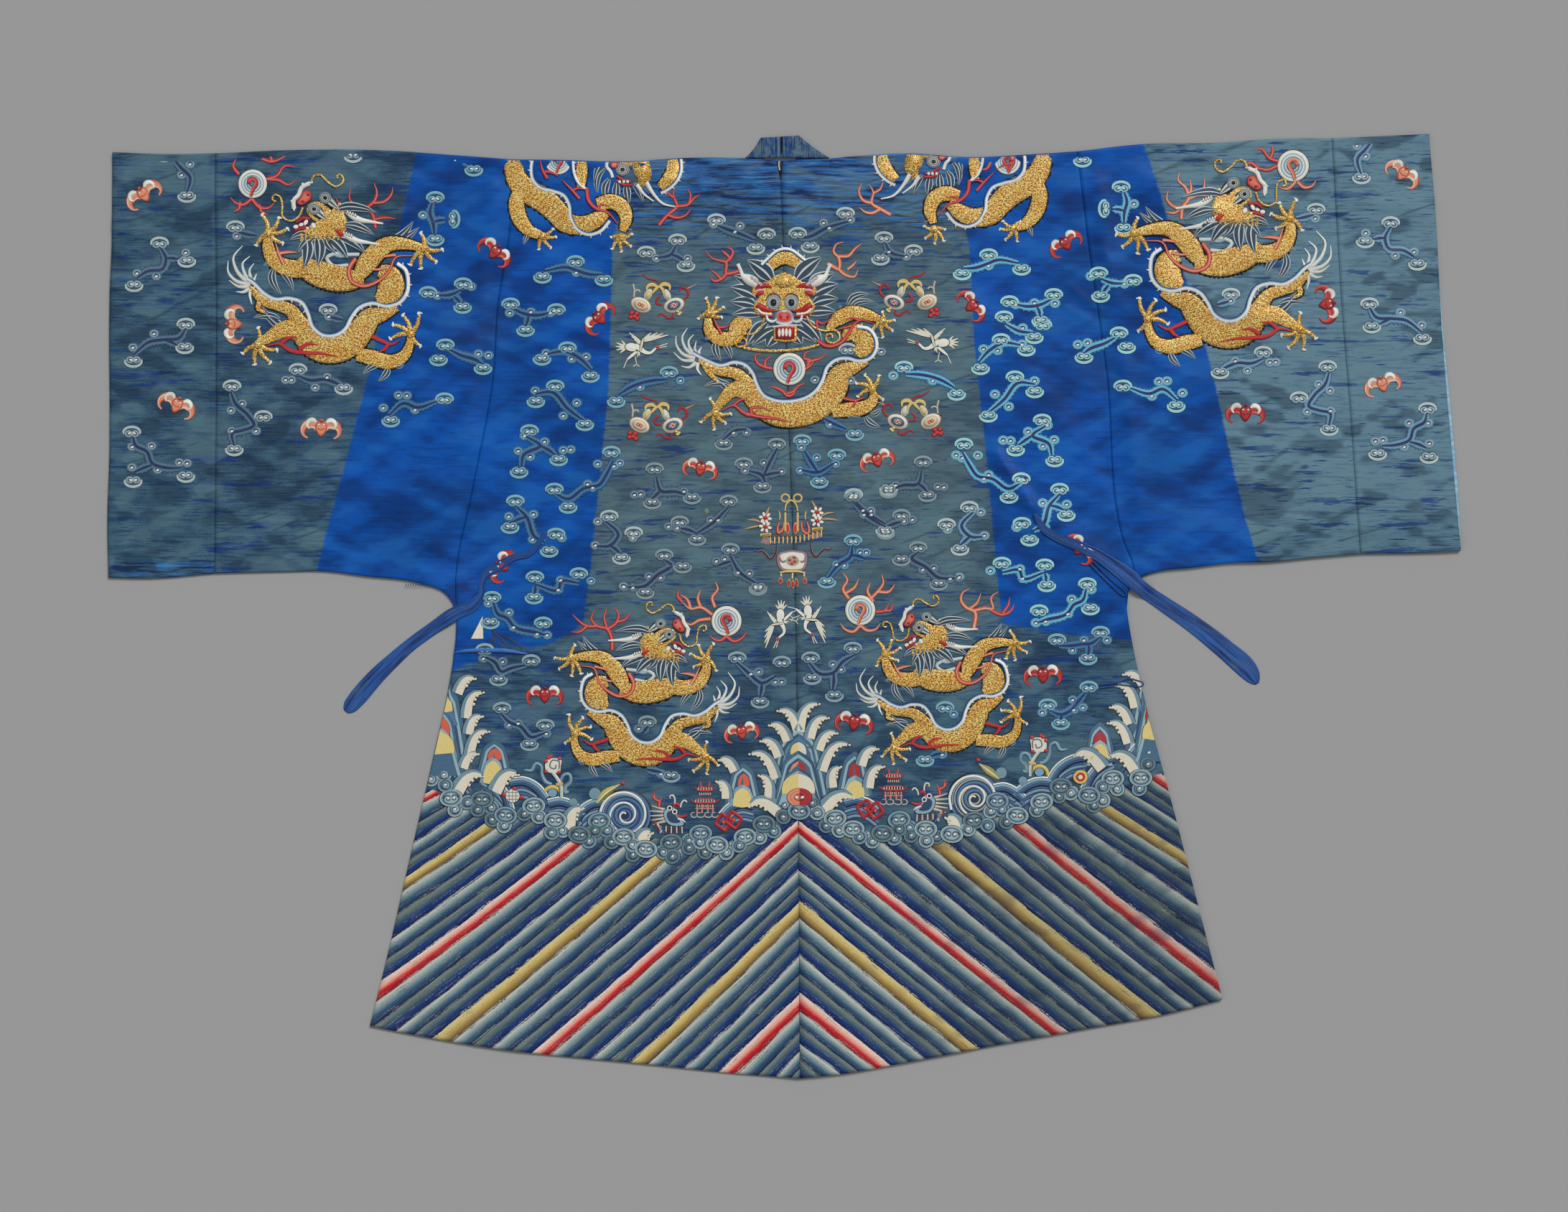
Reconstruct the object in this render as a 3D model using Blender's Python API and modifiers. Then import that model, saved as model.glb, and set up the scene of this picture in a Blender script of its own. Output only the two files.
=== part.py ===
"""A silk dragon robe laid flat on a table with its back up.

Every piece that a maker cuts is its own cloth wall. X runs across the back to the wearer's right,
Y up to the neck, Z up from the table. The back layer lies on the front layer, which lies flat.
"""

import math

import bmesh
import bpy
import numpy as np
from mathutils import Vector
from mathutils.bvhtree import BVHTree

MM = 0.001
COLLECTION = "dragon_robe"

# Driving dimensions, metres
WALL = 0.0014  # silk, padding and lining of one layer
LAY = 0.0003  # air between two layers that lie on each other
SEAM = 0.0004  # air between two pieces at a seam
SOFT_RISE = 0.0011  # how much higher than pressed cloth the back layer lies
FOLD_RISE = 0.0012  # what a folded edge adds to that
TIE_WALL = 0.0016  # both layers of a pressed tie
LINING_WALL = 0.0010
CORD_RADIUS = 0.0011
NEAR = 0.009  # a tie or cord clears the cloth this far round each of its points
EDGE_DROP = 0.022  # width over which it sinks from the robe's edge to the table
NECK_BAND_HEIGHT = 0.031
NECK_BAND_WALL = 0.0012
NECK_LINE_Y = 0.6613  # where the neckline crosses the shoulder line
NECK_FREE_WIDTH = 0.0553  # the band's upper edge
NECK_FREE_MIDDLE = -0.0063
NECK_TILT = 0.0016  # the upper edge rises to the right by this either way
NECK_FREE_Z = 0.0042
NECK_DROP = 0.082  # depth of the front neckline, hidden below the back
OVERLAP_MARGIN = 0.110  # the layers above the overlap stay raised this far past its edge
OVERLAP_RAMP = 0.055  # and then sink by one layer over this width
ARMPIT_RUN_OUT = 0.08  # length over which the underarm fold flattens towards the armpit
ARMPIT_ROOM = 0.0010  # extra air where the underarm fold runs into the armhole seam
BEND_STEPS = 4  # facets round a folded edge
NECK_STEPS = 6  # columns of cloth from a neckline's end to the centre seam
NECK_PULL = 3  # the power by which the front sinks towards the neckline
BODY_HALF_WIDTH = 0.62
LINING_DEPTH = 0.022  # how far the lining's edge reaches into the sleeve
LINING_SPAN = (0.03, 0.93)  # the stretch of the mouth along which it shows
LINING_COVER = 0.024  # the back layer lies on the lining this far in from its edge
LINING_RAMP = 0.030  # and sinks again over this width
LINING_PRESS = 0.0006  # the back layer is pressed this much thinner over the lining
BAND_END_ANGLE = 0.03  # radians left open between the neck band's two ends at the centre front
BAND_STEPS = 8  # facets of each quarter of the neck band
BAND_ROWS = 3
OVERLAP_CELLS = 12
LINING_CELLS = 14

# Cuts and outlines, millimetres in plan: x, y
SHOULDER_LEFT_CUFF = ((-992.4, 670.4), (-905.3, 667.3), (-840.4, 668.6))
SHOULDER_LEFT_SLEEVE = ((-840.4, 668.6), (-714.0, 673.6), (-586.5, 672.6), (-490.9, 666.2), (-401.6, 659.5))
SHOULDER_LEFT = ((-401.6, 659.5), (-331.5, 658.8), (-235.9, 656.6), (-140.3, 661.9), (-58.4, 661.9))
SHOULDER_RIGHT = ((68.0, 660.9), (114.8, 665.1), (178.5, 668.3), (274.1, 663.0), (369.8, 667.3),
                  (433.5, 671.5))
SHOULDER_RIGHT_SLEEVE = ((433.5, 671.5), (529.1, 682.1), (646.0, 684.3), (720.4, 689.6), (809.6, 690.6))
SHOULDER_RIGHT_CUFF = ((809.6, 690.6), (879.8, 693.8), (953.1, 697.2))
NECK_BACK_LEFT = ((-58.4, 661.9), (-5.3, 658.5))
NECK_BACK_RIGHT = ((-5.3, 658.5), (68.0, 660.9))

MOUTH_LEFT = ((-997.7, 42.5), (-999.8, 99.9), (-996.6, 238.0), (-996.6, 450.5), (-993.4, 535.5),
              (-992.4, 670.4))
MOUTH_RIGHT = ((999.7, 81.8), (991.0, 180.0), (972.2, 407.0), (962.6, 580.0), (953.1, 697.2))
LINING_EDGE_RIGHT = ((999.8, 81.8), (997.3, 152.0), (984.6, 300.7), (972.2, 429.2), (963.0, 560.0),
                     (953.1, 697.2))
CUFF_SEAM_LEFT = ((-841.5, 48.9), (-839.0, 350.0), (-840.4, 668.6))
CUFF_SEAM_RIGHT = ((851.1, 78.0), (834.1, 323.0), (828.8, 384.6), (809.6, 690.6))
ARMHOLE_LEFT = ((-484.5, -11.7), (-485.6, 38.3), (-460.1, 174.3), (-429.3, 344.3), (-423.9, 434.6),
                (-403.8, 570.6), (-401.6, 659.5))
ARMHOLE_RIGHT = ((504.7, 12.5), (517.0, 47.0), (500.4, 100.0), (477.1, 344.3), (452.0, 520.0), (433.5, 671.5))
UNDERARM_LEFT_CUFF = ((-997.7, 42.5), (-937.1, 41.4), (-841.5, 48.9))
UNDERARM_LEFT = ((-841.5, 48.9), (-745.9, 51.0), (-682.1, 52.0), (-618.4, 44.6), (-541.9, 35.1), (-519.6, 28.7),
                 (-504.7, 22.3), (-494.1, 11.7), (-487.7, 1.1), (-484.5, -11.7))
UNDERARM_RIGHT_CUFF = ((999.7, 81.8), (940.0, 79.0), (851.1, 78.0))
UNDERARM_RIGHT = ((851.1, 78.0), (784.1, 72.3), (720.4, 65.9), (656.6, 63.8), (604.6, 57.4), (550.4, 51.0),
                  (528.1, 43.6), (514.0, 32.0), (504.7, 12.5))
SIDE_LEFT = ((-612.0, -620.5), (-588.6, -527.0), (-549.3, -357.0), (-519.6, -229.5), (-496.2, -124.3),
             (-484.5, -30.8), (-484.5, -11.7))
SIDE_RIGHT = ((648.1, -581.2), (612.0, -442.0), (573.8, -293.3), (538.7, -161.5), (517.4, -68.0),
              (507.9, -13.8), (504.7, 12.5))
HEM_LEFT = ((-612.0, -620.5), (-554.6, -632.2), (-459.0, -649.2), (-331.5, -665.1), (-204.0, -676.8),
            (-76.5, -690.6), (23.4, -697.9))
HEM_RIGHT = ((23.4, -697.9), (82.9, -691.7), (178.5, -674.7), (306.0, -650.2), (433.5, -626.9),
             (561.0, -603.5), (648.1, -581.2))
CENTRE_SEAM = ((23.4, -697.9), (21.3, -357.0), (17.0, -17.0), (5.3, 316.6), (-2.5, 560.0), (-5.3, 658.5))
# Upper edge of the overlap, from the front neck to the wearer's right side
OVERLAP_TOP = ((6.0, 500.0), (90.0, 470.0), (210.0, 395.0), (330.0, 270.0), (430.0, 130.0), (507.0, -8.0))

# The largest folds of the back layer, millimetres: start x, y, end x, y, half-width, height
FOLDS = (
    (-985, 560, -835, 622, 17, 3.4),
    (-975, 470, -860, 500, 20, 2.2),
    (-700, 640, -560, 575, 20, 3.6),
    (-830, 330, -700, 250, 24, 2.4),
    (-560, 330, -470, 250, 22, 2.6),
    (-720, 90, -560, 170, 26, 2.8),
    (-985, 75, -850, 70, 12, 2.2),
    (-427, 640, -452, 430, 14, 2.6),
    (-456, 340, -512, 62, 15, 3.0),
    (-480, -68, -385, -71, 11, 3.2),
    (-330, 620, -250, 520, 22, 2.0),
    (-215, 645, -60, 600, 15, 2.6),
    (60, 612, 210, 640, 15, 2.6),
    (-160, 560, 150, 572, 14, 1.8),
    (310, 230, 372, 138, 9, 4.2),
    (372, 138, 470, 75, 18, 2.6),
    (463, 640, 492, 420, 14, 3.0),
    (502, 380, 526, 120, 14, 3.0),
    (520, 640, 650, 560, 24, 3.4),
    (560, 480, 690, 430, 24, 2.6),
    (690, 90, 800, 150, 24, 4.0),
    (850, 110, 960, 150, 20, 2.6),
    (840, 600, 945, 585, 16, 2.4),
    (-560, -560, -380, -640, 28, 2.4),
    (-200, -560, -60, -400, 30, 1.8),
    (230, -330, 420, -520, 26, 3.4),
    (330, -420, 560, -560, 30, 4.2),
    (110, -500, 260, -640, 26, 2.6),
    (-430, -180, -300, -120, 26, 1.8),
    (330, -150, 470, -210, 24, 2.0),
)

# Ties from their sewn end to the tip, millimetres: x, y, width
TIE_LEFT_ROUTE = ((-352, 109, 7), (-363, 92, 7), (-375, 78, 9), (-400, 72, 10), (-424, 57, 14), (-440, 47, 12),
                  (-446, 34, 8), (-447, 18, 8), (-460, 1, 17), (-484, -10, 19), (-522, -35, 19), (-552, -57, 20),
                  (-576, -78, 22), (-604, -105, 23), (-630, -135, 24), (-648, -156, 20))
TIE_RIGHT_ROUTE = ((371, 137, 6), (376, 125, 9), (385, 113, 10), (401, 103, 13), (432, 90, 15), (462, 76, 17),
                   (486, 60, 20), (508, 44, 24), (530, 25, 22), (560, 4, 23), (607, -28, 26), (650, -62, 28),
                   (688, -97, 27), (700, -115, 17))
# Cord loops, from one sewn end out to the eye and back, millimetres: x, y
LOOP_WAIST_ROUTE = ((466, -116.5), (480, -115), (496, -112.5), (507, -108.0), (518, -109.0), (527, -112.5),
                    (531.2, -115.5), (527, -118.0), (517, -118.8), (506, -117.5), (495, -116.3), (480, -119.2),
                    (466, -121.0))
LOOP_ARM_ROUTE = ((452, 62), (464, 49), (477, 36), (489, 25), (498, 17), (503, 15.0), (505.5, 17.5), (503, 22),
                  (494, 29.5), (482, 40), (469, 53), (457, 66))

# Rows and columns of the cloth: a sleeve and the body share their rows along the armhole
PITCH = 0.037
ARM_ROWS_BACK = 17
ARM_ROWS_FRONT = 6
BODY_ROWS_BACK = 18
BODY_ROWS_FRONT = 6


def hermite(table, samples=24):
    """A dense smooth line through a table's points: cubics whose slopes come from the neighbours."""
    points = np.array(table, float) * MM
    at = np.concatenate([[0.0], np.cumsum(np.linalg.norm(np.diff(points[:, :2], axis=0), axis=1))])
    slopes = np.gradient(points, at, axis=0)
    line = []
    for i in range(len(points) - 1):
        h = at[i + 1] - at[i]
        t = np.linspace(0, 1, samples, endpoint=False)[:, None]
        line.append((2 * t**3 - 3 * t**2 + 1) * points[i] + (t**3 - 2 * t**2 + t) * h * slopes[i]
                    + (3 * t**2 - 2 * t**3) * points[i + 1] + (t**3 - t**2) * h * slopes[i + 1])
    return np.vstack(line + [points[-1:]])


def edge(*tables, shift=0.0):
    """One edge made of tables that meet end to end, moved by shift in x. It maps 0..1 to points."""
    line = np.vstack([hermite(table) for table in tables])
    line[:, 0] += shift
    at = np.concatenate([[0.0], np.cumsum(np.linalg.norm(np.diff(line, axis=0), axis=1))])
    keep = np.concatenate([[True], np.diff(at) > 1e-9])
    at, line = at[keep] / at[-1], line[keep]
    return lambda t: np.column_stack([np.interp(t, at, column) for column in line.T])


def length_of(*tables):
    return sum(np.linalg.norm(np.diff(hermite(table), axis=0), axis=1).sum() for table in tables)


def patch(left, right, low, high, u, v):
    """Plan points of a panel from its four edges, a Coons patch: rows follow v, columns u."""
    u_, v_ = u[None, :, None], v[:, None, None]
    sides = (1 - u_) * left(v)[:, None] + u_ * right(v)[:, None]
    ends = (1 - v_) * low(u)[None] + v_ * high(u)[None]
    corners = ((1 - v_) * ((1 - u_) * low(0.0)[0] + u_ * low(1.0)[0])
               + v_ * ((1 - u_) * high(0.0)[0] + u_ * high(1.0)[0]))
    return sides + ends - corners


def smoothstep(t):
    t = np.clip(t, 0, 1)
    return t * t * (3 - 2 * t)


def centre_x(y):
    """The centre seam's x at a height y."""
    line = hermite(CENTRE_SEAM)
    return np.interp(y, line[:, 1], line[:, 0])


def overlap_cover(x, y):
    """1 over the overlap, falling to 0 beside it: the layers above rise by one wall there."""
    line = hermite(OVERLAP_TOP)
    past_top = y - np.interp(x, line[:, 0], line[:, 1])
    past_centre = centre_x(y) - x
    past = np.maximum(past_top - OVERLAP_MARGIN, past_centre)
    return smoothstep(1 - past / OVERLAP_RAMP)


def fold_height(x, y):
    """The back layer's soft folds: each is a bell across its line and fades out past its ends."""
    height = np.zeros(np.broadcast(x, y).shape)
    for x0, y0, x1, y1, half_width, rise in np.array(FOLDS, float) * MM:
        length = math.hypot(x1 - x0, y1 - y0)
        along = ((x - x0) * (x1 - x0) + (y - y0) * (y1 - y0)) / length**2
        across = ((x - x0) * (y1 - y0) - (y - y0) * (x1 - x0)) / length
        past_end = (np.abs(along - 0.5) - 0.38) * length
        height += rise * np.exp(-(across / half_width) ** 2) * smoothstep(1 - past_end / (2.6 * half_width))
    return height


def left_front_z(x, y):
    """Middle of a left front layer, flat on the table."""
    return np.full(np.broadcast(x, y).shape, WALL / 2)


def right_front_z(x, y):
    """Middle of a right front layer: on the overlap, and down to the table beside it."""
    return WALL / 2 + (WALL + LAY) * overlap_cover(x, y)


def back_z(x, y):
    """Middle of the back layer: one layer above the front, softly raised, with its folds."""
    lift = (WALL + LAY) * overlap_cover(x, y)
    return WALL / 2 + WALL + LAY + lift + SOFT_RISE + fold_height(x, y)


def bend(plan, low_z, high_z, outward):
    """Points round a folded edge from the lower layer to the upper one, half circles towards outward."""
    radius = (high_z - low_z) / 2
    turn = np.linspace(-math.pi / 2, math.pi / 2, BEND_STEPS + 1)[:, None]
    reach = radius * (np.cos(turn) - 1)
    outward = np.broadcast_to(outward, plan.shape)
    return np.dstack([plan[:, 0] + outward[:, 0] * reach, plan[:, 1] + outward[:, 1] * reach,
                      low_z + radius * (1 + np.sin(turn))])


def run_out(rows):
    """Plan directions in which the columns of a layer run out over its first row."""
    away = rows[0, :, :2] - rows[1, :, :2]
    return away / np.linalg.norm(away, axis=1)[:, None]


def lifted(plan, height):
    return np.dstack([plan, height(plan[..., 0], plan[..., 1])])


def material(name, colour, roughness):
    made = bpy.data.materials.new(name)
    made.use_nodes = True
    shader = made.node_tree.nodes["Principled BSDF"]
    shader.inputs["Base Color"].default_value = (*colour, 1)
    shader.inputs["Roughness"].default_value = roughness
    shader.inputs["Metallic"].default_value = 0
    return made


def add_object(name, mesh, finish):
    made = bpy.data.objects.new(name, mesh)
    made.data.materials.append(finish)
    bpy.data.collections[COLLECTION].objects.link(made)
    return made


def cloth(name, grid, finish, wall=WALL, closed=False, present=None):
    """A wall of cloth round a grid of middle points. present marks the cells that are cloth."""
    rows, columns = grid.shape[:2]
    last = rows if closed else rows - 1
    index = np.arange(rows * columns).reshape(rows, columns)
    below, above = index[:last], np.roll(index, -1, axis=0)[:last]
    faces = np.stack([below[:, :-1], below[:, 1:], above[:, 1:], above[:, :-1]], axis=-1)
    if present is not None:
        faces = faces[present]
    mesh = bpy.data.meshes.new(name)
    mesh.from_pydata(grid.reshape(-1, 3).tolist(), [], faces.reshape(-1, 4).tolist())
    work = bmesh.new()
    work.from_mesh(mesh)
    bmesh.ops.delete(work, geom=[v for v in work.verts if not v.link_faces], context="VERTS")
    work.to_mesh(mesh)
    work.free()
    mesh.shade_smooth()
    mesh.set_sharp_from_angle(angle=math.radians(40))
    piece = add_object(name, mesh, finish)
    thicken = piece.modifiers.new("wall", "SOLIDIFY")
    thicken.thickness = wall
    thicken.offset = 0
    thicken.use_even_offset = True
    return piece


def steps(length, pitch):
    return max(2, round(length / pitch))


def sleeve_tube(name, finish, start, end, low, high, width, front_z, raise_back=back_z, flat_end=None):
    """A flat tube: front layer on the table, fold at the top, back layer, fold at the underarm seam.

    flat_end is the share along the sleeve, 0 or 1, where the underarm fold runs out into the body.
    """
    u = np.linspace(0, 1, steps(width, PITCH) + 1)
    v_back = np.linspace(1, 0, ARM_ROWS_BACK + 1)
    v_front = np.linspace(0, 1, ARM_ROWS_FRONT + 1)
    back = lifted(patch(start, end, low, high, u, v_back), raise_back)
    front = lifted(patch(start, end, low, high, u, v_front), front_z)
    back[0, :, 2] += FOLD_RISE
    runs_out = 1 if flat_end is None else smoothstep(np.abs(u - flat_end) * width / ARMPIT_RUN_OUT)
    back[-1, :, 2] += FOLD_RISE * runs_out
    top = bend(back[0, :, :2], front[-1, :, 2], back[0, :, 2], run_out(back))
    under = bend(back[-1, :, :2], front[0, :, 2], back[-1, :, 2], run_out(back[::-1]))
    if flat_end is not None:
        under[:, -flat_end, 0] += ARMPIT_ROOM * (1 - 2 * flat_end)
    rows = [front[1:-1], top, back[1:-1], under[::-1]]
    return cloth(name, np.concatenate(rows), finish, closed=True)


def neck_hole():
    """The neck hole's middle x and half-width on the shoulder line."""
    left, right = NECK_BACK_LEFT[0][0] * MM, NECK_BACK_RIGHT[1][0] * MM
    return (left + right) / 2, (right - left) / 2


def neck_front_y(x):
    """The front neckline, a half ellipse below the shoulder line, for x inside the neck."""
    middle, half = neck_hole()
    return NECK_LINE_Y - NECK_DROP * np.sqrt(np.clip(1 - ((x - middle) / half) ** 2, 0, 1))


def body_rows(armpit, body_rows_below, arm_rows_above):
    """Shares of the side edge from hem to shoulder, even below the armpit and even above it."""
    return np.concatenate([np.linspace(0, armpit, body_rows_below + 1),
                           np.linspace(armpit, 1, arm_rows_above + 1)[1:]])


def body_half(name, finish, side_cut, armhole, side_shift, hem, shoulder, neck, neck_at_end, front_z):
    """Back and front of one half in one piece, folded over the shoulder, cut away at the neck.

    neck_at_end says that the neck lies at the last columns (left half) or the first (right half).
    """
    side = edge(side_cut, armhole, shift=side_shift)
    armpit = length_of(side_cut) / length_of(side_cut, armhole)
    neck_width = abs(neck[1][0] - neck[0][0]) * MM
    shoulder_share = 1 - neck_width / (neck_width + abs(shoulder[-1][0] - shoulder[0][0]) * MM)
    out = np.linspace(0, shoulder_share, steps(BODY_HALF_WIDTH * shoulder_share, PITCH) + 1)
    hole_half = neck_hole()[1]
    turn = np.linspace(0, math.acos(1 - neck_width / hole_half), NECK_STEPS + 1)[1:]
    into_neck = (1 - np.cos(turn)) * hole_half / neck_width
    u = np.concatenate([out, shoulder_share + (1 - shoulder_share) * into_neck])
    if neck_at_end:
        high = edge(shoulder, neck)
        left, right = side, edge(CENTRE_SEAM, shift=-SEAM / 2)
    else:
        u = 1 - u[::-1]
        high = edge(neck, shoulder)
        left, right = edge(CENTRE_SEAM, shift=SEAM / 2), side
    v_back = body_rows(armpit, BODY_ROWS_BACK, ARM_ROWS_BACK)[::-1]
    v_front = body_rows(armpit, BODY_ROWS_FRONT, ARM_ROWS_FRONT)
    back = lifted(patch(left, right, hem, high, u, v_back), back_z)
    front_plan = patch(left, right, hem, high, u, v_front)
    in_neck = u > shoulder_share + 1e-6 if neck_at_end else u < 1 - shoulder_share - 1e-6
    top = front_plan[-1, :, 1].copy()
    lowered = np.where(in_neck, neck_front_y(front_plan[-1, :, 0]), top)
    front_plan[..., 1] += (lowered - top) * v_front[:, None] ** NECK_PULL
    front = lifted(front_plan, front_z)
    back[0, ~in_neck, 2] += FOLD_RISE
    fold = bend(back[0, :, :2], front[-1, :, 2], back[0, :, 2], run_out(back))
    fold[0, in_neck] = front[-1, in_neck]
    fold[-1, in_neck] = back[0, in_neck]
    fold[-1, in_neck, 1] -= SEAM
    grid = np.concatenate([front[:-1], fold, back[1:]])
    present = np.ones((grid.shape[0] - 1, grid.shape[1] - 1), bool)
    open_cells = in_neck[1:] | in_neck[:-1]
    present[len(front) - 1:len(front) - 1 + BEND_STEPS, open_cells] = False
    return cloth(name, grid, finish, present=present)


def front_overlap(finish):
    """The outer front: lies flat on the table below the right half, from the centre to the side."""
    top, side, centre = hermite(OVERLAP_TOP), hermite(SIDE_RIGHT), hermite(CENTRE_SEAM)
    u, v = np.linspace(0, 1, OVERLAP_CELLS + 1), np.linspace(0, 1, OVERLAP_CELLS + 1)
    hem_y = edge(HEM_RIGHT)(u)[:, 1]
    top_y = np.interp(top[0, 0] + (top[-1, 0] - top[0, 0]) * u, top[:, 0], top[:, 1])
    y = hem_y + (top_y - hem_y) * v[:, None]
    x_side = np.interp(y[:, -1], side[:, 1], side[:, 0])
    x_centre = np.interp(y[:, 0], centre[:, 1], centre[:, 0]) + SEAM / 2
    x = x_centre[:, None] + (x_side - x_centre)[:, None] * u
    return cloth("front_overlap", np.dstack([x, y, np.full(x.shape, WALL / 2)]), finish)


def cuff_lining(finish):
    """The lining's edge in the right sleeve's mouth, lying on the front layer past the back one."""
    outer = edge(LINING_EDGE_RIGHT)(np.linspace(*LINING_SPAN, LINING_CELLS + 1))
    inner = outer - [LINING_DEPTH, 0]
    z = WALL + LAY + LINING_WALL / 2
    rows = [np.column_stack([inner + (outer - inner) * k, np.full(len(outer), z)]) for k in (0, 0.5, 1)]
    return cloth("cuff_lining_right", np.array(rows), finish, wall=LINING_WALL)


def cuff_back_z(x, y):
    """The right cuff's back layer, raised near its mouth by the lining below it."""
    line = hermite(LINING_EDGE_RIGHT)
    inside = np.interp(y, line[:, 1], line[:, 0]) - x
    raised = (LINING_WALL + LAY) * smoothstep(1 - (inside - LINING_COVER) / LINING_RAMP)
    return back_z(x, y) + raised - LINING_PRESS * (inside < LINING_RAMP)


def neck_band(finish):
    """The band round the neck: its back part lies past the shoulder line, its front part below.

    The strip runs from the centre front up one side, over a fold to the back part, over the other
    fold and down again. Its seam edge is the neckline, and its free edge lies one band height inside.
    """
    middle, half = neck_hole()
    room = 3 * SEAM
    free_half, free_middle = NECK_FREE_WIDTH / 2, NECK_FREE_MIDDLE
    quarter = np.linspace(math.pi / 2 - BAND_END_ANGLE, 0, BAND_STEPS + 1)
    share = np.linspace(-1, 1, BAND_STEPS + 1)
    columns = []
    for k in np.linspace(0, 1, BAND_ROWS + 1):
        mid = middle + (free_middle - middle) * k
        wide = half - room + (free_half - half + room) * k
        line_y = NECK_LINE_Y + room + (NECK_BAND_HEIGHT + NECK_TILT * share) * k
        drop = NECK_DROP - room - (NECK_DROP - NECK_BAND_HEIGHT) * k + NECK_BAND_HEIGHT * k
        back = np.column_stack([mid + wide * share, line_y])
        low_z = NECK_BAND_WALL / 2
        z_seam = back_z(back[:, 0], np.full(len(share), NECK_LINE_Y))
        z_back = z_seam + (NECK_FREE_Z - z_seam) * k
        right_x, left_x = mid + wide * np.cos(quarter), mid - wide * np.cos(quarter[::-1])
        right_y = line_y[-1] - drop * np.sin(quarter)
        left_y = line_y[0] - drop * np.sin(quarter[::-1])
        first = np.column_stack([right_x, right_y, np.full(len(quarter), low_z)])
        last = np.column_stack([left_x, left_y, np.full(len(quarter), low_z)])
        right_fold = bend(back[-1:], np.array([low_z]), z_back[-1:], (1, 0))[:, 0]
        left_fold = bend(back[:1], np.array([low_z]), z_back[:1], (-1, 0))[::-1, 0]
        upper = np.column_stack([back, z_back])[::-1]
        columns.append(np.concatenate([first[:-1], right_fold, upper[1:-1], left_fold, last[1:]]))
    return cloth("neck_band", np.array(columns), finish, wall=NECK_BAND_WALL)


def robe_outline():
    """The robe's outline in plan, without the neck band: a closed line."""
    parts = [SHOULDER_LEFT_CUFF, SHOULDER_LEFT_SLEEVE, SHOULDER_LEFT, NECK_BACK_LEFT, NECK_BACK_RIGHT,
             SHOULDER_RIGHT, SHOULDER_RIGHT_SLEEVE, SHOULDER_RIGHT_CUFF, MOUTH_RIGHT[::-1],
             UNDERARM_RIGHT_CUFF, UNDERARM_RIGHT, SIDE_RIGHT[::-1], HEM_RIGHT[::-1], HEM_LEFT[::-1],
             SIDE_LEFT, UNDERARM_LEFT[::-1], UNDERARM_LEFT_CUFF[::-1], MOUTH_LEFT]
    return np.vstack([hermite(part, samples=5)[:-1] for part in parts])


def outside(x, y):
    """How far each plan point lies outside the robe, 0 inside."""
    line = robe_outline()
    a, b = line, np.roll(line, -1, axis=0)
    p = np.column_stack([x, y])[:, None]
    run = b - a
    t = np.clip(((p - a) * run).sum(-1) / (run**2).sum(-1).clip(1e-12), 0, 1)
    near = np.linalg.norm(p - a - t[..., None] * run, axis=-1).min(axis=1)
    crosses = (a[:, 1] > p[..., 1]) != (b[:, 1] > p[..., 1])
    rise = np.where(np.abs(run[:, 1]) < 1e-12, 1e-12, run[:, 1])
    at_x = a[:, 0] + (p[..., 1] - a[:, 1]) * run[:, 0] / rise
    inside = ((crosses & (p[..., 0] < at_x)).sum(axis=1) % 2).astype(bool)
    return np.where(inside, 0.0, near)


def cloth_tops(pieces):
    """A function that gives the height of the uppermost cloth at each plan point, nan off the cloth."""
    graph = bpy.context.evaluated_depsgraph_get()
    trees = [BVHTree.FromObject(piece, graph) for piece in pieces]
    down = Vector((0, 0, -1))

    def top(x, y):
        hits = [tree.ray_cast(Vector((x, y, 1)), down)[0] for tree in trees]
        return max((hit.z for hit in hits if hit), default=math.nan)

    return np.vectorize(top, otypes=[float])


def resting_z(plan, half, tops):
    """Middle heights of a strip of half-thickness half on the robe's points, and past them on the table.

    plan holds rows along the strip. Each point clears the highest cloth within one step of it.
    """
    around = NEAR * np.array([[0, 0], [1, 0], [-1, 0], [0, 1], [0, -1]])
    far = plan + around[:, None, None]
    found = tops(far[..., 0], far[..., 1])
    top = np.where(np.isnan(found), -1, found).max(axis=0)
    for column in top.T:
        known = np.flatnonzero(column >= 0)
        column[:] = np.interp(np.arange(len(column)), known, column[known])
    off = outside(plan[..., 0].ravel(), plan[..., 1].ravel()).reshape(plan.shape[:2])
    drop = smoothstep((off - NEAR) / EDGE_DROP)
    return half + (top + LAY) * (1 - drop)


def tie(name, route, finish, tops):
    """A flat strap along a route of x, y and width."""
    table = np.array(route, float)
    length = np.linalg.norm(np.diff(table[:, :2], axis=0), axis=1).sum() * MM
    line = edge(route)(np.linspace(0, 1, steps(length, 0.010) + 1))
    forward = np.gradient(line[:, :2], axis=0)
    forward /= np.linalg.norm(forward, axis=1)[:, None]
    side = np.column_stack([-forward[:, 1], forward[:, 0]]) * line[:, 2:3] / 2
    plan = line[:, None, :2] + np.linspace(-1, 1, 4)[:, None] * side[:, None]
    grid = np.dstack([plan, resting_z(plan, TIE_WALL / 2, tops)])
    return cloth(name, grid, finish, wall=TIE_WALL)


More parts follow.
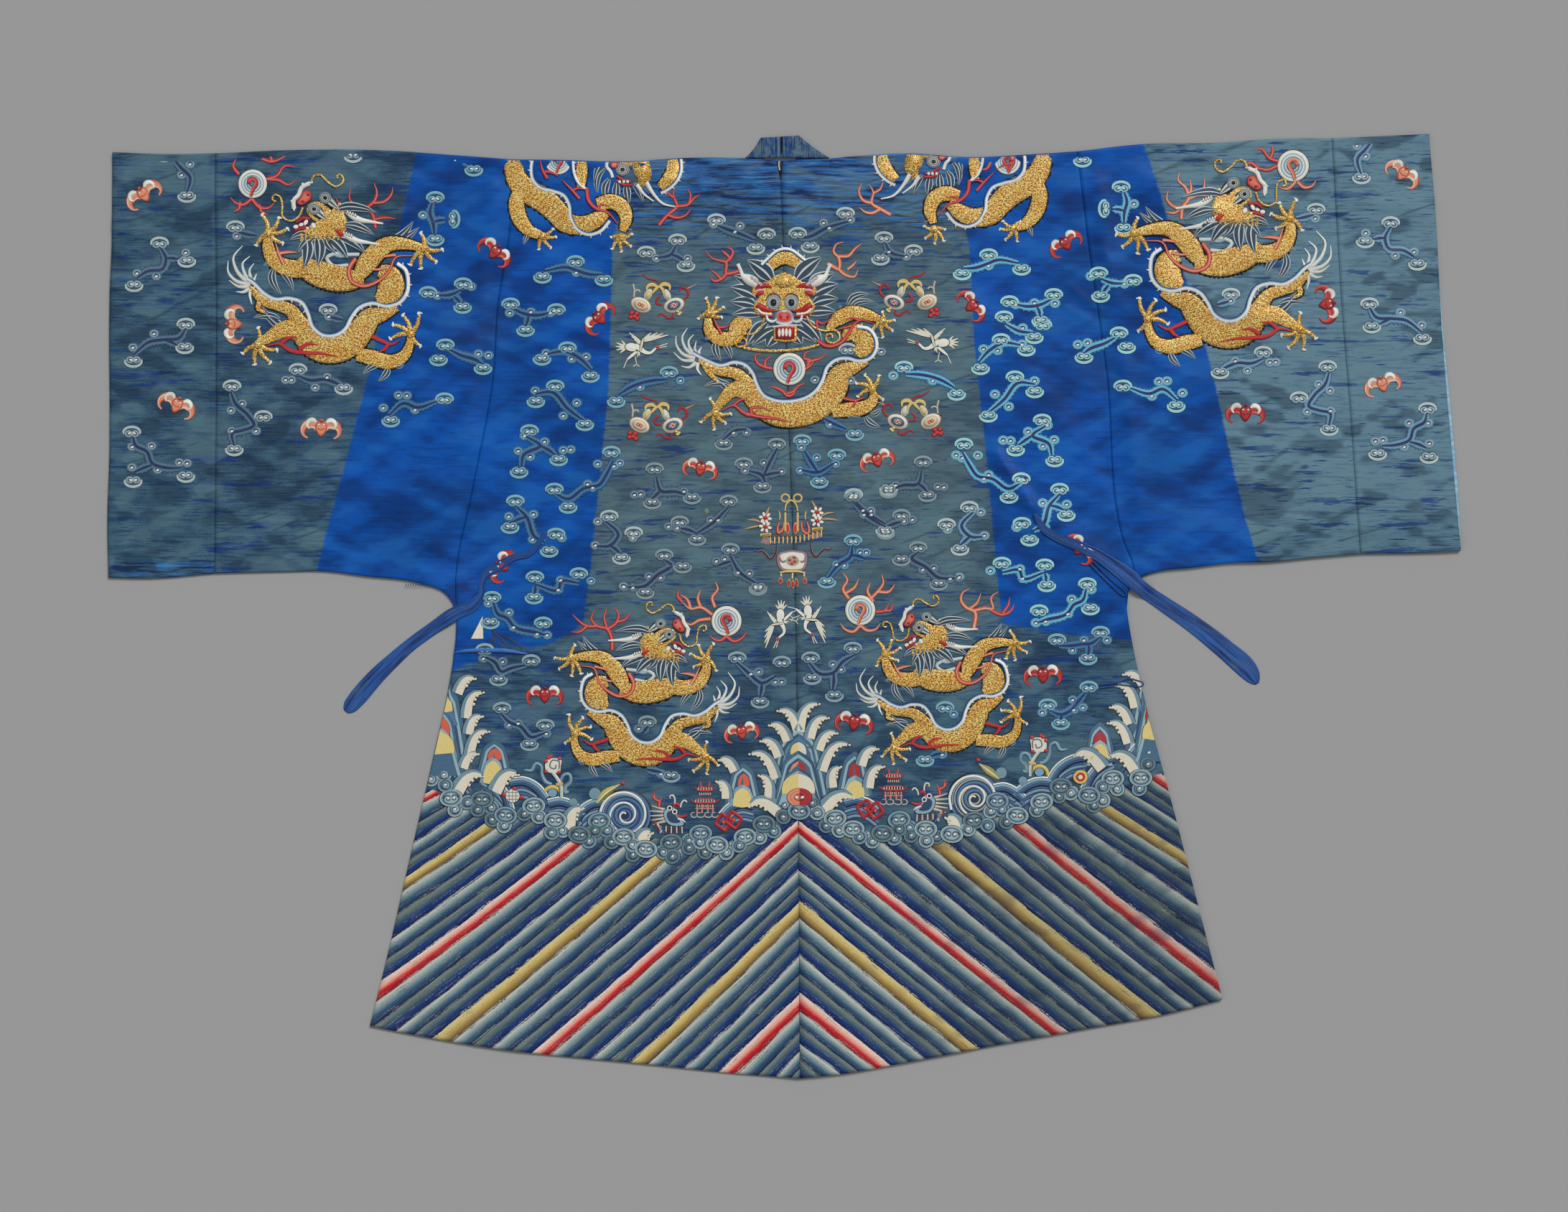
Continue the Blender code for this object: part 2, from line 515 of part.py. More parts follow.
def cord_loop(name, route, finish, tops):
    """A thin cord sewn on by both ends, its eye at the middle of its route."""
    line = edge(route)(np.linspace(0, 1, 30))
    height = resting_z(line[:, None], CORD_RADIUS, tops)[:, 0]
    data = bpy.data.curves.new(name, "CURVE")
    data.dimensions = "3D"
    data.bevel_depth = CORD_RADIUS
    data.bevel_resolution = 1
    data.use_fill_caps = True
    spline = data.splines.new("POLY")
    spline.points.add(len(line) - 1)
    for point, (x, y), z in zip(spline.points, line, height):
        point.co = Vector((x, y, z, 1))
    return add_object(name, data, finish)


def main():
    for old in list(bpy.data.objects):
        bpy.data.objects.remove(old)
    bpy.context.scene.collection.children.link(bpy.data.collections.new(COLLECTION))
    silk_blue = material("blue_silk", (0.010, 0.045, 0.33), 0.45)
    silk_faded = material("faded_silk", (0.055, 0.110, 0.170), 0.50)
    lining = material("pale_lining", (0.30, 0.50, 0.66), 0.55)
    cord = material("dark_cord", (0.008, 0.016, 0.070), 0.55)

    left_half = body_half("body_left", silk_blue, SIDE_LEFT, ARMHOLE_LEFT, SEAM / 2, edge(HEM_LEFT),
                          SHOULDER_LEFT, NECK_BACK_LEFT, True, left_front_z)
    right_half = body_half("body_right", silk_blue, SIDE_RIGHT, ARMHOLE_RIGHT, -SEAM / 2, edge(HEM_RIGHT),
                           SHOULDER_RIGHT, NECK_BACK_RIGHT, False, right_front_z)
    front_overlap(silk_blue)
    left_sleeve = sleeve_tube("sleeve_left", silk_blue, edge(CUFF_SEAM_LEFT, shift=SEAM / 2),
                              edge(ARMHOLE_LEFT, shift=-SEAM / 2), edge(UNDERARM_LEFT),
                              edge(SHOULDER_LEFT_SLEEVE), 0.40, left_front_z, flat_end=1)
    right_sleeve = sleeve_tube("sleeve_right", silk_blue, edge(ARMHOLE_RIGHT, shift=SEAM / 2),
                               edge(CUFF_SEAM_RIGHT, shift=-SEAM / 2), edge(UNDERARM_RIGHT[::-1]),
                               edge(SHOULDER_RIGHT_SLEEVE), 0.36, right_front_z, flat_end=0)
    sleeve_tube("cuff_panel_left", silk_faded, edge(MOUTH_LEFT), edge(CUFF_SEAM_LEFT, shift=-SEAM / 2),
                edge(UNDERARM_LEFT_CUFF), edge(SHOULDER_LEFT_CUFF), 0.16, left_front_z)
    sleeve_tube("cuff_panel_right", silk_faded, edge(CUFF_SEAM_RIGHT, shift=SEAM / 2), edge(MOUTH_RIGHT),
                edge(UNDERARM_RIGHT_CUFF[::-1]), edge(SHOULDER_RIGHT_CUFF), 0.15, left_front_z, cuff_back_z)
    cuff_lining(lining)
    neck_band(silk_faded)
    tops = cloth_tops([left_half, right_half, left_sleeve, right_sleeve])
    tie("tie_left", TIE_LEFT_ROUTE, silk_blue, tops)
    tie("tie_right", TIE_RIGHT_ROUTE, silk_blue, tops)
    cord_loop("loop_waist", LOOP_WAIST_ROUTE, cord, tops)
    cord_loop("loop_arm", LOOP_ARM_ROUTE, cord, tops)


main()
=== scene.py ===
"""A silk dragon robe laid flat with its back up: cloth, embroidery, ties, materials, light and camera.

X runs across the back to the wearer's right, Y up to the neck, Z up from the table. Outlines are in
millimetres. Embroidery is drawn on a sheet of 1.0625 mm units, x to the right and y down.
"""

import math

import bmesh
import bpy
import numpy as np
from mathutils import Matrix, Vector
from bpy.props import FloatProperty, FloatVectorProperty, PointerProperty


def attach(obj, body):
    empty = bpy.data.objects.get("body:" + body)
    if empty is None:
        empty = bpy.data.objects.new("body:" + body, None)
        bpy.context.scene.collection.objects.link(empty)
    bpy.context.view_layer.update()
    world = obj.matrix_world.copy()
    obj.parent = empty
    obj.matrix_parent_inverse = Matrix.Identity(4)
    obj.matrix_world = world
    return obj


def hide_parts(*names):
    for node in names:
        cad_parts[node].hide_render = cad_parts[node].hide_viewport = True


bl_info = {
    "name": "Dragon Robe",
    "version": (1, 0, 0),
    "blender": (4, 5, 0),
    "location": "3D View > Sidebar > Robe",
    "description": "Builds an embroidered silk robe laid flat on a table",
    "category": "Add Mesh",
}

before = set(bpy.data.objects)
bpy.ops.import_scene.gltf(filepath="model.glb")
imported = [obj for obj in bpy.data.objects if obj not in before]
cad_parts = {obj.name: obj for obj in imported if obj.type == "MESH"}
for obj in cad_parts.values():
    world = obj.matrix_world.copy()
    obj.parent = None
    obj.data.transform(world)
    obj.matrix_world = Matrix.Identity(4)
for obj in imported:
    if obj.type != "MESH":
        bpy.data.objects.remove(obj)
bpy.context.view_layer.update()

MM = 0.001
UNIT = 0.0010625  # one unit of the embroidery sheet, metres
SHEET_X, SHEET_Y = 1092.0, 844.0  # the sheet's point over the origin

# Layers, metres
WALL = 0.0014
LAY = 0.0003
SEAM = 0.0004
SOFT_RISE = 0.0011
FOLD_RISE = 0.0012
FOLD_REACH = 0.02
SLEEVE_DEPTH = 0.60
LINING_WALL = 0.0010
LINING_REACH, LINING_RAMP, LINING_DIP = 0.024, 0.03, 0.0006
OVERLAP_MARGIN = 0.110
OVERLAP_RAMP = 0.055
ARMPIT_RUN_OUT = 0.08
ARMPIT_ROOM = 0.0010
BEND_STEPS = 6
PITCH = 0.0053  # grid of the back layer
FRONT_PITCH = 0.032  # grid of the layer below it
EDGE_DROP = 0.022

# Cuts and outlines, millimetres in plan: x, y
SHOULDER_LEFT_CUFF = ((-992.4, 670.4), (-905.3, 667.3), (-840.4, 668.6))
SHOULDER_LEFT_SLEEVE = ((-840.4, 668.6), (-714.0, 673.6), (-586.5, 672.6), (-490.9, 666.2), (-401.6, 659.5))
SHOULDER_LEFT = ((-401.6, 659.5), (-331.5, 658.8), (-235.9, 656.6), (-140.3, 661.9), (-58.4, 661.9))
SHOULDER_RIGHT = ((68.0, 660.9), (114.8, 665.1), (178.5, 668.3), (274.1, 663.0), (369.8, 667.3),
    (433.5, 671.5))
SHOULDER_RIGHT_SLEEVE = ((433.5, 671.5), (529.1, 682.1), (646.0, 684.3), (720.4, 689.6), (809.6, 690.6))
SHOULDER_RIGHT_CUFF = ((809.6, 690.6), (879.8, 693.8), (953.1, 697.2))
NECK_BACK_LEFT = ((-58.4, 661.9), (-5.3, 658.5))
NECK_BACK_RIGHT = ((-5.3, 658.5), (68.0, 660.9))
MOUTH_LEFT = ((-997.7, 42.5), (-999.8, 99.9), (-996.6, 238.0), (-996.6, 450.5), (-993.4, 535.5),
    (-992.4, 670.4))
MOUTH_RIGHT = ((999.7, 81.8), (991.0, 180.0), (972.2, 407.0), (962.6, 580.0), (953.1, 697.2))
LINING_EDGE = ((999.8, 81.8), (997.3, 152.0), (984.6, 300.7), (972.2, 429.2), (963.0, 560.0),
    (953.1, 697.2))
CUFF_SEAM_LEFT = ((-841.5, 48.9), (-839.0, 350.0), (-840.4, 668.6))
CUFF_SEAM_RIGHT = ((851.1, 78.0), (834.1, 323.0), (828.8, 384.6), (809.6, 690.6))
ARMHOLE_LEFT = ((-484.5, -11.7), (-485.6, 38.3), (-460.1, 174.3), (-429.3, 344.3), (-423.9, 434.6),
    (-403.8, 570.6), (-401.6, 659.5))
ARMHOLE_RIGHT = ((504.7, 12.5), (517.0, 47.0), (500.4, 100.0), (477.1, 344.3), (452.0, 520.0),
    (433.5, 671.5))
UNDERARM_LEFT_CUFF = ((-997.7, 42.5), (-937.1, 41.4), (-841.5, 48.9))
UNDERARM_LEFT = ((-841.5, 48.9), (-745.9, 51.0), (-682.1, 52.0), (-618.4, 44.6), (-541.9, 35.1),
    (-519.6, 28.7), (-504.7, 22.3), (-494.1, 11.7), (-487.7, 1.1), (-484.5, -11.7))
UNDERARM_RIGHT_CUFF = ((999.7, 81.8), (940.0, 79.0), (851.1, 78.0))
UNDERARM_RIGHT = ((851.1, 78.0), (784.1, 72.3), (720.4, 65.9), (656.6, 63.8), (604.6, 57.4), (550.4, 51.0),
    (528.1, 43.6), (514.0, 32.0), (504.7, 12.5))
SIDE_LEFT = ((-612.0, -620.5), (-588.6, -527.0), (-549.3, -357.0), (-519.6, -229.5), (-496.2, -124.3),
    (-484.5, -30.8), (-484.5, -11.7))
SIDE_RIGHT = ((648.1, -581.2), (612.0, -442.0), (573.8, -293.3), (538.7, -161.5), (517.4, -68.0),
    (507.9, -13.8), (504.7, 12.5))
HEM_LEFT = ((-612.0, -620.5), (-554.6, -632.2), (-459.0, -649.2), (-331.5, -665.1), (-204.0, -676.8),
    (-76.5, -690.6), (23.4, -697.9))
HEM_RIGHT = ((23.4, -697.9), (82.9, -691.7), (178.5, -674.7), (306.0, -650.2), (433.5, -626.9),
    (561.0, -603.5), (648.1, -581.2))
CENTRE_SEAM = ((23.4, -697.9), (21.3, -357.0), (17.0, -17.0), (5.3, 316.6), (-2.5, 560.0), (-5.3, 658.5))
OVERLAP_TOP = ((6.0, 500.0), (90.0, 470.0), (210.0, 395.0), (330.0, 270.0), (430.0, 130.0), (507.0, -8.0))

# Large folds of the back layer, millimetres: start x, y, end x, y, half-width, height
FOLDS = ((-985, 560, -835, 622, 17, 3.4), (-975, 470, -860, 500, 20, 2.2), (-700, 640, -560, 575, 20, 3.6),
    (-830, 330, -700, 250, 24, 2.4), (-560, 330, -470, 250, 22, 2.6), (-720, 90, -560, 170, 26, 2.8),
    (-985, 75, -850, 70, 12, 2.2), (-427, 640, -452, 430, 14, 2.6), (-456, 340, -512, 62, 15, 3.0),
    (-480, -68, -385, -71, 11, 3.2), (-330, 620, -250, 520, 22, 2.0), (-215, 645, -60, 600, 15, 2.6),
    (60, 612, 210, 640, 15, 2.6), (-160, 560, 150, 572, 14, 1.8), (310, 230, 372, 138, 9, 4.2),
    (372, 138, 470, 75, 18, 2.6), (463, 640, 492, 420, 14, 3.0), (502, 380, 526, 120, 14, 3.0),
    (520, 640, 650, 560, 24, 3.4), (560, 480, 690, 430, 24, 2.6), (690, 90, 800, 150, 24, 4.0),
    (850, 110, 960, 150, 20, 2.6), (840, 600, 945, 585, 16, 2.4), (-560, -560, -380, -640, 28, 2.4),
    (-200, -560, -60, -400, 30, 1.8), (230, -330, 420, -520, 26, 3.4), (330, -420, 560, -560, 30, 4.2),
    (110, -500, 260, -640, 26, 2.6), (-430, -180, -300, -120, 26, 1.8), (330, -150, 470, -210, 24, 2.0))

# Small creases, sheet units and millimetres: start x, y, end x, y, half-width, height
CREASES = ((160, 318, 225, 283, 7, 1.5), (225, 283, 290, 262, 6, 1.2), (165, 336, 255, 316, 5, 0.8),
    (170, 410, 300, 385, 7, 0.9), (250, 398, 330, 388, 5, 0.8), (175, 240, 290, 232, 6, 0.9),
    (310, 300, 352, 292, 6, 0.9), (160, 470, 270, 462, 7, 0.7), (170, 548, 280, 530, 6, 1.0),
    (185, 582, 300, 560, 6, 0.9), (160, 690, 240, 668, 6, 0.8), (300, 712, 380, 705, 7, 1.0),
    (330, 655, 400, 640, 6, 0.7), (380, 745, 442, 772, 5, 1.3), (300, 782, 440, 779, 4, 1.1),
    (158, 776, 290, 786, 3, 0.8), (160, 783, 280, 792, 3, 0.8), (158, 790, 270, 797, 3, 0.7),
    (166, 770, 240, 776, 3, 0.6), (398, 528, 520, 520, 6, 1.0), (425, 495, 500, 520, 6, 0.9),
    (560, 252, 635, 240, 6, 1.2), (604, 250, 640, 238, 5, 0.8), (575, 300, 600, 312, 5, 1.0),
    (545, 405, 615, 432, 6, 1.2), (560, 430, 612, 452, 5, 0.9), (640, 352, 700, 372, 6, 1.1),
    (688, 340, 712, 430, 6, 0.8), (640, 255, 700, 262, 7, 0.7), (512, 534, 548, 548, 5, 1.2),
    (577, 588, 602, 606, 4, 0.8), (655, 690, 700, 560, 8, 1.0), (790, 640, 822, 560, 7, 0.9),
    (600, 795, 660, 808, 5, 0.8), (540, 760, 640, 780, 8, 0.7), (730, 640, 775, 690, 8, 0.6),
    (705, 880, 732, 905, 4, 1.2), (690, 872, 724, 903, 3, 1.0), (700, 868, 745, 900, 3, 0.9),
    (676, 884, 706, 906, 3, 0.9), (640, 922, 760, 918, 4, 0.9), (650, 985, 830, 988, 5, 0.8),
    (700, 1010, 860, 1016, 5, 0.7), (620, 946, 700, 950, 4, 0.6), (880, 858, 1010, 846, 6, 0.7),
    (905, 236, 1075, 243, 4, 0.9), (930, 244, 1080, 250, 3, 0.8), (960, 231, 1078, 234, 3, 0.9),
    (1000, 256, 1086, 258, 3, 0.7), (890, 252, 980, 250, 4, 0.7), (1098, 234, 1230, 232, 3, 1.0),
    (1100, 243, 1260, 241, 3, 0.9), (1096, 252, 1190, 256, 3, 0.8), (1100, 262, 1220, 268, 3, 0.6),
    (1150, 247, 1182, 243, 3, 1.1), (1210, 238, 1300, 228, 4, 0.8), (870, 262, 960, 272, 4, 0.6),
    (1170, 318, 1280, 322, 5, 0.7), (1020, 372, 1088, 366, 5, 0.6), (1060, 600, 1082, 700, 5, 0.8),
    (1215, 660, 1225, 716, 4, 0.9), (1030, 622, 1068, 612, 5, 1.0), (900, 300, 1000, 296, 5, 0.5),
    (1330, 640, 1372, 700, 4, 0.9), (1352, 560, 1400, 640, 6, 0.7), (1400, 690, 1436, 706, 3, 1.1),
    (1420, 690, 1443, 716, 3, 1.3), (1395, 648, 1424, 700, 3, 1.0), (1412, 640, 1438, 706, 3, 0.9),
    (1478, 392, 1560, 455, 6, 1.3), (1470, 420, 1540, 462, 5, 0.9), (1516, 300, 1548, 380, 6, 1.0),
    (1600, 246, 1650, 232, 6, 1.1), (1620, 300, 1690, 318, 6, 0.9), (1700, 560, 1800, 548, 7, 1.0),
    (1710, 610, 1820, 632, 6, 0.9), (1730, 716, 1800, 748, 5, 1.5), (1750, 700, 1838, 742, 6, 1.6),
    (1760, 742, 1850, 758, 4, 1.1), (1700, 660, 1760, 690, 6, 0.9), (1860, 300, 1960, 316, 7, 1.0),
    (1880, 360, 1985, 350, 6, 1.0), (1870, 420, 1960, 440, 6, 0.7), (1890, 560, 1995, 590, 7, 1.1),
    (1880, 640, 2000, 632, 6, 0.8), (1890, 700, 2010, 722, 6, 1.0), (1600, 500, 1680, 540, 7, 0.8),
    (1380, 930, 1500, 910, 6, 0.9), (1420, 1000, 1560, 980, 6, 0.9), (1330, 880, 1420, 872, 5, 0.8),
    (1460, 1040, 1540, 1060, 5, 0.7), (1180, 960, 1260, 970, 6, 0.6), (930, 960, 1060, 948, 6, 0.6),
    (1350, 1262, 1450, 1330, 12, 1.5), (1420, 1300, 1545, 1388, 13, 1.7), (1260, 1330, 1345, 1410, 12, 1.2),
    (1120, 1200, 1200, 1290, 12, 1.0), (900, 1300, 1010, 1200, 12, 0.9), (640, 1330, 760, 1230, 13, 0.9),
    (1080, 1280, 1110, 1180, 9, 0.9), (1075, 1400, 1108, 1320, 9, 0.9), (700, 1400, 820, 1320, 13, 0.8))


def run_along(line):
    """How far along a line each of its points lies."""
    return np.concatenate([[0.0], np.cumsum(np.linalg.norm(np.diff(line, axis=0), axis=1))])


def hermite(table, samples=24):
    """A dense smooth line through a table's points: cubics whose slopes come from the neighbours."""
    points = np.array(table, float)
    at = run_along(points[:, :2])
    slopes = np.gradient(points, at, axis=0)
    h = np.diff(at)[:, None, None]
    t = np.linspace(0, 1, samples, endpoint=False)[None, :, None]
    line = ((2 * t**3 - 3 * t**2 + 1) * points[:-1, None] + (t**3 - 2 * t**2 + t) * h * slopes[:-1, None]
            + (3 * t**2 - 2 * t**3) * points[1:, None] + (t**3 - t**2) * h * slopes[1:, None])
    return np.vstack([line.reshape(-1, points.shape[1]), points[-1:]])


def cut_line(*tables, shift=0.0):
    """One edge of a panel made of outline tables that meet end to end, as a map from 0..1 to points."""
    line = np.vstack([hermite(table) for table in tables]) * MM
    line[:, 0] += shift
    at = run_along(line)
    keep = np.concatenate([[True], np.diff(at) > 1e-9])
    at, line = at[keep] / at[-1], line[keep]
    return lambda t: np.column_stack([np.interp(t, at, column) for column in line.T])


def coons(left, right, low, high, u, v):
    """Plan points of a panel: side edges blended across plus end edges blended along less the corners."""
    u_, v_ = u[None, :, None], v[:, None, None]
    sides = (1 - u_) * left(v)[:, None] + u_ * right(v)[:, None]
    ends = (1 - v_) * low(u)[None] + v_ * high(u)[None]
    corners = ((1 - v_) * ((1 - u_) * low(0.0)[0] + u_ * low(1.0)[0])
               + v_ * ((1 - u_) * high(0.0)[0] + u_ * high(1.0)[0]))
    return sides + ends - corners


def smoothstep(t):
    t = np.clip(t, 0, 1)
    return t * t * (3 - 2 * t)


def table_at(table, along, axis=0):
    """Reads an outline table at the given x (axis 0) or y (axis 1), metres."""
    line = hermite(table) * MM
    line = line[np.argsort(line[:, axis])]
    return np.interp(along, line[:, axis], line[:, 1 - axis])


def overlap_cover(x, y):
    """1 over the overlap, falling to 0 beside it: the layers above rise by one wall there."""
    past_top = y - table_at(OVERLAP_TOP, x)
    past_centre = table_at(CENTRE_SEAM, y, 1) - x
    return smoothstep(1 - np.maximum(past_top - OVERLAP_MARGIN, past_centre) / OVERLAP_RAMP)


def ridges(x, y, table, floor=0.38, fade=2.6):
    """Sum of ridges: each is a bell across its line and runs out past its two ends."""
    height = np.zeros(np.broadcast(x, y).shape)
    for x0, y0, x1, y1, half_width, rise in table:
        length = math.hypot(x1 - x0, y1 - y0)
        along = ((x - x0) * (x1 - x0) + (y - y0) * (y1 - y0)) / length**2
        across = ((x - x0) * (y1 - y0) - (y - y0) * (x1 - x0)) / length
        past_end = (np.abs(along - 0.5) - floor) * length
        within = smoothstep(1 - past_end / (fade * half_width))
        height += rise * np.exp(-(across / half_width) ** 2) * within
    return height


def on_sheet(x, y):
    """Metres of a point of the embroidery sheet."""
    return (np.asarray(x, float) - SHEET_X) * UNIT, (SHEET_Y - np.asarray(y, float)) * UNIT


def crease_table():
    """The small creases in metres."""
    table = np.array(CREASES, float)
    for column in (0, 2):
        table[:, column], table[:, column + 1] = on_sheet(table[:, column], table[:, column + 1])
    table[:, 4:] *= MM
    return table


def back_z(x, y):
    """Middle of the back layer: one layer above the front, softly raised, with folds and creases."""
    lift = (WALL + LAY) * overlap_cover(x, y)
    folds = ridges(x, y, np.array(FOLDS, float) * MM)
    creases = ridges(x, y, crease_table(), 0.25, 5.0)
    swell = (0.00028 * (np.sin(31 * x + 9 * y + 1.3) + np.sin(17 * x - 26 * y))
             + 0.00022 * np.sin(55 * y + 13 * x))
    return WALL / 2 + WALL + LAY + lift + SOFT_RISE + folds + creases + swell


def left_front_z(x, y):
    """Middle of a left front layer, flat on the table."""
    return np.full(np.broadcast(x, y).shape, WALL / 2)


def right_front_z(x, y):
    """Middle of a right front layer: on the overlap, and down to the table beside it."""
    return WALL / 2 + (WALL + LAY) * overlap_cover(x, y)


def cuff_back_z(x, y):
    """The right cuff's back layer, raised near its mouth by the lining below it."""
    inside = table_at(LINING_EDGE, y, 1) - x
    lift = (LINING_WALL + LAY) * smoothstep(1 - (inside - LINING_REACH) / LINING_RAMP)
    return back_z(x, y) + lift - LINING_DIP * (inside < LINING_RAMP)


def silk_top(x, y):
    """The upper face of the robe's back at a plan point."""
    past_seam = x - table_at(CUFF_SEAM_RIGHT, y, 1)
    return np.where(past_seam > 0, cuff_back_z(x, y), back_z(x, y)) + WALL / 2


def bend(plan, low_z, high_z, outward):
    """Points round a folded edge from the lower layer to the upper one: half circles towards outward."""
    radius = (high_z - low_z) / 2
    turn = np.linspace(-math.pi / 2, math.pi / 2, BEND_STEPS + 1)[:, None]
    reach = radius * (np.cos(turn) - 1)
    outward = np.broadcast_to(outward, plan.shape)
    return np.dstack([plan[:, 0] + outward[:, 0] * reach, plan[:, 1] + outward[:, 1] * reach,
                      low_z + radius * (1 + np.sin(turn))])


def run_out(rows):
    """Plan directions in which the columns of a layer run out over its first row."""
    away = rows[0, :, :2] - rows[2, :, :2]
    return away / np.linalg.norm(away, axis=1)[:, None]


def lifted(plan, height):
    return np.dstack([plan, height(plan[..., 0], plan[..., 1])])


def steps(length, pitch):
    return max(2, round(length / pitch))


def grid_mesh(name, grid, closed=False, present=None):
    """A mesh of quads over a grid of points, turned so that its upper layer faces up."""
    rows, columns = grid.shape[:2]
    last = rows if closed else rows - 1
    index = np.arange(rows * columns).reshape(rows, columns)
    below, above = index[:last], np.roll(index, -1, axis=0)[:last]
    faces = np.stack([below[:, :-1], below[:, 1:], above[:, 1:], above[:, :-1]], axis=-1)
    if present is not None:
        faces = faces[present]
    mesh = bpy.data.meshes.new(name)
    mesh.from_pydata(grid.reshape(-1, 3).tolist(), [], faces.reshape(-1, 4).tolist())
    work = bmesh.new()
    work.from_mesh(mesh)
    bmesh.ops.delete(work, geom=[v for v in work.verts if not v.link_faces], context="VERTS")
    bmesh.ops.recalc_face_normals(work, faces=work.faces[:])
    work.to_mesh(mesh)
    work.free()
    mesh.shade_smooth()
    return mesh


def add_piece(name, mesh, *finishes):
    """Puts a finished mesh in the scene, riding on the robe."""
    piece = bpy.data.objects.new(name, mesh)
    for finish in finishes:
        mesh.materials.append(bpy.data.materials[finish])
    bpy.context.scene.collection.objects.link(piece)
    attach(piece, "root")
    return piece


def plan_points(mesh):
    points = np.empty(len(mesh.vertices) * 3, np.float32)
    mesh.vertices.foreach_get("co", points)
    return points.reshape(-1, 3).astype(float)


def to_outline(x, y, outline):
    """Signed distance to a closed outline, positive inside it."""
    a = np.array(outline, float)
    b = np.roll(a, -1, axis=0)
    best, inside = np.full(len(x), np.inf), np.zeros(len(x), bool)
    for (ax, ay), (bx, by) in zip(a, b):
        run_x, run_y = bx - ax, by - ay
        t = np.clip(((x - ax) * run_x + (y - ay) * run_y) / (run_x**2 + run_y**2), 0, 1)
        best = np.minimum(best, np.hypot(x - ax - t * run_x, y - ay - t * run_y))
        if abs(run_y) > 1e-12:
            inside ^= ((ay > y) != (by > y)) & (x < ax + (y - ay) * run_x / run_y)
    return np.where(inside, best, -best)


def robe_outline():
    """The robe's outline in plan, without the neck band: a closed line, metres."""
    parts = [SHOULDER_LEFT_CUFF, SHOULDER_LEFT_SLEEVE, SHOULDER_LEFT, NECK_BACK_LEFT, NECK_BACK_RIGHT,
             SHOULDER_RIGHT, SHOULDER_RIGHT_SLEEVE, SHOULDER_RIGHT_CUFF, MOUTH_RIGHT[::-1],
             UNDERARM_RIGHT_CUFF, UNDERARM_RIGHT, SIDE_RIGHT[::-1], HEM_RIGHT[::-1], HEM_LEFT[::-1],
             SIDE_LEFT, UNDERARM_LEFT[::-1], UNDERARM_LEFT_CUFF[::-1], MOUTH_LEFT]
    return np.vstack([hermite(part, samples=6)[:-1] for part in parts]) * MM


# Where the dye has faded, sheet units: closed outlines
FADED = (((100, 150), (590, 150), (580, 215), (548, 364), (516, 514), (480, 652), (443, 790), (440, 850),
    (100, 850)),
    ((2100, 150), (1586, 150), (1593, 204), (1612, 261), (1645, 370), (1678, 480), (1693, 540),
    (1716, 649), (1735, 727), (1751, 782), (1751, 850), (2100, 850)),
    ((868, 200), (862, 300), (854, 337), (848, 542), (842, 605), (822, 800), (816, 840), (813, 867),
    (769, 896), (742, 902), (701, 898), (688, 912), (650, 925), (600, 950), (480, 990), (480, 1560),
    (1740, 1560), (1740, 900), (1577, 892), (1523, 886), (1398, 870), (1390, 822), (1386, 776), (1376, 663),
    (1356, 470), (1350, 343), (1338, 300), (1330, 200)))
# The line over which the hem's slanted bands begin, sheet units
BAND_TOP = ((480, 1075), (560, 1088), (600, 1098), (640, 1116), (680, 1130), (720, 1132), (760, 1138),
    (800, 1150), (850, 1150), (900, 1165), (945, 1172), (985, 1165), (1030, 1160), (1065, 1148),
    (1090, 1128), (1112, 1118), (1135, 1128), (1170, 1148), (1215, 1160), (1265, 1158), (1310, 1160),
    (1350, 1148), (1400, 1135), (1450, 1118), (1500, 1110), (1545, 1100), (1600, 1082), (1640, 1070),
    (1740, 1060))
# Upper edges of the slanted bands: band number, start x, y, end x, y, and how far the middle bows down
BANDS_LEFT = ((-22, 690, 1010, 560, 1100, 0), (-20, 640, 1078, 592, 1106, 0),
    (-19, 640, 1092, 592, 1116, 0), (-17, 632, 1137, 580, 1172, 0), (-15, 673, 1148, 566, 1221, 1),
    (-14, 688, 1155, 563, 1238, 1), (-12, 757, 1155, 546, 1307, 2), (-10, 790, 1174, 531, 1366, 3),
    (-9, 809, 1177, 524, 1395, 3), (-7, 866, 1181, 552, 1435, 3), (-5, 906, 1196, 604, 1443, 2),
    (-4, 924, 1200, 632, 1449, 2), (-2, 998, 1190, 689, 1456, 3), (0, 1111, 1142, 744, 1463, 2),
    (1, 1111, 1160, 768, 1467, 2), (3, 1112, 1212, 825, 1474, 3), (5, 1112, 1256, 878, 1479, 2),
    (6, 1112, 1280, 902, 1482, 2), (8, 1112, 1332, 955, 1486, 3), (10, 1112, 1384, 1002, 1491, 0),
    (11, 1112, 1412, 1028, 1494, 0), (13, 1113, 1464, 1083, 1497, 0), (15, 1113, 1512, 1090, 1540, 0))
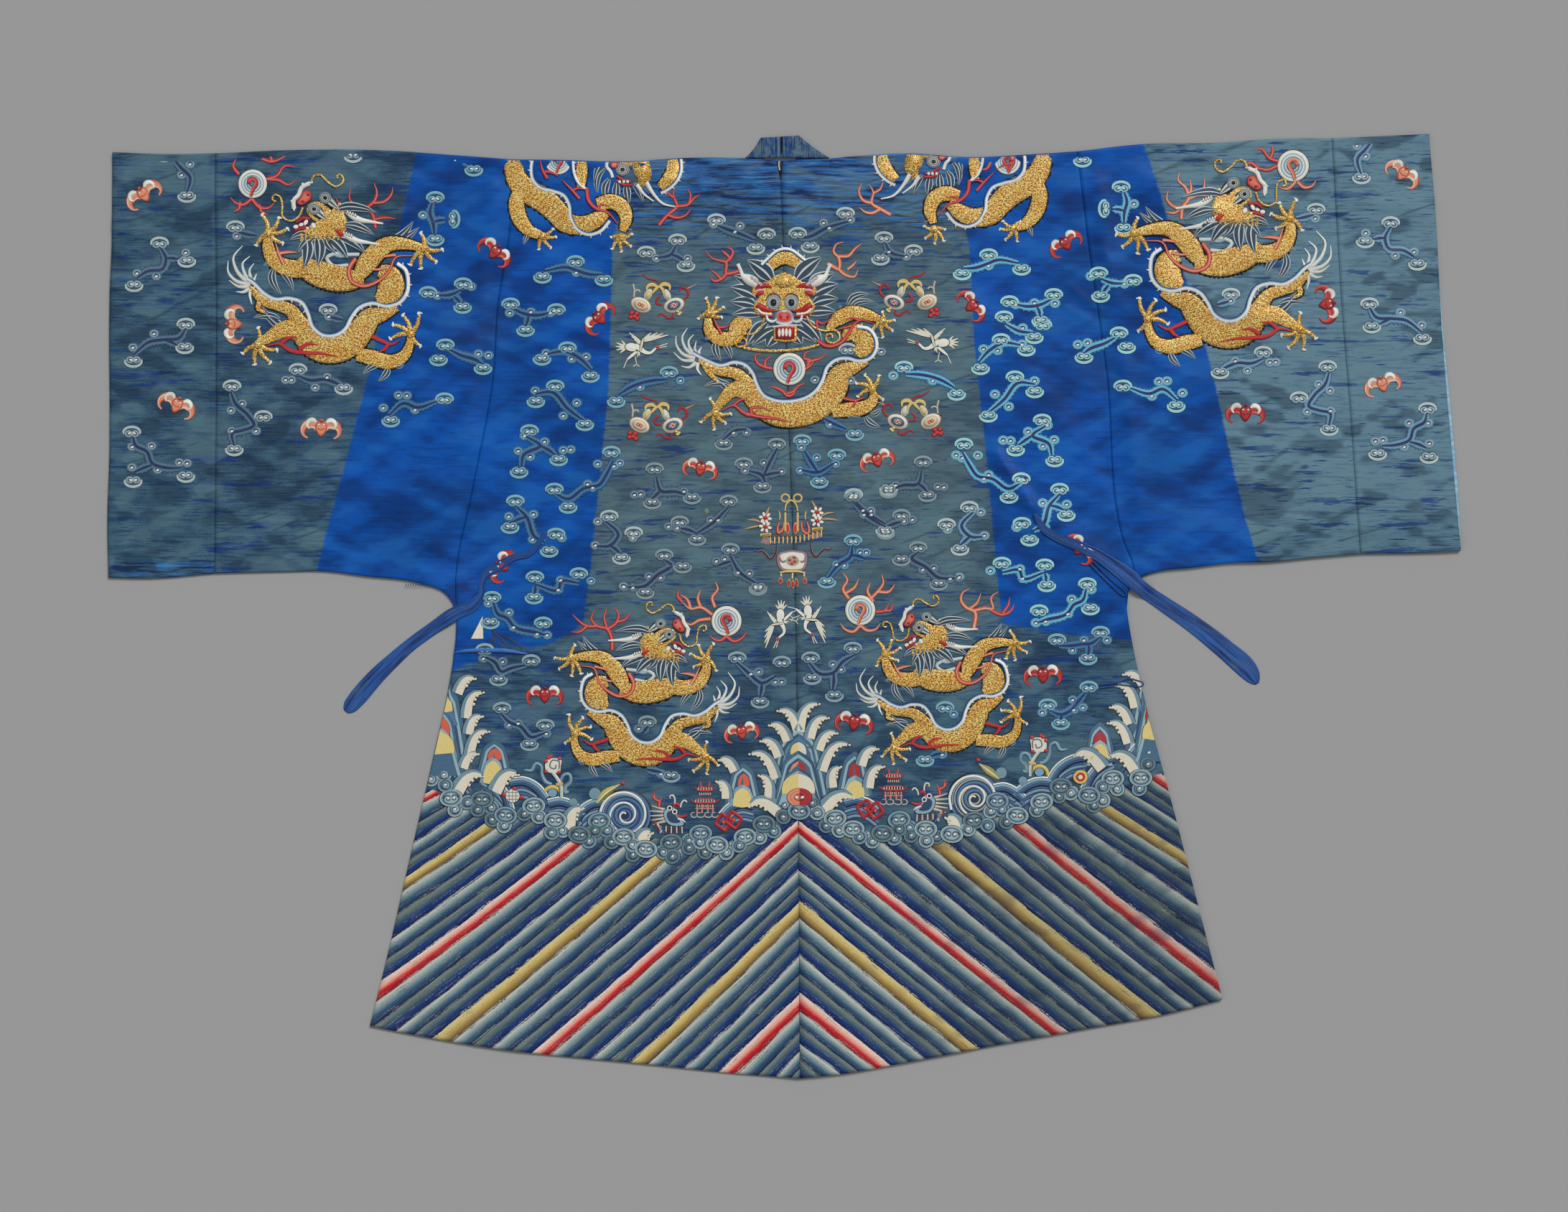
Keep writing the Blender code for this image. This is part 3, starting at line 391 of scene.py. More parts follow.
BANDS_RIGHT = ((-20, 1630, 1086, 1662, 1106, 0), (-19, 1625, 1100, 1662, 1124, 0),
    (-15, 1538, 1117, 1651, 1188, 0), (-14, 1530, 1130, 1655, 1208, 0), (-12, 1480, 1132, 1670, 1262, 1),
    (-10, 1418, 1137, 1694, 1352, 2), (-9, 1405, 1148, 1699, 1382, 2), (-7, 1360, 1156, 1640, 1385, 2),
    (-5, 1310, 1165, 1608, 1405, 2), (-4, 1298, 1180, 1585, 1416, 2), (-2, 1222, 1166, 1530, 1418, 2),
    (0, 1112, 1142, 1482, 1432, 1), (1, 1113, 1160, 1464, 1440, 1), (3, 1113, 1212, 1410, 1450, 1),
    (5, 1113, 1252, 1362, 1458, 1), (6, 1113, 1277, 1338, 1463, 1), (8, 1113, 1328, 1284, 1470, 1),
    (10, 1113, 1380, 1236, 1479, 0), (11, 1113, 1406, 1213, 1484, 0), (13, 1114, 1452, 1168, 1492, 0),
    (15, 1114, 1500, 1130, 1512, 0))


def band_number(x, y, table):
    """Reads how many bands down a sheet point lies, from the straight or bowed edges of a table.

    Between two neighbouring edges the number grows evenly with y.
    """
    edges = []
    for number, x0, y0, x1, y1, bow in table:
        t = (x - x0) / (x1 - x0)
        edges.append(y0 + (y1 - y0) * t + 4 * bow * t * (1 - t) * np.clip(1.5 - np.abs(t - 0.5), 0, 1))
    number = np.full(x.shape, float(table[0][0]))
    for low, high, below, above in zip(table[:-1], table[1:], edges[:-1], edges[1:]):
        number += (high[0] - low[0]) * np.clip((y - below) / np.maximum(above - below, 0.5), 0, 1)
    return number


def store(mesh, maps):
    """Stores a value for each point of a mesh under each name."""
    for name, values in maps.items():
        layer = mesh.attributes.new(name, "FLOAT", "POINT")
        layer.data.foreach_set("value", np.ravel(values).astype(np.float32))


def write_silk_maps(mesh):
    """Stores what the silk's finish reads at each point: fading, streaks and the hem's bands."""
    points = plan_points(mesh)
    x, y = points[:, 0] / UNIT + SHEET_X, SHEET_Y - points[:, 1] / UNIT
    faded = np.max([to_outline(x, y, outline) for outline in FADED], axis=0)
    top = np.array(BAND_TOP, float)
    below = y - np.interp(x, top[:, 0], top[:, 1])
    left = x < np.interp(-points[:, 1], -hermite(CENTRE_SEAM)[::-1, 1] * MM,
                         hermite(CENTRE_SEAM)[::-1, 0] * MM) / UNIT + SHEET_X
    number = np.where(left, band_number(x, y, BANDS_LEFT), band_number(x, y, BANDS_RIGHT))
    streaks = (0.10 + 0.62 * np.exp(-((y - 235) / 75) ** 2) * (np.abs(x - 1090) < 330)
               + 0.16 * np.exp(-((y - 880) / 70) ** 2) + 0.10 * np.exp(-((y - 235) / 60) ** 2)
               + 0.12 * np.exp(-((y - 360) / 90) ** 2) * (np.abs(x - 1100) < 300)
               + 0.22 * np.exp(-((x - 690) / 90) ** 2 - ((y - 985) / 60) ** 2)
               + 0.45 * np.exp(-((y - 792) / 16) ** 2) * (x < 300))
    store(mesh, {"faded": faded, "below_band": below, "band": number, "streaks": streaks,
                 "side": np.where(left, -1.0, 1.0)})


def add_wall(piece, thickness):
    """Gives a sheet its thickness, half to each side."""
    wall = piece.modifiers.new("wall", "SOLIDIFY")
    wall.thickness, wall.offset = thickness, 0


def silk_panel(name, grid, present=None, closed=False):
    """A silk panel over its cut: wall, finish and the flat size that it was cut to."""
    mesh = grid_mesh(name + "_silk", grid, closed, present)
    write_silk_maps(mesh)
    piece = add_piece(name + "_silk", mesh, "Robe Silk")
    add_wall(piece, bpy.context.scene.robe_cloth.silk_thickness)
    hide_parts(name)
    return piece


def sleeve_tube(name, start, end, low, high, width, front_z, raise_back=back_z, flat_end=None):
    """A flat tube: front layer on the table, fold at the top, back layer, fold at the underarm."""
    u = np.linspace(0, 1, steps(width, PITCH) + 1)
    v_back = np.linspace(1, 0, steps(SLEEVE_DEPTH, PITCH) + 1)
    v_front = np.linspace(0, 1, steps(SLEEVE_DEPTH, FRONT_PITCH) + 1)
    back = lifted(coons(start, end, low, high, u, v_back), raise_back)
    front = lifted(coons(start, end, low, high, u, v_front), front_z)
    runs_out = 1 if flat_end is None else smoothstep(np.abs(u - flat_end) * width / ARMPIT_RUN_OUT)
    near_top = smoothstep(1 - (1 - v_back) * SLEEVE_DEPTH / FOLD_REACH)[:, None]
    near_low = smoothstep(1 - v_back * SLEEVE_DEPTH / FOLD_REACH)[:, None]
    back[..., 2] += FOLD_RISE * near_top + FOLD_RISE * near_low * runs_out
    top = bend(back[0, :, :2], front[-1, :, 2], back[0, :, 2], run_out(back))
    under = bend(back[-1, :, :2], front[0, :, 2], back[-1, :, 2], run_out(back[::-1]))
    if flat_end is not None:
        under[:, -flat_end, 0] += ARMPIT_ROOM * (1 - 2 * flat_end)
    return silk_panel(name, np.concatenate([front[1:-1], top, back[1:-1], under[::-1]]),
        closed=True)


NECK_LINE_Y, NECK_DROP = 0.6613, 0.082
NECK_STEPS = 14
BODY_LENGTH, BODY_WIDTH = 1.30, 0.60


def neck_hole():
    """The neck hole's middle x and half-width on the shoulder line."""
    left, right = NECK_BACK_LEFT[0][0] * MM, NECK_BACK_RIGHT[1][0] * MM
    return (left + right) / 2, (right - left) / 2


def body_half(name, side_cut, armhole, side_shift, hem, shoulder, neck, neck_at_end, front_z):
    """Back and front of one half in one piece, folded over the shoulder and cut away at the neck."""
    side = cut_line(side_cut, armhole, shift=side_shift)
    neck_width = abs(neck[1][0] - neck[0][0])
    share = 1 - neck_width / (neck_width + abs(shoulder[-1][0] - shoulder[0][0]))
    out = np.linspace(0, share, steps(BODY_WIDTH * share, PITCH) + 1)
    turn = np.linspace(0, math.acos(1 - neck_width * MM / neck_hole()[1]), NECK_STEPS)[1:]
    u = np.concatenate([out, share + (1 - share) * (1 - np.cos(turn)) * neck_hole()[1] / (neck_width * MM)])
    centre = cut_line(CENTRE_SEAM, shift=SEAM / 2 * (-1 if neck_at_end else 1))
    if neck_at_end:
        left, right, high = side, centre, cut_line(shoulder, neck)
    else:
        u = 1 - u[::-1]
        left, right, high = centre, side, cut_line(neck, shoulder)
    v_back = np.linspace(1, 0, steps(BODY_LENGTH, PITCH) + 1)
    v_front = np.linspace(0, 1, steps(BODY_LENGTH, FRONT_PITCH) + 1)
    back = lifted(coons(left, right, hem, high, u, v_back), back_z)
    front_plan = coons(left, right, hem, high, u, v_front)
    in_neck = u > share + 1e-6 if neck_at_end else u < 1 - share - 1e-6
    top_y = front_plan[-1, :, 1].copy()
    middle, half = neck_hole()
    share_out = (front_plan[-1, :, 0] - middle) / half
    curve = NECK_LINE_Y - NECK_DROP * np.sqrt(np.clip(1 - share_out**2, 0, 1))
    front_plan[..., 1] += (np.where(in_neck, curve, top_y) - top_y) * v_front[:, None] ** 3
    front = lifted(front_plan, front_z)
    near_fold = smoothstep(1 - (1 - v_back) * BODY_LENGTH / FOLD_REACH)[:, None]
    back[..., 2] += FOLD_RISE * (~in_neck) * near_fold
    fold = bend(back[0, :, :2], front[-1, :, 2], back[0, :, 2], run_out(back))
    fold[0, in_neck] = front[-1, in_neck]
    fold[-1, in_neck] = back[0, in_neck]
    grid = np.concatenate([front[:-1], fold, back[1:]])
    present = np.ones((grid.shape[0] - 1, grid.shape[1] - 1), bool)
    present[len(front) - 1:len(front) - 1 + BEND_STEPS, in_neck[1:] | in_neck[:-1]] = False
    return silk_panel(name, grid, present=present)


class Amount:
    """A number carried by a node's socket. Each operator adds the Math node that works it out."""

    def __init__(self, finish, socket):
        self.finish, self.socket = finish, socket

    def math(self, operation, *others):
        return self.finish.node("ShaderNodeMath", {"operation": operation},
            dict(enumerate((self, *others))))

    def __add__(self, other):
        return self.math("ADD", other)

    __radd__ = __add__

    def __sub__(self, other):
        return self.math("SUBTRACT", other)

    def __rsub__(self, other):
        return self.finish.node("ShaderNodeMath", {"operation": "SUBTRACT"}, {0: other, 1: self})

    def __mul__(self, other):
        return self.math("MULTIPLY", other)

    __rmul__ = __mul__

    def __truediv__(self, other):
        return self.math("DIVIDE", other)

    def between(self, low, high):
        """0 below low, 1 above high, and an even smooth rise between them."""
        return self.finish.node("ShaderNodeMapRange", {"interpolation_type": "SMOOTHSTEP"},
                                {"Value": self, "From Min": low, "From Max": high})


class Finish:
    """A material built from expressions. Its shader is one Principled BSDF."""

    def __init__(self, name, **constants):
        self.material = bpy.data.materials.new(name)
        self.material.use_nodes = True
        self.tree = self.material.node_tree
        self.shader = self.tree.nodes["Principled BSDF"]
        self.shader.inputs["Metallic"].default_value = 0
        for socket, value in constants.items():
            self.shader.inputs[socket.replace("_", " ")].default_value = value

    def put(self, socket, value):
        """Sets a socket to a plain value or links it to another socket."""
        if isinstance(value, Amount):
            self.tree.links.new(value.socket, socket)
        elif isinstance(value, (tuple, list)) and socket.type == "RGBA":
            socket.default_value = (*value[:3], 1)
        else:
            socket.default_value = value

    def node(self, kind, settings=(), sockets=(), output=0):
        """Adds a node: its settings first, then the values or links of its sockets."""
        made = self.tree.nodes.new(kind)
        for setting, value in dict(settings).items():
            if setting == "stops":
                ramp = made.color_ramp
                while len(ramp.elements) < len(value):
                    ramp.elements.new(0.5)
                for element, (at, colour) in zip(ramp.elements, value):
                    element.position, element.color = at, (*colour, 1)
            else:
                setattr(made, setting, value)
        for socket, value in dict(sockets).items():
            self.put(made.inputs[socket], value)
        return Amount(self, made.outputs[output])

    def mix(self, amount, first, second, how="MIX"):
        """One colour over another by an amount from 0 to 1."""
        return self.node("ShaderNodeMix", {"data_type": "RGBA", "blend_type": how, "clamp_factor": True},
                         {0: amount, 6: first, 7: second}, 2)

    def over(self, colour, *layers):
        """Lays display colours over a colour, each by its own amount."""
        for amount, layer in layers:
            colour = self.mix(amount, colour, linear(layer))
        return colour

    def stored(self, name, output="Fac"):
        return self.node("ShaderNodeAttribute", {"attribute_name": name}, output=output)

    def place(self, turn=0.0, scale=(1, 1, 1)):
        """Object coordinates turned about Z and scaled."""
        at = self.node("ShaderNodeTexCoord", output="Object")
        if turn:
            at = self.node("ShaderNodeMapping", {}, {"Vector": at, "Rotation": (0, 0, turn)})
        return self.node("ShaderNodeMapping", {}, {"Vector": at, "Scale": scale})

    def noise(self, vector, scale=1.0, detail=2.0, roughness=0.5):
        return self.node("ShaderNodeTexNoise", {}, {"Vector": vector, "Scale": scale, "Detail": detail,
                                                    "Roughness": roughness})

    def vector(self, x, y, z=0.0):
        return self.node("ShaderNodeCombineXYZ", {}, {0: x, 1: y, 2: z})

    def parts(self, vector):
        return [self.node("ShaderNodeSeparateXYZ", {}, {0: vector}, k) for k in range(3)]

    def bump(self, height, strength, distance):
        return self.node("ShaderNodeBump", {}, {"Height": height, "Strength": strength,
            "Distance": distance})

    def give(self, **sockets):
        for socket, value in sockets.items():
            self.put(self.shader.inputs[socket.replace("_", " ")], value)


def linear_light(colours):
    """0..255 display colours as linear light."""
    share = np.asarray(colours, float) / 255
    return np.where(share <= 0.04045, share / 12.92, ((share + 0.055) / 1.055) ** 2.4)


def linear(colour):
    return tuple(linear_light(colour).tolist())


# Slanted bands of the hem, from their upper to their lower edge, as display colours
BAND_RED = ((244, 226, 212), (240, 168, 150), (212, 30, 38), (150, 16, 28))
BAND_YELLOW = ((226, 212, 152), (214, 188, 112), (178, 146, 76), (92, 68, 36))
BAND_BLUE = ((208, 212, 200), (128, 152, 156), (56, 94, 124), (14, 36, 78))
BAND_TEAL = ((128, 140, 132), (72, 98, 108), (24, 60, 122), (12, 30, 84))
BAND_ORDER = (BAND_RED, BAND_BLUE, BAND_TEAL, BAND_BLUE, BAND_TEAL, BAND_YELLOW, BAND_BLUE, BAND_TEAL,
    BAND_BLUE, BAND_TEAL)


def band_stops(half):
    """Stops of a ramp over five bands in a row: four shades each, evenly spaced down the band."""
    stops = []
    for k, band in enumerate(BAND_ORDER[5 * half:5 * half + 5]):
        for at, colour in zip((0.03, 0.38, 0.60, 0.95), band):
            stops.append(((k + at) / 5, linear(colour)))
    return stops


def silk_finish(cloth):
    """Satin: blue where it kept its dye, grey with level streaks where it faded, slanted bands at the hem,
    with painted shade and painted highlight on its wrinkles, painted highlights along its gathers and a
    painted sheen on the right sleeve.
    """
    silk = Finish("Robe Silk", Specular_IOR_Level=0.16)
    x, y, _ = silk.parts(silk.place())
    thread = silk.noise(silk.place(scale=(14, 900, 1)), 1.0, 3.0, 0.6)
    weave = silk.noise(silk.place(scale=(700, 900, 1)), 1.0, 1.0, 0.5)
    broad = silk.noise(silk.place(scale=(5, 7, 1)), 1.0, 3.0, 0.55)
    patchy = silk.noise(silk.place(scale=(26, 44, 1)), 1.0, 4.0, 0.6)
    wisps = silk.noise(silk.place(scale=(16, 170, 1)), 1.0, 4.0, 0.65)
    kept = silk.mix((broad * 0.6 + patchy * 0.4).between(0.38, 0.62), tuple(cloth.deep_blue),
        tuple(cloth.bright_blue))
    kept = silk.over(kept,
        (wisps.between(0.54, 0.66) * 0.25, (10, 100, 178)),
        ((0.47 - wisps).between(0.0, 0.10) * 0.38, (2, 44, 104)),
        ((thread * 0.5 + weave * 0.5).between(0.50, 0.70) * 0.22, (50, 124, 186)),
        ((0.47 - thread * 0.5 - weave * 0.5).between(0.0, 0.12) * 0.45, (4, 40, 96)))
    worn = silk.mix((patchy * 0.5 + broad * 0.5).between(0.38, 0.62), tuple(cloth.faded_grey),
        tuple(cloth.faded_teal))
    worn = silk.over(worn,
        (x.between(0.50, 0.66) * 0.70, (82, 120, 138)),
        ((thread * 0.5 + weave * 0.5).between(0.48, 0.66) * 0.36, (124, 154, 164)),
        ((0.48 - thread * 0.5 - weave * 0.5).between(0.0, 0.10) * 0.50, (30, 58, 92)),
        ((0.45 - wisps).between(0.0, 0.08) * 0.45, (26, 52, 88)))
    # A painted sheen: a lighter patch on the faded lower right sleeve.
    painted_sheen = x.between(0.48, 0.60) * y.between(0.02, 0.22)
    worn = silk.over(worn, (painted_sheen * 0.55, (116, 152, 170)))
    middle = y.between(-0.20, 0.06) * (1 - x.math("ABSOLUTE").between(0.26, 0.36))
    worn = silk.over(worn, (middle * 0.62, (94, 120, 126)))
    bold = silk.noise(silk.place(scale=(8, 80, 1)), 1.0, 4.0, 0.65)
    left_bold = (bold + silk.stored("streaks") * 0.13).between(0.595, 0.63)
    worn = silk.over(worn, (left_bold * 0.8, (16, 56, 124)))
    left_blue = (wisps + silk.stored("streaks") * 0.24).between(0.625, 0.68)
    shirred = silk.stored("streaks").between(0.16, 0.6)
    kept_dye = silk.mix(shirred, linear((10, 46, 116)), linear((30, 88, 158)))
    worn = silk.mix(left_blue * 0.85, worn, kept_dye)
    # Dark streaks, and thin painted highlights along the gathers where the silk is shirred.
    worn = silk.over(worn,
        ((0.49 - wisps).between(0.0, 0.06) * (shirred * 0.6 + 0.25), (10, 34, 84)),
        ((wisps * 0.6 + thread * 0.4).between(0.53, 0.57) * shirred * 0.7, (66, 140, 190)))
    fade = (silk.stored("faded") + (thread - 0.5) * 9 + (wisps - 0.5) * 5).between(-1.6, 1.6)
    rising = silk.noise(silk.place(0.42, (6, 34, 1)), 1.0, 1.5, 0.45)
    falling = silk.noise(silk.place(-0.55, (6, 30, 1)), 1.0, 1.5, 0.45)
    drape = rising * 0.5 + falling * 0.5
    bright = 1 - fade * 0.3
    crossing = silk.noise(silk.place(-0.35, (3.0, 22, 1)), 1.0, 0.6, 0.4)
    furrow = (1 - (crossing - 0.5).math("ABSOLUTE").between(0.0, 0.030)) * (rising * 0.5
        + broad * 0.5).between(0.50, 0.58)
    # Painted shade and painted highlight of the wrinkles on the faded silk: lighter where the drape noise is
    # high, darker where it is low, and a painted dark line along each furrow.
    worn = silk.over(worn,
        (drape.between(0.51, 0.60) * 0.34, (104, 138, 148)),
        ((0.48 - drape).between(0.0, 0.07) * (0.52 - middle * 0.24), (20, 44, 66)),
        (furrow * 0.45, (16, 36, 60)))
    # Painted shade and painted highlight of the wrinkles on the blue silk, from the same drape noise.
    kept = silk.over(kept,
        (drape.between(0.50, 0.62) * 0.40, (30, 112, 196)),
        ((0.50 - drape).between(0.0, 0.12) * 0.55, (2, 36, 96)))
    ground = silk.mix(fade, kept, worn)

    number = silk.stored("band") + (silk.noise(silk.place(scale=(28, 28, 1)), 1.0, 2.0) - 0.5) * 0.10
    side = silk.stored("side")
    across = number.math("FLOORED_MODULO", 10.0)
    slope = side * x
    grain = silk.noise(silk.vector(slope * 18 - y * 15, number * 9, side * 3), 1.0, 3.0, 0.65)
    ticks = silk.noise(silk.vector(slope * 420 - y * 360, number * 7, side * 3), 1.0, 2.0, 0.6)
    shifted = (across + (grain - 0.5) * 0.55 + (ticks - 0.5) * 0.22).math("FLOORED_MODULO", 10.0)
    upper = silk.node("ShaderNodeValToRGB", {"stops": band_stops(0)}, {"Fac": shifted / 5.0})
    lower = silk.node("ShaderNodeValToRGB", {"stops": band_stops(1)}, {"Fac": shifted / 5.0 - 1.0})
    band = silk.mix(shifted.math("GREATER_THAN", 5.0), upper, lower)
    within = number.math("FRACT")
    edge_line = 1 - within.between(0.0, 0.06) * (1 - within.between(0.95, 1.0))
    band = silk.over(band, (edge_line * 0.6, (14, 26, 60)))
    streak = grain * 0.65 + ticks * 0.35
    # Light and dark streaks and a darker right part of the bands; the last layer is painted shade of the
    # wrinkles where they cross the bands.
    band = silk.over(band,
        (streak.between(0.52, 0.66) * 0.42, (186, 192, 176)),
        ((0.48 - streak).between(0.0, 0.12) * 0.62, (14, 32, 70)),
        (x.between(0.12, 0.42) * 0.30, (34, 44, 42)),
        ((0.50 - drape).between(0.0, 0.10) * x.between(0.05, 0.30) * 0.36, (14, 30, 66)))
    stitched = silk.stored("below_band").between(-1.5, 1.5)
    colour = silk.mix(stitched, ground, band)
    soil = silk.noise(silk.place(scale=(5, 4, 1)), 1.0, 3.0, 0.6).between(0.55, 0.8) * 0.10
    colour = silk.over(colour, (soil, (96, 100, 96)))
    height = (thread * 0.5 + weave * 0.5 + drape * bright * 2.8 - furrow * 0.5
        + wisps * shirred * 1.6) + stitched * (grain * 1.0 + ticks * 0.8 - edge_line * 0.9)
    silk.give(Base_Color=colour, Roughness=0.46 + fade * 0.10 + (thread - 0.5) * 0.12,
              Normal=silk.bump(height, 0.4, 0.0006))


def floss_finish():
    """Flat silk floss: its colour is stored on the mesh, and fine threads lie side by side across it."""
    floss = Finish("Silk Floss", Specular_IOR_Level=0.55, Sheen_Weight=0.05)
    colour = floss.stored("floss", "Color")
    along = floss.stored("thread")
    grain = floss.noise(floss.vector(along * 1.6, 0.0), 1.0, 2.0, 0.7)
    wear = floss.noise(floss.place(scale=(160, 160, 160)), 1.0, 3.0, 0.6)
    shade = floss.mix((grain - 0.40).between(0.0, 0.3) * 0.20, colour, (1.0, 1.0, 0.96), "SOFT_LIGHT")
    shade = floss.mix((0.52 - grain).between(0.0, 0.2) * 0.35 + (0.5 - wear).between(0.0, 0.25) * 0.25,
        shade, (0.62, 0.62, 0.66), "MULTIPLY")
    floss.give(Base_Color=shade, Roughness=0.42 + wear * 0.2, Normal=floss.bump(grain + wear * 0.4, 0.4,
        0.0004))


def gold_finish():
    """Gold thread laid in close wavy rows and held down by tiny stitches, with glints and brown gaps."""
    gold = Finish("Couched Gold", Specular_IOR_Level=0.6)
    colour = gold.stored("floss", "Color")
    row = gold.stored("thread")
    fine = gold.noise(gold.place(scale=(640, 640, 1)), 1.0, 2.0, 0.6)
    coarse = gold.noise(gold.place(scale=(300, 340, 1)), 1.0, 2.0, 0.6)
    patchy = gold.noise(gold.place(scale=(60, 60, 1)), 1.0, 2.0, 0.6)
    glint = fine * 0.66 + coarse * 0.34
    colour = gold.over(colour, (0.60, (255, 188, 76)))
    shade = gold.mix((glint * 0.8 + patchy * 0.2).between(0.50, 0.56), colour, linear((255, 232, 138)))
    shade = gold.over(shade, ((0.493 - glint).between(0.0, 0.035) * 0.95, (106, 54, 12)))
    gap = (row / 7.0 + (coarse - 0.5) * 0.35).math("FRACT")
    sewn = row.math("ABSOLUTE").between(0.5, 1.0)
    dark = (0.30 - gap).between(0.0, 0.14) * sewn
    shade = gold.over(shade, (dark * 0.36, (92, 48, 12)))
    gold.give(Base_Color=shade, Metallic=0.20, Roughness=0.38 + (fine - 0.5) * 0.3,
              Normal=gold.bump(glint - dark * 0.35, 0.7, 0.0008))


def tie_finish():
    """Narrow silk folded lengthwise: painted shade in the folds and painted highlight on their ridges, grey
    near its end.
    """
    silk = Finish("Tie Silk", Specular_IOR_Level=0.25)
    along, across = silk.stored("along"), silk.stored("across")
    folds = silk.noise(silk.vector(along * 9, across * 2.4), 1.0, 3.0, 0.55)
    thread = silk.noise(silk.vector(along * 60, across * 30), 1.0, 3.0, 0.65)
    patchy = silk.noise(silk.vector(along * 22, across * 1.2, 4.0), 1.0, 3.0, 0.5)
    # Lighter on the folds' ridges and darker in their hollows: painted highlight and painted shade, from the
    # same noise as the folds' bumps.
    shade = silk.mix(folds.between(0.40, 0.60), linear((24, 54, 116)), linear((40, 88, 160)))
    shade = silk.over(shade,
        (patchy.between(0.52, 0.66) * 0.55, (66, 98, 136)),
        ((0.44 - folds).between(0.0, 0.10) * 0.6, (12, 26, 66)),
        (thread.between(0.52, 0.70) * 0.35, (84, 122, 168)),
        ((0.45 - thread).between(0.0, 0.12) * 0.4, (14, 30, 76)))
    silk.give(Base_Color=shade, Roughness=0.52 + (thread - 0.5) * 0.25,
              Normal=silk.bump(folds * 0.7 + thread * 0.3, 0.8, 0.0012))


def collar_finish():
    """Blue silk gathered into fine upright folds with painted shade and painted highlight, greyer in patches,
    with a painted shadow in the slit at its middle.
    """
    silk = Finish("Collar Silk", Specular_IOR_Level=0.16)
    at = silk.node("ShaderNodeTexCoord", output="Object")
    x, y, _ = silk.parts(at)
    gathers = silk.noise(silk.place(scale=(620, 36, 1)), 1.0, 3.0, 0.6)
    weave = silk.noise(silk.place(scale=(240, 900, 1)), 1.0, 2.0, 0.6)
    patchy = silk.noise(silk.place(scale=(70, 60, 1)), 1.0, 3.0, 0.55)
    crumple = silk.noise(silk.place(0.6, (90, 330, 1)), 1.0, 3.0, 0.6)
    right = x.between(0.004, 0.014)
    shade = silk.mix(patchy.between(0.42, 0.58), linear((38, 78, 134)), linear((86, 112, 126)))
    # Lighter on the gathers' ridges and darker in their hollows: painted highlight and painted shade, from
    # the same noise as their bumps.
    shade = silk.over(shade,
        (right * crumple.between(0.5, 0.6) * 0.5, (112, 134, 140)),
        (gathers.between(0.52, 0.66) * 0.5, (96, 130, 164)),
        ((0.48 - gathers).between(0.0, 0.10) * 0.75, (14, 36, 82)),
        ((0.47 - weave).between(0.0, 0.12) * 0.4, (26, 54, 100)))
    slit = (1 - (x + 0.0036).math("ABSOLUTE").between(0.0008, 0.0028)) * y.between(0.662, 0.672)
    beside = (1 - (x + 0.0120).math("ABSOLUTE").between(0.0006, 0.0016)) * 0.6
    # A painted shadow in the slit, and a dark line beside it.
    shade = silk.over(shade,
        (slit, (4, 8, 20)),
        (beside, (10, 24, 60)))
    lit = (1 - (x + 0.0078).math("ABSOLUTE").between(0.0004, 0.0016)) * 0.6
    shade = silk.over(shade, (lit, (78, 130, 186)))
    silk.give(Base_Color=shade, Roughness=0.62 + (weave - 0.5) * 0.2,
              Normal=silk.bump(gathers * 0.7 + weave * 0.3 + crumple * right, 0.7, 0.0009))


def lining_finish():
    """Thin pale blue silk, softly creased with painted shade and painted highlight, and rubbed white at its
    edge.
    """
    silk = Finish("Lining Silk", Specular_IOR_Level=0.25)
    weave = silk.noise(silk.place(scale=(800, 500, 1)), 1.0, 2.0, 0.6)
    folds = silk.noise(silk.place(scale=(60, 120, 1)), 1.0, 3.0, 0.6)
    # Painted shade and painted highlight of the soft creases, from the same noise as their bumps.
    shade = silk.mix(folds.between(0.35, 0.65), linear((120, 170, 204)), linear((168, 204, 222)))
    shade = silk.over(shade, (weave.between(0.5, 0.7) * 0.3, (206, 224, 230)))
    silk.give(Base_Color=shade, Roughness=0.6 + (weave - 0.5) * 0.2,
        Normal=silk.bump(weave * 0.4 + folds * 0.6, 0.5, 0.0008))


def stage_finish():
    """A matt grey paper floor with a faint grain."""
    floor = Finish("Floor Paper", Roughness=0.95, Specular_IOR_Level=0.2)
    grain = floor.noise(floor.place(scale=(40, 40, 40)), 1.0, 4.0, 0.6)
    floor.give(Base_Color=floor.mix(grain * 0.06, linear((166, 166, 166)), linear((160, 160, 160))))


FIELD_STEP = 0.003  # spacing of the sampled heights of the silk's upper face


class Relief:
    """Heights of the silk's upper face, sampled once on an even grid and read between its points."""

    def __init__(self):
        self.x0, self.y0 = -1.02, -0.72
        x = np.arange(self.x0, 1.03, FIELD_STEP)
        y = np.arange(self.y0, 0.73, FIELD_STEP)
        self.field = silk_top(*np.meshgrid(x, y))

    def __call__(self, x, y):
        column = np.clip((x - self.x0) / FIELD_STEP, 0, self.field.shape[1] - 1.001)
        row = np.clip((y - self.y0) / FIELD_STEP, 0, self.field.shape[0] - 1.001)
        i, j = row.astype(int), column.astype(int)
        v, u = row - i, column - j
        low = self.field[i, j] * (1 - u) + self.field[i, j + 1] * u
        high = self.field[i + 1, j] * (1 - u) + self.field[i + 1, j + 1] * u
        return low * (1 - v) + high * v


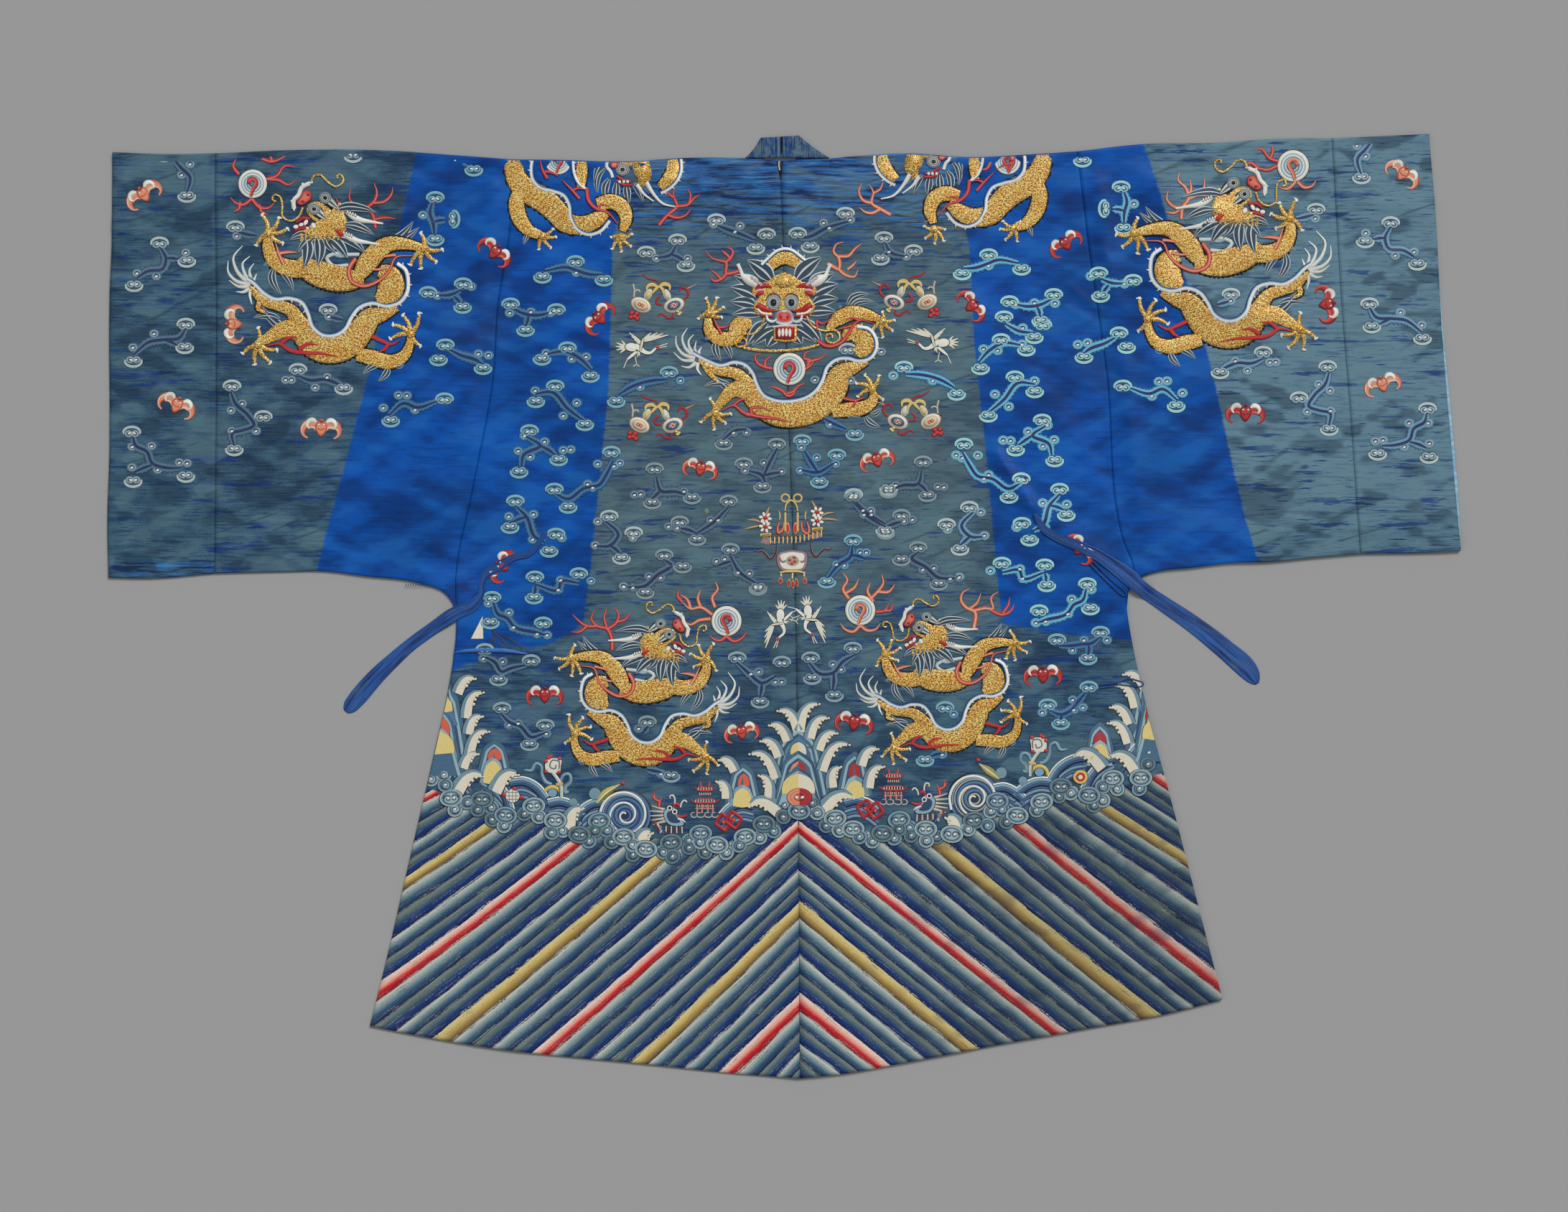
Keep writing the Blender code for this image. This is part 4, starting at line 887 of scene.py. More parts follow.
TOP_EDGE = hermite(SHOULDER_LEFT_CUFF + SHOULDER_LEFT_SLEEVE[1:] + SHOULDER_LEFT[1:] + NECK_BACK_LEFT[1:]
    + NECK_BACK_RIGHT[1:] + SHOULDER_RIGHT[1:] + SHOULDER_RIGHT_SLEEVE[1:] + SHOULDER_RIGHT_CUFF[1:],
    samples=6) * MM
EDGE_ROOM = 0.0012
ARMPIT_Y = 0.012  # the sides' upper ends, this much below and above the middle


def inside(x, y):
    """The nearest place inside the outline: across to the sides below the arms, down from the top."""
    left, right = (np.array(side).T * MM for side in (SIDE_LEFT, SIDE_RIGHT))
    low = np.where(y < -ARMPIT_Y, np.interp(y, left[1], left[0]) + EDGE_ROOM, -1.0)
    high = np.where(y < ARMPIT_Y, np.interp(y, right[1], right[0]) - EDGE_ROOM, 1.0)
    kept = np.clip(x, low, high)
    return kept, np.minimum(y, np.interp(kept, *TOP_EDGE.T) - EDGE_ROOM)


SKIRT = -0.10  # how far the edges of a motif reach below the silk's face, millimetres


class Needlework:
    """A group of embroidered motifs, gathered patch by patch and made into one mesh.

    Motifs are drawn on the sheet, x right and y down. A pose puts a motif's own drawing there:
    it is scaled, turned clockwise by an angle in degrees, and moved.
    """

    def __init__(self, name):
        self.name = name
        self.points, self.faces, self.colours, self.threads, self.kinds = [], [], [], [], []
        self.count = 0
        self.pose(0, 0)

    def pose(self, x, y, scale=1.0, turn=0.0, mirror=False, origin=(0, 0)):
        """Puts the drawing's origin at a sheet point; mirror turns the drawing left to right first."""
        c, s = scale * math.cos(math.radians(turn)), scale * math.sin(math.radians(turn))
        flip = -1 if mirror else 1
        self.frame_x = (c * flip, -s, x - c * flip * origin[0] + s * origin[1])
        self.frame_y = (s * flip, c, y - s * flip * origin[0] - c * origin[1])
        self.scale = scale

    def patch(self, x, y, lift, colour, across=None, gold=False):
        """One grid of quads. lift is in millimetres; colour is one, or one for each face or point."""
        x, y = np.broadcast_arrays(np.asarray(x, float), np.asarray(y, float))
        rows, columns = x.shape
        sheet_x = self.frame_x[0] * x + self.frame_x[1] * y + self.frame_x[2]
        sheet_y = self.frame_y[0] * x + self.frame_y[1] * y + self.frame_y[2]
        index = np.arange(rows * columns).reshape(rows, columns) + self.count
        corners = np.stack([index[:-1, :-1], index[:-1, 1:], index[1:, 1:], index[1:, :-1]], -1)
        area = ((sheet_x[1:, 1:] - sheet_x[:-1, :-1]) * (sheet_y[1:, :-1] - sheet_y[:-1, 1:])
                - (sheet_y[1:, 1:] - sheet_y[:-1, :-1]) * (sheet_x[1:, :-1] - sheet_x[:-1, 1:])).sum()
        order = [0, 1, 2, 3] if area < 0 else [3, 2, 1, 0]
        colour = np.asarray(colour, float)
        if colour.ndim == 1:
            shades = np.broadcast_to(colour, (rows - 1, columns - 1, 4, 3))
        elif colour.shape[:2] == (rows, columns):
            shades = np.stack([colour[:-1, :-1], colour[:-1, 1:], colour[1:, 1:], colour[1:, :-1]], 2)
        else:
            shades = np.broadcast_to(colour[:, :, None], (rows - 1, columns - 1, 4, 3))
        if gold and across is None:
            across = np.zeros((rows, columns))
        if across is None:
            across = np.broadcast_to(np.arange(columns, dtype=float), (rows, columns))
        thread = np.stack([across[:-1, :-1], across[:-1, 1:], across[1:, 1:], across[1:, :-1]], 2)
        self.points.append(np.dstack([sheet_x, sheet_y, np.broadcast_to(lift, x.shape)]).reshape(-1, 3))
        self.faces.append(corners[..., order].reshape(-1, 4))
        self.colours.append(shades[..., order, :].reshape(-1, 3))
        self.threads.append(thread[..., order].reshape(-1))
        self.kinds.append(np.full((rows - 1) * (columns - 1), int(gold)))
        self.count += rows * columns

    def ribbon(self, table, lanes, lift=0.4, dome=0.3, pitch=3.0, gold=False, wavy=0.0, rows=0.0):
        """A raised band along a path. table: x, y, width. lanes: how far across each colour reaches, -1 to 1.

        The band stands lift high at its edges and dome more in the middle, and its rims go down to the silk.
        """
        line = hermite(table, samples=8)
        run = run_along(line[:, :2])
        keep = np.concatenate([[True], np.diff(run) > 1e-6])
        run, line = run[keep], line[keep]
        at = np.linspace(0, run[-1], max(2, round(run[-1] * self.scale / pitch)) + 1)
        x, y, width = (np.interp(at, run, column) for column in line.T)
        ahead_x, ahead_y = np.gradient(x, at), np.gradient(y, at)
        length = np.hypot(ahead_x, ahead_y).clip(1e-9)
        across = np.array([-1.0, -1.0, *(share for share, _ in lanes), 1.0])
        shades = np.array([lanes[0][1], *(colour for _, colour in lanes), lanes[-1][1]], float)
        scallops = wavy * np.sin(at * 2.1)[:, None] * (np.abs(across) > 0.9)
        half = np.maximum(width, 0.3)[:, None] / 2 * (1 + scallops)
        side_x = ahead_y[:, None] / length[:, None] * half * across
        side_y = ahead_x[:, None] / length[:, None] * half * across
        threads = 1 + at[:, None] * self.scale + rows * (np.arange(len(across)) % 2)
        height = lift + dome * (1 - across**2)
        height[[0, -1]] = SKIRT
        self.patch(x[:, None] - side_x, y[:, None] + side_y, np.broadcast_to(height, side_x.shape),
                   np.broadcast_to(shades[None], (len(at) - 1, len(across) - 1, 3)),
                   threads * (not gold or rows > 0), gold)

    def star(self, centre, outline, rings, lift=0.4, dome=0.3, gold=False, smooth=True):
        """A filled shape seen whole from its centre. rings: how far out each colour reaches, 0 to 1."""
        outline = np.array(outline, float)
        if smooth:
            closed = np.vstack([outline[-1:], outline, outline[:2]])
            line = hermite(closed, samples=6)[6:-6]
        else:
            line = np.vstack([outline, outline[:1]])
        out = np.array([0.0, *(share for share, _ in rings), 1.0])
        shades = np.array([*(colour for _, colour in rings), rings[-1][1]], float)
        height = lift + dome * (1 - out**2)
        height[-1] = SKIRT
        x = centre[0] + (line[:, 0] - centre[0])[:, None] * out
        y = centre[1] + (line[:, 1] - centre[1])[:, None] * out
        turn = np.linspace(0, len(line), len(line))[:, None] + 0 * out
        self.patch(x, y, np.broadcast_to(height, x.shape),
                   np.broadcast_to(shades[None], (len(line) - 1, len(out) - 1, 3)),
                   turn * 3.0 * (not gold), gold)

    def disc(self, x, y, wide, high, rings, lift=0.4, dome=0.25, turn=0.0, sides=14, gold=False):
        """An oval with rings of colour: half-sizes wide and high, turned clockwise in degrees."""
        angle = np.linspace(0, 2 * math.pi, sides + 1)[:-1]
        c, s = math.cos(math.radians(turn)), math.sin(math.radians(turn))
        oval = np.column_stack([x + c * wide * np.cos(angle) - s * high * np.sin(angle),
                                y + s * wide * np.cos(angle) + c * high * np.sin(angle)])
        self.star((x, y), oval, rings, lift, dome, gold, smooth=False)

    def arc(self, x, y, wide, high, start, end, width, colour, lift=0.5, dome=0.15, taper=1.0, pitch=2.5,
            lanes=None):
        """Part of an oval ring, from one angle to another, clockwise from the right, thinning to its ends."""
        count = max(4, round(abs(end - start) / 25))
        angle = np.radians(np.linspace(start, end, count + 1))
        thin = 1 - taper * np.abs(np.linspace(-1, 1, count + 1)) ** 3 * 0.8
        self.ribbon(np.column_stack([x + wide * np.cos(angle), y + high * np.sin(angle), width * thin]),
                    lanes or ((1, colour),), lift, dome, pitch)

    def spiral(self, x, y, radius, turns, width, colour, start=0.0, lift=0.5, wind=1, inner=0.15, pitch=2.5,
               squash=1.0, gold=False):
        """A line that winds inwards from radius at the start angle."""
        share = np.linspace(0, 1, max(6, round(turns * 12)) + 1)
        angle = math.radians(start) + wind * share * turns * 2 * math.pi
        out = radius * (1 - share * (1 - inner))
        self.ribbon(np.column_stack([x + out * np.cos(angle), y + squash * out * np.sin(angle),
                                     width * (1 - 0.35 * share)]), ((1, colour),), lift, 0.1, pitch, gold)

    def line(self, points, width, colour, lift=0.6, dome=0.1, pitch=3.0, gold=False, taper=False):
        """A sewn line through points, of one width or thinning to its end."""
        points = np.array(points, float)
        size = np.full(len(points), float(width))
        if taper:
            size *= np.linspace(1, 0.25, len(points))
        self.ribbon(np.column_stack([points[:, :2], size]), ((1, colour),), lift, dome, pitch, gold)

    def finish(self, relief):
        """Makes the mesh: every point stands its lift above the silk, inside the robe's outline."""
        points = np.concatenate(self.points)
        x, y = on_sheet(points[:, 0], points[:, 1])
        kept_x, kept_y = inside(x, y)
        faces = np.concatenate(self.faces)
        kept = ~((kept_x != x) | (kept_y != y))[faces].all(axis=1)
        places = np.column_stack([kept_x, kept_y, relief(kept_x, kept_y) + points[:, 2] * MM])
        used, index = np.unique(faces[kept], return_inverse=True)
        mesh = bpy.data.meshes.new(self.name)
        mesh.from_pydata(places[used].tolist(), [], index.reshape(-1, 4).tolist())
        colours = np.concatenate(self.colours).reshape(-1, 4, 3)[kept].reshape(-1, 3)
        shades = np.ones((len(colours), 4), np.float32)
        shades[:, :3] = linear_light(colours)
        mesh.attributes.new("floss", "FLOAT_COLOR", "CORNER").data.foreach_set("color", shades.ravel())
        threads = np.concatenate(self.threads).reshape(-1, 4)[kept].ravel().astype(np.float32)
        mesh.attributes.new("thread", "FLOAT", "CORNER").data.foreach_set("value", threads)
        mesh.polygons.foreach_set("material_index", np.concatenate(self.kinds)[kept].astype(np.int32))
        mesh.shade_smooth()
        return add_piece(self.name, mesh, "Silk Floss", "Couched Gold")


WHITE = (236, 236, 224)
CREAM = (222, 218, 192)
DARK = (16, 22, 38)
NAVY = (20, 36, 84)
BLACK = (14, 16, 22)
RED = (178, 30, 34)
DEEP_RED = (140, 22, 30)
CORAL = (216, 92, 66)
SALMON = (226, 140, 110)
YELLOW = (226, 204, 128)

# Floss of the clouds: cap, inner crescent, ring, stem's bright side, stem's other side, core
CLOUD_FADED = ((172, 192, 190), (66, 100, 120), (142, 168, 174), (76, 114, 136), (50, 88, 116),
    (18, 38, 84))
CLOUD_TEAL = ((122, 178, 190), (34, 92, 128), (112, 170, 186), (52, 118, 156), (28, 84, 138), (10, 32, 94))
CLOUD_BRIGHT = ((158, 214, 212), (30, 108, 146), (142, 204, 208), (98, 184, 208), (34, 122, 182),
    (8, 28, 104))
CLOUD_DIM = ((128, 152, 158), (62, 92, 112), (112, 140, 150), (78, 112, 132), (48, 84, 120), (18, 36, 76))

CLOUD_RIGHT = ((182, 202, 198), (66, 106, 128), (150, 180, 186), (106, 154, 178), (62, 112, 154),
    (18, 40, 92))
CLOUD_LOW = ((136, 164, 174), (44, 76, 104), (110, 146, 162), (82, 120, 146), (42, 82, 122), (14, 34, 78))

STEM_WIDTH = 14.0


def cloud_head(work, x, y, way, shades):
    """A cloud's head: a pale cap over an oval of two curled rings. way is the side of the cap."""
    frame_x, frame_y = work.frame_x, work.frame_y
    ways = {"u": 0.0, "d": 180.0, "r": 90.0, "l": -90.0}
    work.pose(x, y, 1.0, ways[way])
    cap, inner, ring, *_, core = shades
    work.disc(0, 1.0, 13.6, 9.2, ((0.80, core), (0.97, inner), (1, DARK)), 0.22, 0.08, sides=18)
    work.arc(0, 1.6, 11.8, 7.6, -196, 16, 4.4, cap, 0.45, 0.30, taper=0.5,
        lanes=((-0.86, DARK), (0.8, cap), (1, DARK)))
    work.arc(0, 2.2, 8.2, 4.6, -170, -10, 1.5, inner, 0.46, 0.10, taper=0.8)
    for side in (-1, 1):
        work.disc(side * 4.5, 3.4, 5.9, 5.2, ((0.44, core), (0.56, inner), (0.93, ring), (1, core)), 0.50,
            0.30, sides=12)
    for side in (-1, 1):
        work.disc(side * 3.5, 3.0, 2.7, 1.6, ((1, WHITE),), 0.90, 0.15, turn=side * 20, sides=8)
    work.frame_x, work.frame_y = frame_x, frame_y


def cloud_curl(work, x, y, shades):
    """One curled ring round a white dot, with a crescent on one side."""
    work.pose(x, y)
    *_, ring, bright, other, core = shades
    work.disc(0, -0.6, 7.9, 7.0, ((0.40, core), (0.50, other), (0.72, ring), (0.78, core), (0.95, bright),
        (1, core)), 0.30, 0.25, sides=14)
    work.disc(-0.2, 0.2, 2.6, 1.7, ((1, WHITE),), 0.75, 0.15, turn=-20, sides=8)
    work.pose(0, 0)


def cloud_stem(work, points, shades):
    """A band with a dark core between two scalloped sides."""
    points = np.array(points, float)
    if len(points) < 3:
        points = np.array([points[0], (points[0] + points[-1]) / 2 + (0.8, -0.8), points[-1]])
    *_, bright, other, core = shades
    size = np.full(len(points), STEM_WIDTH)
    size[0] *= 0.6
    size[-1] *= 0.6
    work.pose(0, 0)
    table = np.column_stack([points, size])
    work.ribbon(table, ((-0.92, DARK), (-0.72, other), (-0.28, bright), (0.30, core), (0.72, bright),
        (0.92, other), (1, DARK)), 0.30, 0.3, pitch=2.0, wavy=0.24)


# Clouds on the left of the back and on the middle, sheet units: heads with the side of their cap
# (u up, d down, r right), curls and stems
CLOUDS_LEFT = (("f", ((230, 219, "d"), (262, 276, "d")), ((266, 230), (254, 245)),
    (((242, 221), (254, 235), (265.6, 247), (262, 271)),)),
    ("f", ((223.6, 338, "u"), (261.6, 366, "d"), (188.5, 400, "d")),
    ((192.5, 382), (219.6, 386), (260, 353)),
    (((225, 346), (232.6, 360.5), (229, 374.6), (206.6, 379), (193, 388)), ((232.6, 360.5), (249, 361.6)))),
    ("f", ((260, 451, "u"), (258.5, 486, "d"), (187, 505, "d")), ((216, 466), (186.6, 485)),
    (((260, 458), (251.5, 471), (230, 473.7), (209, 477), (188, 494)), ((230, 473.7), (247, 481)))),
    ("f", ((329, 315.6, "u"),), ((331, 330),), (((333, 324), (345, 327), (358, 329)),)),
    ("f", ((492.6, 220, "d"),), (), ()), ("f", ((458, 431, "u"),), ((459, 442),),
    (((461, 442), (469, 444), (478, 446)),)), ("f", ((416, 514, "u"), (479.6, 543, "d")),
    ((398.8, 530), (407, 530), (456.7, 526.5), (440, 540.7)),
    (((416.6, 524), (433, 530), (454, 529), (468.5, 533.6), (478, 538)),)),
    ("f", ((324.6, 537, "u"), (368, 579.6, "u"), (327.4, 628, "d")),
    ((323, 572.5), (338.8, 563), (357.6, 601), (324, 601)),
    (((323.4, 547.5), (329, 562), (346, 578), (355, 592.6), (339, 599.7), (324.6, 604), (327, 620)),)),
    ("f", ((185, 601, "u"), (186.6, 672, "d"), (260, 665, "d")), ((185.4, 623), (212.5, 622), (185, 651.6),
    (220.8, 655), (251, 645), (262, 646)),
    (((186.6, 609), (190, 620), (206.6, 630), (212.5, 644.5), (232.6, 651.6), (252, 652)),
    ((212.5, 648), (190, 657)))), ("v", ((660.5, 239, "d"),), ((635, 223.6),),
    (((640, 222), (648, 226), (656, 231)),)), ("v", ((607, 275, "u"), (634, 306, "r"), (606.7, 336, "d")),
    ((590, 301),), (((603, 283), (599.7, 296.7), (604.4, 313), (605.6, 326)), ((604, 310), (621, 307)))),
    ("v", ((597, 407, "u"), (645.7, 395, "u"), (645, 430, "d")), ((610, 413), (657.5, 400.6)),
    (((610, 412), (628, 411), (642, 405)), ((632.7, 413.5), (642, 424)))),
    ("v", ((621, 480, "u"), (611.5, 503, "d"), (673.4, 515, "d")), ((667, 494), (681, 496)),
    (((625.6, 486.7), (642, 495), (665.7, 503), (672.8, 508)),)),
    ("v", ((802, 364, "u"), (756, 388, "d"), (841.5, 392, "d")), ((803, 381),),
    (((760, 378), (793, 373.4), (802.6, 377), (823.8, 383), (839, 383)),)),
    ("v", ((711.7, 423, "u"), (775.5, 431, "u"), (732.5, 462, "d")),
    ((710.6, 437), (740, 435.5), (767, 437)), (((713, 429), (729.4, 437), (750.7, 439.5), (767, 436)),
    ((736.5, 440.7), (733, 454)))), ("v", ((790.8, 484, "u"), (755.4, 502, "d"), (822.6, 526, "d")),
    ((796.7, 500.8), (816.7, 498), (761, 493)),
    (((761, 493.8), (788.4, 490), (809.7, 500.8), (823.8, 515)),)),
    ("v", ((620, 555, "u"), (545, 588, "d")), ((534.8, 569), (556, 551.5), (567.8, 552), (579, 572)),
    (((543, 578), (564, 562), (580.8, 567.8), (609, 559.6)),)),
    ("v", ((773.8, 537, "u"), (746.7, 561, "d"), (815, 593, "d")), ((746, 545), (803.8, 562), (785, 580)),
    (((746, 549), (769.6, 546.6), (790.8, 569), (814.4, 587)),)),
    ("v", ((738, 599, "u"), (723.5, 659, "d"), (778.5, 642, "d")),
    ((731, 608), (759, 616), (722.4, 629), (739, 637), (785, 628), (795.5, 627)),
    (((733, 608), (753, 621), (729.4, 635), (727, 650)), ((753, 621), (774, 634)))),
    ("v", ((772.6, 680.5, "u"), (791.7, 708, "d"), (852, 629, "u")),
    ((819, 675), (826, 680), (833, 647), (864, 645.7), (855.7, 650)),
    (((772, 686), (790.8, 695), (814.4, 680), (835.6, 675), (845, 661), (854.5, 642)),)),
    ("v", ((718.4, 697, "u"), (711, 736, "d"), (775, 743, "u"), (765.3, 769, "d")),
    ((709.4, 720), (743.6, 717), (742.4, 752), (783, 750)),
    (((720, 706), (734, 720), (746, 748), (759, 755)), ((734, 720), (714, 727)))),
    ("v", ((745.5, 802.6, "u"), (806.6, 798, "u"), (744.3, 834, "d")),
    ((781.4, 808.5), (823.8, 809.7), (778, 822)), (((746, 814), (779, 820), (781.4, 811), (807, 812)),
    ((746, 816), (745, 827)))), ("v", ((686, 831, "u"), (757, 866.6, "u"), (683.6, 868.6, "d")),
    ((680.8, 841), (709.6, 853.6), (716, 874), (748.6, 883.5), (762.6, 885)),
    (((688, 839.5), (694, 855), (707, 861), (716, 872), (748.6, 881), (759, 884)),)),
    ("v", ((858.7, 561, "d"), (932, 518, "u")), ((892, 540), (948, 531)),
    (((862, 550), (878, 540), (893, 534), (912, 530), (930, 529)),)),
    ("f", ((849, 718, "u"), (883, 741, "u"), (865.8, 779, "d")),
    ((833, 727), (829.7, 760), (882, 750), (868.7, 817)),
    (((842, 724), (861.6, 746), (849.8, 760), (831, 761)), ((850, 760), (864, 771)))))
CLOUDS_MIDDLE = (("f", ((998, 306, "u"), (1067.7, 326, "u"), (1052.7, 348, "d")),
    ((1031, 316), (1024, 324), (994, 314)), (((1000, 315), (1010, 319), (1030, 326), (1051, 335)),)),
    ("f", ((1177.5, 297, "u"), (1111, 325, "u"), (1128.3, 346, "d")),
    ((1147, 312), (1155, 319), (1184, 308)), (((1183.6, 309), (1151, 318.8), (1126.6, 331), (1112, 333)),)),
    ("f", ((944, 334, "u"), (900.5, 351, "u"), (955.7, 372, "d")), ((914.5, 361), (958, 361)),
    (((942, 343), (935, 355), (915.7, 360)), ((935, 355), (953, 364)))),
    ("f", ((1231, 331, "u"), (1272, 349, "u"), (1226, 363, "d")), ((1262, 359), (1238, 352)),
    (((1233, 340), (1240, 352), (1260, 358)), ((1240, 352), (1229, 358)))),
    ("d", ((1008, 620, "d"),), ((1022, 603.6), (1040, 603)), (((1010, 610), (1024, 600), (1040, 598)),)),
    ("d", ((1082, 618, "u"), (1036, 645, "u"), (1062, 680, "d")), ((1038, 656), (1064, 645), (1089, 657)),
    (((1044, 656), (1062, 663), (1066, 672)), ((1062, 663), (1088, 658)),
    ((1082, 626), (1072, 645), (1064, 662)))),
    ("v", ((1117.4, 613, "u"), (1165.4, 633, "u"), (1141, 673, "d")),
    ((1116, 624), (1137.5, 638), (1164, 647), (1114.5, 656)), (((1120.5, 629), (1131, 646), (1139, 658)),
    ((1114.5, 654.5), (1139, 658), (1160.5, 646)))), ("v", ((1190.5, 607, "d"),), ((1156, 592),),
    (((1148, 583), (1160, 590), (1178, 598)),)),
    ("d", ((912, 652, "u"), (908.5, 702, "d"), (964, 695, "d")), ((884, 690), (892.7, 689), (953, 685)),
    (((914.5, 665), (920.6, 683.6), (942, 685), (958, 690)), ((920.6, 683.6), (908.5, 695)))),
    ("d", ((1015, 697, "u"), (947, 726, "u"), (971, 753, "d")), ((990, 725), (1000.6, 725), (931.5, 734),
    (943.6, 736)), (((1014, 707), (996, 726), (969, 744)), ((969, 742), (948, 736)))),
    ("d", ((925.4, 772, "u"), (951, 791, "d"), (899, 827, "d")), ((904.4, 803), (920.6, 805), (869.7, 818),
    (882, 819)), (((926.6, 780.6), (935, 786.6), (915.7, 801), (899, 816), (874.5, 818)),)),
    ("d", ((1017.5, 764, "u"), (1056, 820, "d")), ((998, 782), (1009.5, 779), (1028, 798), (1044, 799)),
    (((1017.5, 774.5), (1029.7, 796), (1054, 813)), ((1018, 782), (1000, 788)))),
    ("f", ((1189, 688, "u"), (1232, 741, "d"), (1237.4, 683, "d")), ((1202, 711.5), (1213, 712)),
    (((1192, 699), (1204, 711.5), (1233, 730)),)), ("v", ((1188, 752, "u"), (1151.6, 812, "d")),
    ((1198, 770), (1206.6, 770), (1165, 786.6), (1176, 788)),
    (((1187, 762), (1185, 774.5), (1168, 786.6), (1153, 805)), ((1186, 773), (1204, 778)))),
    ("f", ((676, 903.5, "u"), (740.4, 919, "u"), (695, 948, "d")), ((674, 917.6), (701, 922)),
    (((677, 915), (690, 922), (699, 935), (712, 930.6), (733.5, 926)),)),
    ("f", ((700, 985, "u"), (760, 1008.6, "u"), (738, 1038, "d")),
    ((709.6, 1010), (722.6, 1007.6), (761.6, 1022)),
    (((698, 993.5), (712, 1006.5), (725, 1011), (740, 1026), (759.5, 1020.6)),)),
    ("f", ((1027, 915, "u"), (1089, 921, "u"), (1058.6, 979, "d")),
    ((1046, 939), (1057, 936), (1080, 950), (1089, 950)),
    (((1027, 923), (1045, 939), (1061, 951), (1080, 941.7)), ((1061, 951), (1059, 969)))),
    ("f", ((1129, 915, "u"), (1131, 946, "d"), (1187.6, 901.5, "u"), (1162, 970, "d")),
    ((1160, 925.6), (1171.6, 932.5)), (((1127, 923), (1141.7, 938), (1160, 937), (1174, 921), (1190, 912)),
    ((1161, 937), (1160, 960)))), ("d", ((902, 1004, "u"),), ((890, 1015),), (((902, 1012), (896, 1020)),)),
    ("f", ((935, 1082, "d"),), ((921, 1078),), (((901, 1071), (910, 1073), (921, 1075)),)),
    ("d", ((1055.6, 822, "d"),), (), ()), ("f", ((1180.6, 486, "u"),), ((1227.6, 491),),
    (((1188, 492), (1206, 494), (1222, 491)),)), ("f", (), ((1185, 531), (1135, 530)), ()))
# Clouds that have a twin at the mirrored place, by their order, and the extra ones on the right
TWINS = tuple(range(25))
TWINS_MIDDLE = (8, 9, 10)
SPOTS_RIGHT = (("v", ((1471.5, 890, "u"), (1532, 879.5, "u"), (1514.6, 918.5, "d")),
    ((1509, 892), (1493, 906), (1541, 892)),
    (((1474, 899), (1492, 899), (1506, 897), (1520, 895.5), (1530, 888)), ((1516, 899), (1514.6, 912)))),
    ("v", ((1515.7, 955.7, "u"), (1458.7, 980.4, "u"), (1476.4, 1008.8, "d")),
    ((1493.4, 975), (1507.6, 985.7), (1451, 992.8), (1495, 989)),
    (((1461.5, 989.3), (1477.5, 994.6), (1489.9, 989.3), (1502.3, 975.1), (1511, 964.5)),
    ((1477.5, 994.6), (1476.4, 1003)))), ("v", ((1316, 984, "u"),), ((1328, 995),), ()),
    ("v", ((1288, 1060, "d"),), ((1312, 1051),), (((1296, 1053), (1304, 1050), (1316, 1049)),)),
    ("b", ((1398, 441, "u"), (1440, 472, "d"), (1452, 452, "u")), ((1424, 458),),
    (((1400, 452), (1420, 462), (1438, 464)),)))


TWIN_X, TWIN_Y = (2134.234, -0.96877, 0.05286), (-31.308, 0.03271, 0.98792)
LOW_CLOUDS = 880  # faded clouds below this line are duller


def twin(x, y):
    """The right-hand place of a spot on the left, over the robe's slightly leaning middle."""
    return tuple(start + by_x * x + by_y * y for start, by_x, by_y in (TWIN_X, TWIN_Y))


def sew_clouds(work, groups, mirror=False, tones=None):
    """Sews groups of tone, heads, curls and stems; tones replaces some of the tones' shades."""
    shades = {"f": CLOUD_FADED, "v": CLOUD_TEAL, "b": CLOUD_BRIGHT, "d": CLOUD_DIM}
    shades.update(tones or {})
    for tone, heads, curls, stems in groups:
        shade = CLOUD_LOW if tone == "f" and heads and heads[0][1] > LOW_CLOUDS else shades[tone]
        spot = twin if mirror else (lambda x, y: (x, y))
        for stem in stems:
            cloud_stem(work, [spot(*point) for point in stem], shade)
        for x, y in curls:
            cloud_curl(work, *spot(x, y), shade)
        for x, y, way in heads:
            if mirror:
                way = {"r": "l"}.get(way, way)
            cloud_head(work, *spot(x, y), way, shade)


RED_FLOSS = ((150, 22, 28), (196, 44, 40), (222, 120, 104))
CORAL_FLOSS = ((176, 74, 42), (214, 112, 74), (236, 176, 148))
LEAF_DARK = (34, 58, 78)
LEAF_EDGE = (204, 216, 216)
BODY_GOLD = (204, 150, 56)
SCALED_WIDTH, SCALE_ROWS = 150, 2.6  # wide gold bodies have rows of scales
SPINE_WHITE = (248, 246, 238)
SPINE_BLUE = (120, 168, 204)


def flame(work, points, width, floss=RED_FLOSS, lift=1.5):
    """A tapering tongue with a dark rim and a pale heart; points run from its root to its tip."""
    points = np.array(points, float)
    share = np.linspace(0, 1, len(points))
    size = width * (1 - share**2.2 * 0.82)
    dark, middle, pale = floss
    work.ribbon(np.column_stack([points, size]), ((-0.62, dark), (-0.15, middle), (0.35, pale),
        (0.7, middle), (1, dark)), lift, 0.25, pitch=2.6)


def coral(work, branches, width):
    """A branching coral: each branch tapers from its root to its tip."""
    for branch in branches:
        flame(work, branch, width * 1.55, lift=0.5)


